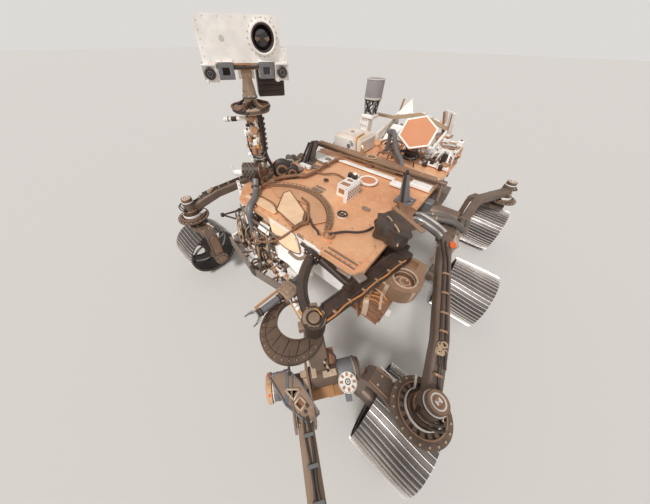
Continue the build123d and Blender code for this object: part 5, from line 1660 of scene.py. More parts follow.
for k in range(16):
    x0, y0 = draw.uniform(-0.2, 0.1), draw.uniform(0.24, 0.7)
    x1, y1 = x0 + draw.uniform(0.1, 0.34), y0 + draw.uniform(-0.14, 0.16)
    top = draw.uniform(0.02, 0.11)
    back_cables.append((
        line(DECK_AT, (
            (x0, y0, 0.0), (x0 + 0.02, y0 + 0.01, top * 0.7),
            ((x0 + x1) / 2, (y0 + y1) / 2 + draw.uniform(-0.04, 0.04), top), (x1 - 0.02, y1, top * 0.7),
            (x1, y1, 0.0),
        ), draw.uniform(0.005, 0.011)),
        k % 3,
    ))
for k, finish in enumerate(("cable_brown", "cable_black", "cable_orange")):
    piece(f"rear_harness_{finish}", [shape for shape, kind in back_cables if kind == k], finish)

# Cross beam with its bolts, and the plates and posts that stand on it
cross_bits = []
for left in (-1, 1):
    for share in (0.15, 0.4, 0.65, 0.9):
        spot = at(left * 0.344 * share, 1.15, 1.352 - 0.096 * share + 0.024)
        cross_bits.append(studs([spot + (0, -0.018, 0), spot + (0, 0.018, 0)], UP, 0.006, 0.006))
piece("cross_bolts", cross_bits, "bolt_steel")
piece("cross_beam_ribs", bars(MIDDLE, (
    (-0.344, 1.118, 1.258, 0, 1.11, 1.352), (0, 1.11, 1.352, 0.344, 1.118, 1.258),
    (-0.5, 1.034, 1.29, -0.335, 1.13, 1.268, 0.05, 0.03),
    (-0.5, 1.034, 1.29, -0.44, 0.77, 1.35, 0.036, 0.024),
), (0.01, 0.044)), "wire_tan")
white_rear = [
    prism(
        [(-0.1, 0.0), (0.11, 0.0), (0.02, 0.19)], at(-0.2, 1.165, 1.3),
        np.array(((1, 0, 0), (0, 0.35, 0.937), (0, -0.937, 0.35))), 0.008,
    ),
    prism(
        [(-0.2, -0.12), (0.16, -0.12), (0.16, 0.1), (-0.14, 0.1)], at(-0.13, 1.01, 1.13),
        np.array(((1, 0, 0), (0, 0.6, 0.8), (0, -0.8, 0.6))), 0.01,
    ),
    *blocks(MIDDLE, (
        (-0.3, 0.79, 1.06, 0.32, 0.83, 1.085), (0.06, 0.62, 1.094, 0.3, 0.74, 1.12, 0.005),
    ), 0.004),
]
for x0, x1, y0 in ((0.3, 0.262, 1.1), (0.335, 0.31, 1.06), (0.365, 0.352, 1.02)):
    white_rear.append(bar(at(x0, y0 + 0.1, 1.2), at(x1, y0, 1.44), 0.03, 0.012))
    white_rear.append(slab(at(x0 - 0.02, y0 + 0.075, 1.18), at(x0 + 0.02, y0 + 0.125, 1.215), 0.004))
piece("rear_plates", white_rear, "frame_white")
piece("rear_tan_plates", [
    *bars(MIDDLE, (
        (0.282, 1.175, 1.21, 0.24, 1.08, 1.43, 0.018, 0.02),
        (-0.33, 1.318, 1.29, -0.318, 1.34, 1.44, 0.016, 0.022),
        (0.35, 1.125, 1.2, 0.33, 1.03, 1.43, 0.01, 0.016),
    )),
    *blocks(MIDDLE, ((0.27, 1.0, 1.17, 0.4, 1.2, 1.2), (0.284, 1.0, 1.06, 0.322, 1.19, 1.172)), 0.005),
], "copper_trim")

# Perforated frame on the left rear of the deck: plates with holes, ring and small boxes
frame_at = at(0.49, 0.658, DECK_Z)
frame_bits = [
    *blocks(frame_at, (
        (-0.094, -0.102, 0.116, -0.06, 0.102, 0.14), (0.06, -0.102, 0.116, 0.094, 0.102, 0.14),
        (-0.3, 0.06, -0.001, -0.13, 0.11, 0.06, 0.005), (-0.14, -0.24, -0.001, 0.09, -0.16, 0.012),
        (0.04, 0.02, 0.139, 0.09, 0.08, 0.19, 0.005), (-0.09, 0.05, 0.139, -0.03, 0.09, 0.175, 0.005),
    ), 0.004),
    *bars(frame_at, (
        (-0.06, -0.15, 0.0, -0.02, -0.09, 0.12), (0.06, -0.16, 0.0, 0.04, -0.09, 0.12),
        (-0.2, -0.1, 0.006, -0.08, -0.02, 0.09, 0.04, 0.01),
        (-0.12, 0.3, 0.1, -0.02, 0.1, 0.15, 0.05, 0.012), (0.02, 0.34, 0.09, 0.06, 0.1, 0.15, 0.03, 0.012),
        (-0.14, 0.31, 0.06, 0.05, 0.35, 0.06, 0.02, 0.06),
        (-0.13, 0.31, 0.02, -0.12, 0.08, 0.02, 0.02, 0.03), (0.05, 0.35, 0.03, 0.06, 0.09, 0.03, 0.02, 0.03),
    ), (0.016, 0.014)),
]
piece("rear_frame_plates", frame_bits, "frame_white")
piece("rear_frame_holes", [
    stud_grid(frame_at, (-0.077, 0.077), np.linspace(-0.085, 0.085, 7), 0.1395, UP, 0.006, 0.002),
    stud_grid(frame_at, (-0.075, -0.0, 0.075), -0.0985, (0.02, 0.11), (0, -1, 0), 0.0065, 0.003),
    can(frame_at + (0.03, -0.014, 0.115), UP, 0.03, 0.02),
    can(frame_at + (0.065, 0.05, 0.188), UP, 0.012, 0.008),
    can(frame_at + (-0.06, 0.07, 0.173), UP, 0.014, 0.008),
    slab(frame_at + (-0.1, -0.22, 0.01), frame_at + (-0.04, -0.17, 0.05), 0.004),
], "dark_metal")
piece("rear_frame_trim", [
    ring(frame_at + (0, 0, 0.14), UP, 0.069, 0.0895, 0.008, 56),
    line(frame_at, (
        (0.098, -0.11, 0.1), (0.105, -0.02, 0.04), (0.1, 0.06, 0.09), (0.095, 0.09, 0.12),
    ), 0.008),
    slab(frame_at + (0.02, -0.24, 0.01), frame_at + (0.08, -0.17, 0.045), 0.004),
    can(frame_at + (0.094, -0.035, 0.085), (1, 0, 0), 0.02, 0.03),
], "copper_trim")

# Hexagonal antenna face with its pale rim, read from the plate's own corners
plate_mesh = frame["nodes"]["antenna_plate"]
count = len(plate_mesh.data.vertices)
spots = np.empty(count * 3, np.float32)
plate_mesh.data.vertices.foreach_get("co", spots)
turn4 = np.array(plate_mesh.matrix_world)
spots = spots.reshape(-1, 3) @ turn4[:3, :3].T + turn4[:3, 3]
dish_at = at(0.25, 0.33, 1.38)
dish_way = unit((0.19, -0.68, 0.71))
height = (spots - dish_at) @ dish_way
reach = np.linalg.norm(spots - dish_at - height[:, None] * dish_way, axis=-1)
top = float(height.max())
rim_spots = np.unique(np.round(spots[(height > top - 0.003) & (reach > 0.8 * reach.max())], 4), axis=0)
side_way, over_way, _ = axes_along(dish_way)
flat = np.stack(((rim_spots - dish_at) @ side_way, (rim_spots - dish_at) @ over_way), -1)
flat = flat[np.argsort(np.arctan2(flat[:, 1], flat[:, 0]))]
dish_axes = np.stack((side_way, over_way, dish_way))
face_at = dish_at + dish_way * (top - 0.0005)
piece("antenna_sheet", prism(flat * 0.93, face_at, dish_axes, 0.004, 0.001), "antenna_face", "antenna_dish")
hex_rim = []
for k in range(len(flat)):
    a, b = flat[k] * 0.965, flat[(k + 1) % len(flat)] * 0.965
    a3, b3 = (face_at + dish_way * 0.001 + spot[0] * side_way + spot[1] * over_way for spot in (a, b))
    hex_rim.append(bar(a3, b3, 0.014, 0.009, up=dish_way))
piece("antenna_rim", hex_rim, "frame_white", "antenna_dish")
back_ribs = [
    bar(
        dish_at - dish_way * 0.006 + flat[k][0] * 0.9 * side_way + flat[k][1] * 0.9 * over_way,
        dish_at - dish_way * 0.01, 0.012, 0.014, up=dish_way,
    )
    for k in range(len(flat))
]
back_ribs.append(can(dish_at - dish_way * 0.02, dish_way, 0.045, 0.022))
piece("antenna_back", back_ribs, "grey_plate", "antenna_dish")
yoke_at = at(0.201, 0.504, 0.0)
piece("yoke_trim", [
    *rings_at(yoke_at, UP, ((1.222, 0.049, 0.058, 0.012, 40), (1.246, 0.028, 0.05, 0.014, 40))),
    line(yoke_at, (
        (0.046, 0.0, 1.236), (0.078, -0.03, 1.262), (0.07, -0.07, 1.3), (0.04, -0.1, 1.325),
    ), 0.009),
    line(yoke_at, ((-0.046, 0.01, 1.236), (-0.076, -0.02, 1.27), (-0.03, -0.09, 1.315)), 0.008),
], "dark_metal", "antenna_turn")
piece("post_trim", [
    *rings_at(yoke_at, UP, ((1.096, 0.055, 0.074, 0.012, 40), (1.19, 0.0555, 0.062, 0.014, 40))),
    corrugated(yoke_at + UP * 1.115, UP, 0.0595, 0.07, 7, 0.003),
], "dark_metal")
piece("post_bolts", studs(on_circle(yoke_at + UP * 1.107, UP, 0.066, 12), UP, 0.0045, 0.005), "bolt_steel")
hook = smooth_path(points_from(MIDDLE, (
    (-0.045, 0.5, 1.09), (-0.048, 0.492, 1.22), (-0.04, 0.468, 1.298), (0.02, 0.405, 1.312),
    (0.093, 0.314, 1.24), (0.17, 0.225, 1.2), (0.246, 0.148, 1.18), (0.282, 0.118, 1.1),
)), 6)
piece("grey_hook", [
    carry(hook, flat_section(0.052, 0.034), up=(0.75, 0.65, 0.05)),
    *blocks(MIDDLE, (
        (-0.085, 0.465, 1.094, -0.005, 0.535, 1.11), (0.245, 0.08, 1.094, 0.325, 0.155, 1.112),
        (-0.075, 0.44, 1.285, -0.01, 0.495, 1.325, 0.006),
    ), 0.004),
], "slate_grey")
piece("hook_bolts", [
    stud_grid(MIDDLE, (-0.072, -0.018), (0.478, 0.522), 1.11, UP, 0.006, 0.006),
    stud_grid(MIDDLE, (-0.06, -0.026), (0.455, 0.48), 1.325, UP, 0.006, 0.006),
], "bolt_steel")

# Power source: root rings and bolts, and a pipe to it from each heat panel; heat panels: tubes
power_low, power_high = at(0, 0.86, 0.93), at(0, 1.37, 1.08)
power_way = unit(power_high - power_low)
piece("power_rings", [
    ring(power_low - power_way * 0.004, power_way, 0.09, 0.146, 0.02, 56),
    ring(power_high - power_way * 0.018, power_way, 0.06, 0.144, 0.022, 56),
    ring(at(0, 0.742, 0.9), (0, 1, 0), 0.079, 0.1, 0.02, 48),
    can(power_high + power_way * 0.002, power_way, 0.046, 0.02),
], "fin_metal")
piece("power_bolts", [
    studs(on_circle(power_high + power_way * 0.0035, power_way, 0.12, 16), power_way, 0.006, 0.006),
    studs(on_circle(at(0, 0.762, 0.9), (0, 1, 0), 0.09, 12), (0, 1, 0), 0.006, 0.006),
], "bolt_steel")
panel_tubes = []
for left in (1, -1):
    for k in range(5):
        low_z = 0.8 + 0.082 * k
        panel_tubes.append(line(MIDDLE, (
            (left * 0.3125, 0.85, low_z + 0.01), (left * 0.3115, 1.06, low_z + 0.066),
            (left * 0.3115, 1.3, low_z + 0.134),
        ), 0.006))
    panel_tubes.append(line(MIDDLE, (
        (left * 0.312, 0.85, 0.812), (left * 0.25, 0.78, 0.81), (left * 0.22, 0.745, 0.83),
    ), 0.009))
piece("panel_tubes", panel_tubes, "wire_tan")

# Chassis: seams, covers and harness on the sides, back and belly
side_white, side_dark, side_brown, side_bolts = [], [], [], []
for left in (1, -1):
    face_x = left * 0.56
    for y0, y1, z0, z1 in (
        (-0.98, -0.7, 0.78, 0.9), (-0.52, -0.16, 0.76, 0.98), (0.16, 0.42, 0.78, 1.02),
        (0.46, 0.66, 0.8, 1.0),
    ):
        if left > 0 and y0 < -0.6:
            continue
        low_x, high_x = sorted((face_x - left * 0.001, face_x + left * 0.01))
        side_white.append(slab((low_x, MID_Y + y0, z0), (high_x, MID_Y + y1, z1), 0.004))
        grid = np.array([
            (face_x + left * 0.01, MID_Y + y, z)
            for y in np.linspace(y0 + 0.02, y1 - 0.02, 4) for z in (z0 + 0.015, z1 - 0.015)
        ])
        side_bolts.append(studs(grid, (left, 0, 0), 0.005, 0.004))
    for k in range(5):
        z = 1.04 - 0.013 * k
        side_brown.append(cable([
            (face_x + left * 0.004, MID_Y - 0.55, z),
            (face_x + left * (0.018 + 0.004 * (k % 2)), MID_Y - 0.3, z - 0.006 * k),
            (face_x + left * 0.016, MID_Y + 0.1, z - 0.01 * k),
            (face_x + left * (0.02 - 0.003 * (k % 2)), MID_Y + 0.45, z - 0.004 * k),
            (face_x + left * 0.004, MID_Y + 0.7, z),
        ], 0.006 + 0.0012 * (k % 3)))
    for y in np.linspace(-0.48, 0.64, 8):
        low_x, high_x = sorted((face_x - left * 0.001, face_x + left * 0.03))
        side_dark.append(slab((low_x, MID_Y + y - 0.008, 0.965), (high_x, MID_Y + y + 0.008, 1.052), 0.003))
for x in (-0.42, -0.14, 0.14, 0.42):
    side_white.append(
        slab(at(x - 0.11, 0.738, 0.82), at(x + 0.11, 0.75, 1.02), 0.004)
        if abs(x) > 0.2
        else slab(at(x - 0.1, 0.738, 0.985), at(x + 0.1, 0.75, 1.045), 0.004),
    )
piece("side_covers", side_white, "frame_white")
piece("side_clamps", side_dark, "dark_metal")
piece("side_harness", side_brown, "cable_brown")
piece("side_bolts", side_bolts, "bolt_steel")
belly = [bar(at(x, -0.96, 0.6995), at(x, 0.64, 0.6995), 0.02, 0.006) for x in (-0.5, -0.3, 0.3, 0.5)]
belly += [bar(at(-0.5, y, 0.6995), at(0.5, y, 0.6995), 0.016, 0.005) for y in (-0.94, -0.4, 0.62)]
piece("belly_seams", belly, "grey_plate")
piece("belly_bolts", stud_grid(
    MIDDLE, (-0.5, -0.3, 0.3, 0.5), np.linspace(-0.9, 0.6, 11), 0.6968, (0, 0, -1), 0.006, 0.005,
), "bolt_steel")

# Clutter behind the beam on the left: cans, posts, tubes and clips
crowd = {finish: [] for finish in ("frame_white", "copper_trim", "dark_metal", "silver_wrap")}
draw = np.random.default_rng(53)
for k in range(46):
    x, y = draw.uniform(0.3, 0.585), draw.uniform(0.4, 0.735)
    if math.hypot(x - 0.201, y - 0.504) < 0.135:
        continue
    high = draw.uniform(0.03, 0.105) if y > 0.5 else draw.uniform(0.015, 0.05)
    kind = ("frame_white", "copper_trim", "frame_white", "dark_metal", "silver_wrap", "frame_white")[k % 6]
    foot_at = deck(x, y, -0.001)
    if k % 3 == 0:
        lean = (draw.uniform(-0.2, 0.2), draw.uniform(-0.2, 0.2), 1.0)
        crowd[kind].append(can(foot_at, lean, draw.uniform(0.01, 0.022), high, 0.003, 18))
    elif k % 3 == 1:
        lean = np.array((draw.uniform(-0.06, 0.06), draw.uniform(-0.06, 0.06), high))
        top = foot_at + lean
        run = [foot_at, foot_at + lean * 0.5 + (0.01, 0, 0.012), top, top + (0.02, 0.012, -high * 0.9)]
        crowd[kind].append(cable(run, draw.uniform(0.004, 0.008)))
    else:
        wide = draw.uniform(0.01, 0.026)
        low, top = foot_at + (-wide, -wide * 0.6, 0), foot_at + (wide, wide * 0.6, high * 0.8)
        crowd[kind].append(slab(low, top, 0.003, draw.uniform(-0.8, 0.8)))
pieces_by_finish("rear_clutter", crowd)

# Boxes on the chassis flanks by the pivots
flank_dark, flank_grey, flank_ribs = [], [], []
for left in (1, -1):
    for x0, x1, y0, y1, z0, z1, kind in (
        (0.556, 0.655, -0.09, -0.005, 0.93, 1.035, flank_grey),
        (0.556, 0.69, 0.15, 0.285, 0.925, 1.04, flank_dark),
        (0.556, 0.64, 0.32, 0.4, 0.96, 1.03, flank_grey),
    ):
        low_x, high_x = sorted((left * x0, left * x1))
        kind.append(slab(at(low_x, y0, z0), at(high_x, y1, z1), 0.006))
    for k in range(6):
        low_x, high_x = sorted((left * (0.56 + 0.004), left * 0.6945))
        low = at(low_x, 0.1455 + 0.0248 * k, 0.922)
        high = at(high_x, 0.1545 + 0.0248 * k, 1.0445)
        flank_ribs.append(slab(low, high, 0.002))
piece("flank_boxes", flank_grey, "slate_grey")
piece("flank_dark", flank_dark, "dark_metal")
piece("flank_ribs", flank_ribs, "grey_plate")

# Front: connectors, wire bundles and pale plates between the deck's edge and the grey band
def spread(count, low, high, seed):
    """Evenly seeded places in a box, one row for each, sorted along x."""
    draw = np.random.default_rng(seed)
    spots = np.array(low) + draw.random((count, 3)) * (np.array(high) - np.array(low))
    return spots[np.argsort(spots[:, 0])]


kinds = {finish: [] for finish in ("frame_white", "copper_trim", "pale_tan", "black_blanket", "tan_metal")}
names = ("copper_trim", "frame_white", "black_blanket", "pale_tan", "tan_metal")
for k, (x, y, z) in enumerate(spread(118, (-0.45, -1.226, 0.709), (0.225, -1.06, 0.709), 41)):
    rise = 0.04 + 1.55 * (y + 1.226) * (0.5 + 0.5 * ((k * 7) % 5) / 4)
    size = 0.011 + 0.004 * (k % 3)
    base = at(x, y, z)
    turn_way = 0.35 * ((k * 5) % 7 - 3) / 3
    kinds["tan_metal" if k % 2 else "black_blanket"].append(slab(
        base + (-size * 0.6, -size * 0.6, -0.001), base + (size * 0.6, size * 0.6, rise), 0.002, turn_way,
    ))
    head_at = base + UP * rise
    if k % 3 == 0:
        kinds[names[k % 5]].append(can(
            head_at - UP * 0.004, (0.2 * turn_way, -0.35, 1.0), size * 1.1, 0.032, 0.002, 16,
        ))
        kinds[names[(k + 2) % 5]].append(ring(
            head_at + UP * 0.008, (0.2 * turn_way, -0.35, 1.0), size * 1.05, size * 1.4, 0.008, 20,
        ))
    else:
        wide = size * (1.4 + 0.5 * (k % 2))
        kinds[names[k % 5]].append(slab(
            head_at + (-wide, -size * 1.2, -0.003), head_at + (wide, size * 1.2, 0.022), 0.003, turn_way,
        ))
        kinds[names[(k + 1) % 5]].append(slab(
            head_at + (-wide * 0.7, -size * 0.8, 0.021), head_at + (wide * 0.7, size * 0.8, 0.027), 0.002,
            turn_way,
        ))
pieces_by_finish("front_connectors", kinds)

runs = {finish: [] for finish in ("cable_grey", "cable_black", "wire_tan", "cable_brown")}
draw = np.random.default_rng(43)
for k in range(40):
    x0 = draw.uniform(-0.44, 0.13)
    x1 = x0 + draw.uniform(-0.16, 0.16)
    y0, y1 = draw.uniform(-1.225, -1.14), draw.uniform(-1.125, -1.105)
    z0, z1 = draw.uniform(0.72, 0.83), draw.uniform(0.84, 1.04)
    middle_spot = at((x0 + x1) / 2, (y0 + y1) / 2 - 0.022, max(z0, z1) - 0.02)
    run = [
        at(x0, y0, 0.709), at(x0, y0 - 0.004, z0 + 0.05), middle_spot, at(x1, y1 - 0.016, z1),
        at(x1, -1.044, z1 - 0.01),
    ]
    kind = ("cable_black", "wire_tan", "cable_brown", "cable_black", "wire_tan", "cable_grey")[k % 6]
    runs[kind].append(cable(run, draw.uniform(0.003, 0.0065), 7, 6))
for k in range(12):
    z = 0.76 + 0.026 * k
    y = -1.128 - 0.006 * (k % 3)
    sway = 0.012 * math.sin(k * 1.7)
    kind = ("cable_black", "cable_brown", "wire_tan", "cable_black", "cable_brown", "cable_grey")[k % 6]
    runs[kind].append(line(MIDDLE, (
        (-0.45, y + 0.03, z), (-0.3, y - 0.01, z + sway), (-0.1, y - 0.016, z - sway),
        (0.02, y - 0.012, z + sway), (0.12, y + 0.06, z),
    ), 0.0055, 7))
pieces_by_finish("front_wires", runs)

nose = np.array(((1, 0, 0), (0, 0.42, 0.907), (0, -0.907, 0.42)))
piece("nose_plates", [
    prism([
        (-0.06, -0.03), (0.06, -0.03), (0.05, 0.034), (-0.045, 0.03),
    ], at(-0.12, -1.15, 1.03), nose, 0.006),
    prism([
        (-0.055, -0.03), (0.05, -0.036), (0.02, 0.04), (-0.03, 0.04),
    ], at(-0.33, -1.122, 0.985), nose, 0.006),
    *blocks(MIDDLE, (
        (0.06, -1.074, 0.73, 0.25, -1.048, 1.06, 0.006), (-0.4, -1.066, 0.93, -0.16, -1.048, 1.05),
        (0.14, -1.205, 0.709, 0.23, -1.135, 0.86), (-0.25, -1.16, 0.709, -0.215, -1.085, 0.93, 0.004),
        (0.0, -1.17, 0.709, 0.03, -1.085, 0.95, 0.004),
    ), 0.005),
    *bars(MIDDLE, (
        (-0.784, -0.905, 1.04, -0.275, -1.17, 1.0, 0.026, 0.01), (-0.6, -1.003, 1.0, -0.54, -0.93, 1.04),
        (-0.4, -1.107, 0.992, -0.39, -1.05, 1.02), (-0.77, -0.912, 1.01, -0.55, -0.82, 1.02, 0.024, 0.01),
        (-0.7, -0.95, 1.03, -0.55, -0.9, 0.9, 0.02, 0.01),
        (-0.64, -0.98, 1.012, -0.5, -1.01, 0.8, 0.016, 0.008),
    ), (0.03, 0.01)),
], "frame_white")
piece("nose_bolts", studs([
    at(-0.76 + 0.055 * k, -0.917 - 0.0286 * k, 1.044 - 0.0043 * k)
    for k in range(9)
], UP, 0.006, 0.006), "bolt_steel")

# Grey band: rims, bolts and the struts that hold it; grey pipe and ring clamp
band = [(-0.5, -1.244), (-0.098, -1.318), (0.236, -1.268)]
band_rims, band_bolts, band_feet = [], [], []
for (x0, y0), (x1, y1) in zip(band[:-1], band[1:]):
    for z in (0.69, 0.768):
        band_rims.append(bar(at(x0, y0 - 0.004, z), at(x1, y1 - 0.004, z), 0.014, 0.006))
    for share in np.linspace(0.06, 0.94, 9):
        spot = at(x0 + (x1 - x0) * share, y0 + (y1 - y0) * share, 0.7695)
        band_bolts.append(studs([spot], UP, 0.0045, 0.005))
    for share in (0.12, 0.5, 0.86):
        x, y = x0 + (x1 - x0) * share, y0 + (y1 - y0) * share
        band_feet.append(bar(at(x, y + 0.004, 0.748), at(x * 0.95, -1.2, 0.712), 0.014, 0.01))
        band_feet.append(bar(at(x + 0.02, y + 0.004, 0.704), at(x * 0.92, -1.215, 0.7), 0.014, 0.01))
piece("band_rims", band_rims, "grey_plate")
piece("band_bolts", band_bolts, "bolt_steel")
piece("band_feet", band_feet, "tan_metal")
piece("band_joint", [
    slab(at(-0.125, -1.33, 0.698), at(-0.07, -1.295, 0.776), 0.004, 0.05),
    can(at(-0.098, -1.318, 0.772), UP, 0.013, 0.012),
    line(MIDDLE, (
        (-0.15, -1.3, 0.76), (-0.13, -1.27, 0.8), (-0.07, -1.265, 0.8), (-0.045, -1.3, 0.765),
    ), 0.006),
], "dark_metal")
clamp_at = at(0.287, -1.1, 1.048)
clamp_way = unit((0.03, -0.9, -0.42))
piece("ring_clamp", [
    *rings_at(clamp_at, clamp_way, ((0, 0.036, 0.058, 0.03, 40), (0.034, 0.034, 0.048, 0.012, 40))),
    *bars(clamp_at, (
        (0.056, 0.0, -0.02, 0.06, 0.06, -0.03), (-0.056, 0.0, -0.02, -0.06, 0.06, -0.03),
    ), (0.03, 0.04)),
    line(clamp_at, (
        (-0.05, -0.01, 0.01), (-0.075, -0.03, 0.04), (-0.03, -0.05, 0.062), (0.03, -0.045, 0.06),
        (0.05, -0.02, 0.02),
    ), 0.008),
], "black_blanket")
piece("clamp_bolts", studs(on_circle(
    clamp_at + clamp_way * 0.0295, clamp_way, 0.05, 10,
), clamp_way, 0.0045, 0.006), "bolt_steel")
pipe_clips = [(-0.437, -0.955, 1.16), (-0.398, -1.0, 1.125), (-0.344, -1.036, 0.96)]
piece("pipe_bands", [
    ring(
        at(x, y, z) - UP * 0.01, unit((0.05, -0.12, -1.0)) if z < 1.1 else unit((0.53, -0.55, -0.75)), 0.022,
        0.03, 0.02, 28,
    )
    for x, y, z in pipe_clips
], "dark_metal")

# Stowing post: cover on its block, end cap, claws; tan strip beside it; strut over the guard
block_low, block_high = at(0.24, -1.372, 0.864), at(0.336, -1.286, 0.908)
piece("block_cover", [
    slab(block_low + (-0.006, -0.006, 0.04), block_high + (0.006, 0.006, 0.006), 0.004),
    slab(block_low + (0.006, -0.004, -0.012), block_high + (-0.006, 0.004, 0.01), 0.004),
    slab(block_low + (0.02, 0.018, 0.048), block_high + (-0.02, -0.018, 0.016), 0.004),
    slab(block_low + (0.06, 0.07, 0.036), block_high + (0.03, 0.03, -0.008), 0.004),
], "grey_brown")
piece("block_bolts", [
    studs([
        block_high + (-x, -y, 0.006)
        for x in (0.008, 0.088) for y in (0.008, 0.043, 0.078)
    ], UP, 0.0045, 0.005),
    studs([block_high + (-x, -y, 0.0155) for x in (0.036, 0.06) for y in (0.03, 0.056)], UP, 0.0035, 0.004),
], "bolt_steel")
tube_a, tube_b = at(0.282, -1.362, 0.886), at(0.262, -1.54, 0.884)
tube_way = unit(tube_b - tube_a)
piece("post_bands", [
    ring(tube_a + tube_way * d, tube_way, 0.0195, 0.0245, 0.01, 32)
    for d in (0.014, 0.03, 0.15, 0.166)
], "dark_metal")
piece("post_claws", [
    can(tube_b - tube_way * 0.004, tube_way, 0.016, 0.01, 0.003, 24),
    *bars(tube_b, (
        (-0.02, 0.006, 0.0, -0.04, -0.01, 0.006),
        (-0.038, -0.006, 0.006, -0.042, -0.034, 0.004, 0.006, 0.008),
        (0.018, 0.006, 0.0, 0.04, -0.008, 0.006), (0.038, -0.004, 0.006, 0.04, -0.028, 0.004, 0.006, 0.008),
        (-0.016, 0.0, 0.008, 0.016, 0.0, 0.008, 0.012, 0.012),
    ), (0.008, 0.01)),
], "silver_wrap")
piece("post_strip", bars(MIDDLE, (
    (0.244, -1.36, 0.9, 0.226, -1.528, 0.89, 0.014, 0.006), (0.238, -1.366, 0.895, 0.268, -1.372, 0.89),
    (0.226, -1.52, 0.888, 0.256, -1.524, 0.886),
), (0.012, 0.008)), "amber_sheet")
strut_a, strut_b = at(0.33, -1.35, 0.89), at(0.512, -1.384, 0.866)
strut_way = unit(strut_b - strut_a)
piece("strut_white", [
    can(strut_a + strut_way * d, strut_way, r, h, 0.003, 24)
    for d, r, h in ((0.0, 0.016, 0.03), (0.034, 0.013, 0.026), (0.066, 0.017, 0.02), (0.15, 0.012, 0.034))
], "frame_white")
piece("strut_gold", [
    bar(strut_a, strut_b, 0.016, 0.016),
    ring(strut_a + strut_way * 0.03, strut_way, 0.01, 0.0175, 0.006, 24),
    corrugated(strut_a + strut_way * 0.09, strut_way, 0.0135, 0.046, 6, 0.002),
    bar(strut_a + (0.02, -0.022, -0.006), strut_b + (-0.04, -0.022, 0.0), 0.006, 0.01),
], "tape_gold")
piece("strut_dark", [
    bar(strut_a + (0.05, 0.02, -0.006), strut_b + (0.0, 0.016, -0.004), 0.01, 0.014),
    cable([
        strut_a + (0.0, 0.01, 0.01), strut_a + (0.03, -0.018, 0.012), strut_a + (0.07, 0.016, 0.016),
        strut_a + (0.11, -0.014, 0.01), strut_b + (0.0, 0.0, 0.012),
    ], 0.005),
    ring(strut_b - strut_way * 0.02, strut_way, 0.01, 0.02, 0.014, 24),
], "dark_metal")

# Carrier beams: cables on the edge and clips
beam_a, beam_b = at(0.696, -0.66, 0.965), at(0.53, -1.378, 0.922)
beam_way = unit(beam_b - beam_a)
beam_side = unit(np.cross(UP, beam_way))
beam_length = float(np.linalg.norm(beam_b - beam_a))


def on_beam(along_share, aside, rise):
    """Point by the long carrier beam: share of its length, sideways and above its middle line."""
    return beam_a + beam_way * beam_length * along_share + beam_side * aside + UP * rise


edge = [
    on_beam(share, 0.044 + 0.004 * math.sin(share * 23.0), 0.036 + 0.003 * math.cos(share * 17.0))
    for share in np.linspace(0.1, 0.94, 11)
]
piece("beam_orange", cable(edge, 0.0052, 8, 5), "cable_orange")
piece("beam_black", [
    cable([
        on_beam(share, 0.03 + 0.003 * math.sin(share * 19.0), 0.044)
        for share in np.linspace(0.05, 0.96, 9)
    ], 0.0055, 8, 5),
    cable([
        on_beam(share, -0.036, 0.042 + 0.003 * math.sin(share * 13.0))
        for share in np.linspace(0.16, 0.9, 8)
    ], 0.0065, 8, 5),
], "cable_black")
piece("beam_clips", [
    slab(
        on_beam(share, 0.037, 0.034) - (0.013, 0.006, 0.006),
        on_beam(share, 0.037, 0.034) + (0.013, 0.006, 0.016), 0.002, 0.2,
    )
    for share in (0.16, 0.3, 0.44, 0.58, 0.72, 0.86)
], "tan_metal")

# Guard disc around the shoulder: seams and bolts
guard_at, hole_at = at(0.437, -1.455, 0.832), at(0.425, -1.395, 0.832)
seams = []
for turn_way in np.linspace(-3.0, -0.25, 7):
    out = np.array((math.cos(turn_way), math.sin(turn_way), 0.0))
    inner_at = hole_at + out * 0.119
    outer_at = guard_at + out * 0.169
    seams.append(bar(inner_at, outer_at, 0.0045, 0.004))
arc_turn = np.linspace(-3.35, 0.1, 44)
arc_round = np.stack((np.cos(arc_turn), np.sin(arc_turn), np.zeros(44)), -1)
seams.append(carry(guard_at + 0.14 * arc_round, flat_section(0.0045, 0.004), up=(0, 0, 1)))
piece("guard_seams", seams, "dark_metal", "arm_shoulder")
piece("guard_bolts", studs(
    guard_at + 0.158 * arc_round[1::3], UP, 0.0035, 0.004,
), "bolt_steel", "arm_shoulder")

# Arm: shoulder fittings, motor rings, round target, open frame and dusty cap
ARM_OUT, ARM_SIDE = np.array((0.8, -0.6, 0.0)), np.array((0.6, 0.8, 0.0))
LIFT_AT = at(0.68, -1.49, 0.7)
ROOT_AT = at(0.611, -1.582, 0.7)
arm_axes = np.stack((ARM_OUT, ARM_SIDE, UP))


def arm_block(start, out, side, rise, size, bevel=0.003):
    """Block turned with the arm: its middle by out, side and rise from start, size in the same order."""
    middle_spot = start + out * ARM_OUT + side * ARM_SIDE + rise * UP
    return prism(flat_section(
        size[0], size[1], 0.08,
    ), middle_spot - UP * size[2] / 2, arm_axes, size[2], bevel)


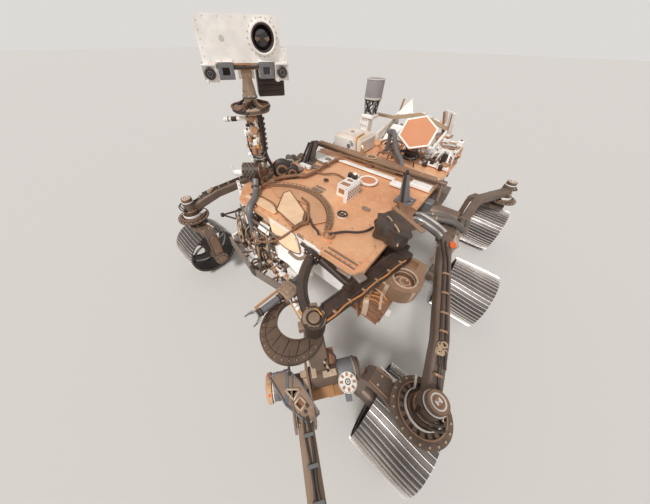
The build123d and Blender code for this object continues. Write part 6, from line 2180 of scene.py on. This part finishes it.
piece("shoulder_box", [
    arm_block(LIFT_AT, *row)
    for row in ((-0.07, 0.056, 0.01, (0.08, 0.064, 0.07)), (-0.06, 0.056, 0.045, (0.05, 0.04, 0.01)))
], "brown_box", "arm_shoulder")
piece("shoulder_brackets", [
    *[
        arm_block(LIFT_AT, *row)
        for row in (
            (-0.095, -0.01, 0.048, (0.12, 0.09, 0.016)), (-0.03, -0.038, 0.04, (0.09, 0.026, 0.03)),
            (0.01, 0.04, 0.052, (0.03, 0.07, 0.014)), (-0.128, -0.04, 0.026, (0.012, 0.06, 0.04)),
        )
    ],
    bar(
        LIFT_AT + ARM_OUT * -0.1 + UP * 0.06, LIFT_AT + ARM_OUT * 0.02 + ARM_SIDE * 0.05 + UP * 0.058, 0.01,
        0.008,
    ),
], "pale_tan", "arm_shoulder")
piece("shoulder_sheet", [
    arm_block(LIFT_AT, *row)
    for row in ((0.052, -0.02, -0.028, (0.08, 0.15, 0.006)), (0.07, 0.06, -0.034, (0.05, 0.08, 0.006)))
], "amber_sheet", "arm_shoulder")
piece("shoulder_small", [
    *[
        arm_block(LIFT_AT, -0.12 + 0.024 * k, 0.024 + 0.01 * (k % 2), 0.062, (0.012, 0.012, 0.014))
        for k in range(6)
    ],
    line(LIFT_AT, (
        (-0.05, 0.05, 0.05), (-0.03, 0.09, 0.075), (0.01, 0.1, 0.07), (0.03, 0.07, 0.055),
    ), 0.005),
], "dark_metal", "arm_shoulder")
piece("root_small", [
    arm_block(LIFT_AT, *row)
    for row in ((0.03, -0.086, 0.044, (0.05, 0.026, 0.016)), (-0.012, -0.09, 0.044, (0.03, 0.034, 0.018)))
], "pale_tan", "arm_upper")
piece("motor_rings", rings_at(LIFT_AT, ARM_SIDE, (
    (0.176, 0.05, 0.0575, 0.012, 48), (0.196, 0.04, 0.0485, 0.01, 48), (0.078, 0.048, 0.057, 0.008, 48),
    (-0.061, 0.034, 0.052, 0.01, 48),
)), "grey_tube", "arm_shoulder")
piece("motor_sleeve", revolve((
    (0.0538, 0.082), (0.0546, 0.084), (0.0546, 0.172), (0.0538, 0.174),
), LIFT_AT, ARM_SIDE, 56, closed=True), "slate_grey", "arm_shoulder")
piece("can_sleeve", revolve((
    (0.0598, 0.064), (0.0605, 0.066), (0.0605, 0.132), (0.0598, 0.134),
), ROOT_AT, -ARM_SIDE, 56, closed=True), "slate_grey", "arm_upper")
piece("motor_line", [
    ring(LIFT_AT + ARM_SIDE * 0.168, ARM_SIDE, 0.0535, 0.0552, 0.004, 48),
    can(LIFT_AT + ARM_SIDE * 0.203, ARM_SIDE, 0.03, 0.004),
], "pale_tan", "arm_shoulder")
piece("motor_bolts", [
    studs(on_circle(LIFT_AT + ARM_SIDE * 0.2045, ARM_SIDE, 0.038, 10), ARM_SIDE, 0.004, 0.004),
    studs([
        LIFT_AT + ARM_OUT * u + ARM_SIDE * v + UP * 0.057
        for u in (-0.145, -0.1, -0.05) for v in (-0.046, 0.028)
    ], UP, 0.005, 0.005),
], "bolt_steel", "arm_shoulder")
target_at = at(0.802, -1.434, 0.748)
piece("target_plate", [
    bar(LIFT_AT + ARM_SIDE * 0.116 + ARM_OUT * 0.04 + UP * 0.02, target_at - UP * 0.012, 0.046, 0.014),
    can(target_at - UP * 0.012, UP, 0.036, 0.01),
    bar(target_at + (0.01, -0.02, -0.01), target_at + (0.05, -0.055, -0.012), 0.03, 0.008),
], "slate_grey", "arm_shoulder")
piece("round_target", can(
    target_at - UP * 0.004, UP, 0.047, 0.008, 0.002, 48,
), "frame_white", "arm_shoulder")
marks = []
for spot in on_circle(target_at + UP * 0.0036, UP, 0.032, 8):
    out = unit(spot - target_at - UP * 0.0036)
    marks.append(bar(spot - out * 0.008, spot + out * 0.008, 0.012, 0.0016))
piece("target_marks", marks, "copper_trim", "arm_shoulder")
piece("target_centre", [
    *rings_at(target_at, UP, ((0.0034, 0.009, 0.014, 0.0016, 32), (0.003, 0.0435, 0.0452, 0.0014, 48))),
    can(target_at + UP * 0.0034, UP, 0.004, 0.002, 0.0005, 16),
], "black_blanket", "arm_shoulder")

cap_at = ROOT_AT - ARM_SIDE * 0.1515
piece("dusty_cap", revolve((
    (0.0668, -0.014), (0.0668, 0.0), (0.064, 0.007), (0.052, 0.013), (0.03, 0.0165), (0.003, 0.018),
), cap_at, -ARM_SIDE, 56), "sand_dust", "arm_upper")
dots = {"tape_gold": [], "tag_orange": []}
for k, (turn_way, back) in enumerate((
    (-0.62, 0.004), (-0.3, 0.009), (0.02, 0.004), (0.34, 0.009), (0.66, 0.004), (-0.48, 0.02), (-0.1, 0.022),
    (0.26, 0.021), (0.58, 0.022),
)):
    out = math.cos(turn_way) * UP + math.sin(turn_way) * ARM_OUT
    spot = cap_at + ARM_SIDE * back + out * (0.0666 if back < 0.015 else 0.0598)
    dots["tag_orange" if k in (0, 4, 6) else "tape_gold"].append(can(
        spot - out * 0.001, out, 0.0068, 0.0026, 0.001, 16,
    ))
pieces_by_finish("cap_dots", dots, "arm_upper")
piece("cap_line", ring(
    ROOT_AT - ARM_SIDE * 0.128, -ARM_SIDE, 0.059, 0.0618, 0.004, 56,
), "frame_white", "arm_upper")
piece("can_rings", rings_at(ROOT_AT, -ARM_SIDE, (
    (0.1, 0.0585, 0.0622, 0.01, 56), (0.062, 0.0585, 0.064, 0.012, 56),
)), "grey_tube", "arm_upper")
frame_outline = [
    (0.498, -1.678), (0.545, -1.592), (0.64, -1.592), (0.776, -1.62), (0.763, -1.679), (0.64, -1.7),
]
opening = [(0.6, -1.66), (0.646, -1.618), (0.652, -1.66)]
window = [(0.671, -1.667), (0.701, -1.667), (0.701, -1.637), (0.671, -1.637)]
frame_rims, window_rims = [], []
for outline, shapes, grow in (
    (frame_outline, frame_rims, 0.975), (opening, window_rims, 1.16), (window, window_rims, 1.22),
):
    flat_points = np.array(outline)
    flat_points = flat_points.mean(0) + (flat_points - flat_points.mean(0)) * grow
    for k in range(len(flat_points)):
        a, b = flat_points[k], flat_points[(k + 1) % len(flat_points)]
        shapes.append(bar(at(*a, 0.769), at(*b, 0.769), 0.008, 0.007))
frame_rims += bars(MIDDLE, (
    (0.548, -1.6, 0.762, 0.64, -1.694, 0.762, 0.016, 0.016),
    (0.58, -1.597, 0.768, 0.668, -1.69, 0.768, 0.006, 0.008), (0.503, -1.672, 0.744, 0.64, -1.694, 0.744),
    (0.546, -1.596, 0.744, 0.77, -1.618, 0.744),
), (0.01, 0.034))
piece("frame_rims", frame_rims, "slate_grey", "arm_upper")
piece("window_rims", window_rims, "pale_tan", "arm_upper")
piece("frame_sheets", blocks(MIDDLE, (
    (0.56, -1.688, 0.752, 0.64, -1.6, 0.7575), (0.664, -1.676, 0.742, 0.708, -1.63, 0.7575),
    (0.592, -1.668, 0.742, 0.66, -1.61, 0.7575),
), 0.001), "brown_box", "arm_upper")
piece("frame_bolts", studs([
    at(x, y, 0.767)
    for x, y in (
        (0.52, -1.668), (0.552, -1.602), (0.6, -1.602), (0.735, -1.625), (0.755, -1.64), (0.748, -1.668),
        (0.7, -1.68),
    )
], UP, 0.0045, 0.005), "bolt_steel", "arm_upper")
piece("frame_clips", blocks(MIDDLE, (
    (0.706, -1.642, 0.766, 0.722, -1.632, 0.776), (0.716, -1.662, 0.766, 0.73, -1.653, 0.775),
    (0.56, -1.61, 0.766, 0.574, -1.598, 0.778),
), 0.002), "black_blanket", "arm_upper")

# Bit carousel: rim, floor, chuck rings; slats, strap and tag of the bay under it
cup_at = at(0.77, -0.785, 0.9)
piece("cup_rim", rings_at(cup_at, UP, (
    (-0.004, 0.0665, 0.0785, 0.01, 64), (-0.03, 0.0655, 0.0705, 0.006, 64),
)), "pale_tan")
piece("cup_floor", [
    ring(at(0.77, -0.785, 0.8195), UP, 0.05, 0.068, 0.006, 48),
    studs(on_circle(at(0.77, -0.785, 0.8255), UP, 0.06, 12), UP, 0.004, 0.005),
], "brown_box")
piece("chuck_rings", [
    ring(at(0.77, -0.785, 0.845), UP, 0.044, 0.0535, 0.004, 40),
    ring(at(0.778, -0.777, 0.857), UP, 0.026, 0.0345, 0.005, 40),
    can(at(0.786, -0.769, 0.867), UP, 0.008, 0.01, 0.002, 20),
], "sand_dust")
shell_line = [(0.562, -0.897), (0.71, -0.897), (0.854, -0.847), (0.866, -0.725)]
shell_bits = []
for (x0, y0), (x1, y1) in zip(shell_line[:-1], shell_line[1:]):
    for z in (0.79, 0.893):
        shell_bits.append(bar(at(x0, y0, z), at(x1, y1, z), 0.012, 0.01))
    for share in (0.04, 0.5, 0.96):
        x, y = x0 + (x1 - x0) * share, y0 + (y1 - y0) * share
        shell_bits.append(bar(at(x, y, 0.786), at(x, y, 0.898), 0.01, 0.012, up=(1, 0, 0)))
piece("shell_edges", shell_bits, "pale_tan")
piece("shell_bolts", [
    studs([
        at(*spot, 0.9005)
        for spot in (
            (0.6, -0.87), (0.66, -0.87), (0.72, -0.875), (0.83, -0.835), (0.848, -0.76), (0.6, -0.66),
            (0.66, -0.62),
        )
    ], UP, 0.0055, 0.006),
    studs(on_circle(cup_at + UP * 0.0055, UP, 0.0735, 12), UP, 0.003, 0.004),
], "bolt_steel")
slats = []
for y in np.linspace(-0.99, -0.915, 4):
    slats.append(bar(at(0.566, y, 0.772), at(0.755, y + 0.004, 0.772), 0.011, 0.016))
for k in range(6):
    low = at(0.762, -0.99 + 0.052 * k, 0.64 + 0.018 * (k % 2))
    high = at(0.762, -0.975 + 0.052 * k, 0.768)
    slats.append(bar(low, high, 0.01, 0.012, up=(1, 0, 0)))
for z in (0.63, 0.69, 0.75):
    slats.append(bar(at(0.764, -1.0, z), at(0.764, -0.712, z), 0.014, 0.01))
    slats.append(bar(at(0.57, -1.012, z), at(0.752, -1.012, z), 0.014, 0.01))
piece("bay_slats", slats, "brown_box")
piece("bay_strap", [
    strap(points_from(MIDDLE, (
        (0.628, -0.905, 0.8), (0.634, -0.96, 0.786), (0.65, -1.01, 0.778), (0.662, -1.022, 0.74),
        (0.668, -1.02, 0.64),
    )), 0.036, 0.005, up=(0, -0.4, 0.9)),
    bar(at(0.7, -0.9, 0.796), at(0.742, -1.008, 0.783), 0.016, 0.006),
], "pale_tan")
piece("bay_tag", [
    slab(at(0.764, -0.905, 0.6), at(0.8, -0.85, 0.606), 0.002),
    bar(at(0.75, -0.88, 0.608), at(0.782, -0.88, 0.604), 0.02, 0.01),
], "frame_white")
bay_wires = []
for k in range(7):
    y = -0.985 + 0.035 * k
    bay_wires.append(line(MIDDLE, (
        (0.6 + 0.02 * k, y, 0.778), (0.64 + 0.015 * k, y - 0.012, 0.796), (0.7, y + 0.01, 0.792),
        (0.745, y, 0.778),
    ), 0.0045, 7))
piece("bay_wires", bay_wires, "cable_orange")

# Thin dark truss between the front right wheel and the nose, laid along dark streaks that are mostly cast
# shadow: in part painted shadow given a body
fork = at(-0.745, -1.15, 0.815)
truss = [
    bar(fork, at(*end), 0.012, 0.012)
    for end in ((-0.555, -0.985, 0.905), (-0.555, -1.0, 0.73), (-0.555, -0.86, 0.86))
]
truss += [
    can(at(-0.745, -1.15, 0.8), UP, 0.017, 0.03),
    *bars(MIDDLE, (
        (-0.65, -1.067, 0.86, -0.65, -1.075, 0.775), (-0.61, -1.034, 0.878, -0.65, -1.074, 0.775),
    ), (0.008, 0.008), up=(1, 0, 0)),
]
piece("front_shadow_truss", truss, "dark_metal")

# Housing over the shoulder axis: cover, bolts and looped leads; details down the arm
house_at = at(0.53, -1.378, 0.964)
piece("house_cover", [
    ring(house_at - UP * 0.002, UP, 0.04, 0.0605, 0.008, 48),
    can(house_at - UP * 0.002, UP, 0.03, 0.014, 0.004),
    *[
        arm_block(house_at, *row)
        for row in ((-0.064, 0.01, -0.03, (0.05, 0.046, 0.04)), (0.01, -0.066, -0.05, (0.04, 0.036, 0.05)))
    ],
], "grey_brown")
piece("house_bolts", studs(on_circle(house_at + UP * 0.006, UP, 0.05, 14), UP, 0.0042, 0.005), "bolt_steel")
piece("house_leads", [
    cable([
        on_beam(0.93, 0.02, 0.046), house_at + (0.045, 0.01, 0.014), house_at + (0.05, -0.03, 0.012),
        house_at + (0.01, -0.056, 0.006), house_at + (-0.04, -0.044, -0.01),
        house_at + (-0.06, -0.02, -0.04),
    ], 0.0065),
    cable([
        on_beam(0.9, -0.034, 0.046), house_at + (0.0, 0.048, 0.016), house_at + (-0.044, 0.03, 0.012),
        house_at + (-0.066, -0.004, -0.02), house_at + (-0.06, -0.024, -0.07),
    ], 0.0055),
], "cable_black")
piece("house_gold", [
    cable([
        on_beam(0.94, 0.0, 0.046), house_at + (0.02, 0.03, 0.02), house_at + (-0.02, 0.036, 0.018),
        house_at + (-0.07, 0.016, -0.014), house_at + (-0.072, 0.0, -0.08),
    ], 0.0045),
    arm_block(house_at, -0.074, 0.0, -0.062, (0.016, 0.03, 0.03)),
], "tape_gold")
REACH = math.cos(math.radians(8)) * ARM_OUT + math.sin(math.radians(8)) * UP
OVER = np.cross(REACH, -ARM_SIDE)
OVER = OVER if OVER[2] > 0 else -OVER


def on_arm(along, aside, rise):
    """Point by the upper arm: along it from the lift axis, sideways and above its middle line."""
    return ROOT_AT + REACH * along + ARM_SIDE * aside + OVER * rise


piece("arm_leads", [
    cable([
        on_arm(d, 0.014 + 0.004 * math.sin(d * 31.0), 0.047)
        for d in np.linspace(0.16, 0.62, 8)
    ], 0.0065, 8, 5),
    cable([
        on_arm(d, -0.004 + 0.003 * math.sin(d * 23.0), 0.046)
        for d in np.linspace(0.16, 0.62, 8)
    ], 0.005, 8, 5),
], "cable_black", "arm_upper")
piece("arm_clips", [
    bar(on_arm(d, -0.016, 0.047), on_arm(d, 0.028, 0.047), 0.012, 0.014, up=OVER)
    for d in (0.22, 0.31, 0.4, 0.49, 0.58)
], "slate_grey", "arm_upper")
arm_studs = [
    studs([
        on_arm(d, v, 0.043)
        for d in np.linspace(0.15, 0.18, 2) for v in (-0.026, 0.026)
    ], OVER, 0.0045, 0.006),
]
elbow_at = ROOT_AT + REACH * 0.7
for way in (-1, 1):
    base = elbow_at + ARM_SIDE * (-0.0445 if way < 0 else 0.0375)
    arm_studs.append(studs(on_circle(base, ARM_SIDE * way, 0.047, 12), ARM_SIDE * way, 0.0045, 0.005))
piece("arm_studs", arm_studs, "bolt_steel", "arm_upper")
piece("arm_seams", [
    *[ring(elbow_at + ARM_SIDE * v, ARM_SIDE, 0.058, 0.0625, 0.008, 48) for v in (-0.036, 0.02)],
    bar(on_arm(0.63, -0.03, 0.0), on_arm(0.63, 0.03, 0.0), 0.014, 0.094 - 0.016 * (0.63 - 0.12), up=OVER),
], "grey_tube", "arm_upper")

# Forearm, wrist and turret: leads, clips, rings, bolts, lenses and the drill's collars
def arm_way(angle):
    """Direction in the arm's own plane, at an angle above level in degrees."""
    return math.cos(math.radians(angle)) * ARM_OUT + math.sin(math.radians(angle)) * UP


FORE_WAY, FORE_FACE, LINK_WAY, DRILL_WAY = arm_way(92), arm_way(2), arm_way(130), arm_way(40)
WRIST_AT = elbow_at + FORE_WAY * 0.64
DRUM_AT = WRIST_AT + LINK_WAY * 0.1705
DRILL_AT = DRUM_AT + DRILL_WAY * 0.134


def on_fore(along, aside, rise):
    """Point by the forearm: along it from the elbow, sideways and out from its middle line."""
    return elbow_at + FORE_WAY * along + ARM_SIDE * (0.082 + aside) + FORE_FACE * rise


piece("fore_leads", [
    cable([
        on_fore(d, side + 0.004 * math.sin(d * 27.0 + side * 90), 0.043)
        for d in np.linspace(0.07, 0.57, 8)
    ], 0.0055, 8, 5)
    for side in (-0.008, 0.01)
], "cable_black", "arm_fore")
piece("fore_clips", [
    bar(on_fore(d, -0.02, 0.042), on_fore(d, 0.022, 0.042), 0.012, 0.016, up=FORE_FACE)
    for d in (0.13, 0.24, 0.35, 0.46, 0.55)
], "slate_grey", "arm_fore")
fore_ends = ((elbow_at + ARM_SIDE * 0.122, ARM_SIDE, 0.058), (WRIST_AT + ARM_SIDE * 0.122, ARM_SIDE, 0.048))
piece(
    "fore_rings",
    [
        ring(spot - way * 0.016, way, radius - 0.004, radius + 0.0025, 0.01, 48)
        for spot, way, radius in fore_ends
    ] + [can(spot - way * 0.001, way, radius * 0.45, 0.006, 0.002, 32) for spot, way, radius in fore_ends],
    "grey_tube", "arm_fore",
)
piece("fore_bolts", [
    studs(on_circle(spot, way, radius * 0.78, 12), way, 0.0042, 0.004)
    for spot, way, radius in fore_ends
], "bolt_steel", "arm_fore")
piece("link_rings", [
    ring(WRIST_AT - ARM_SIDE * 0.04, ARM_SIDE, 0.044, 0.0505, 0.01, 48),
    can(WRIST_AT - ARM_SIDE * 0.044, -ARM_SIDE, 0.022, 0.006, 0.002, 32),
], "grey_tube", "arm_wrist")
piece("link_bolts", studs(on_circle(
    WRIST_AT - ARM_SIDE * 0.045, -ARM_SIDE, 0.037, 12,
), -ARM_SIDE, 0.004, 0.004), "bolt_steel", "arm_wrist")

drum_end = WRIST_AT + LINK_WAY * 0.24
piece("drum_rings", [
    *rings_at(WRIST_AT, LINK_WAY, ((0.11, 0.084, 0.0905, 0.01, 56), (0.222, 0.084, 0.0905, 0.012, 56))),
    ring(drum_end - LINK_WAY * 0.001, LINK_WAY, 0.046, 0.06, 0.006, 48),
    can(drum_end - LINK_WAY * 0.001, LINK_WAY, 0.034, 0.01, 0.003, 40),
], "grey_brown", "arm_turret")
piece("drum_bolts", [
    *bolt_rings(drum_end, LINK_WAY, ((0, 0.074, 18, 0.0045, 0.005), (0.005, 0.053, 10, 0.003, 0.003))),
    studs(on_circle(DRILL_AT + ARM_SIDE * 0.11, ARM_SIDE, 0.035, 8), ARM_SIDE, 0.004, 0.004),
], "bolt_steel", "arm_turret")
piece("drill_collars", [
    *[
        ring(DRILL_AT + ARM_SIDE * v, ARM_SIDE, 0.043, 0.049, 0.012, 40)
        for v in (-0.146, -0.07, 0.01, 0.092)
    ],
    revolve((
        (0.03, 0), (0.027, 0.016), (0.013, 0.03), (0.0122, 0.031),
    ), DRILL_AT - ARM_SIDE * 0.15, -ARM_SIDE, 36),
    *[
        bar(
            DRILL_AT - ARM_SIDE * 0.148 + DRILL_WAY * s, DRILL_AT - ARM_SIDE * 0.196 + DRILL_WAY * s * 0.9,
            0.01, 0.01,
        )
        for s in (-0.034, 0.034)
    ],
], "slate_grey", "arm_turret")
piece("turret_leads", [
    cable([
        DRUM_AT + LINK_WAY * (step + 0.012 * math.sin(turn * 4))
        + 0.0935 * (math.cos(turn) * DRILL_WAY + math.sin(turn) * ARM_SIDE)
        for turn in np.linspace(2.1, 4.15, 9)
    ], 0.0055, 8)
    for step in (-0.02, 0.006)
], "cable_black", "arm_turret")
window_at, sight_at = DRUM_AT + ARM_SIDE * 0.18, DRUM_AT - ARM_SIDE * 0.19
piece("sight_rings", [
    ring(window_at - ARM_SIDE * 0.001, ARM_SIDE, 0.023, 0.031, 0.008, 40),
    ring(sight_at + ARM_SIDE * 0.001, -ARM_SIDE, 0.017, 0.027, 0.007, 40),
    *[
        studs([
            spot + LINK_WAY * u + DRILL_WAY * v
            for u in (-0.031, 0.031) for v in (-0.031, 0.031)
        ], way, 0.0036, 0.003)
        for spot, way in ((window_at, ARM_SIDE), (sight_at, -ARM_SIDE))
    ],
], "bolt_steel", "arm_turret")
piece("sight_glass", [
    can(window_at - ARM_SIDE * 0.001, ARM_SIDE, 0.0225, 0.004, 0.001, 36),
    can(sight_at + ARM_SIDE * 0.001, -ARM_SIDE, 0.0165, 0.004, 0.001, 32),
], "lens_glass", "arm_turret")

aim_camera()
light_stage()
dress_cad()

scene = bpy.context.scene
scene.view_settings.view_transform = "Standard"
low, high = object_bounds()
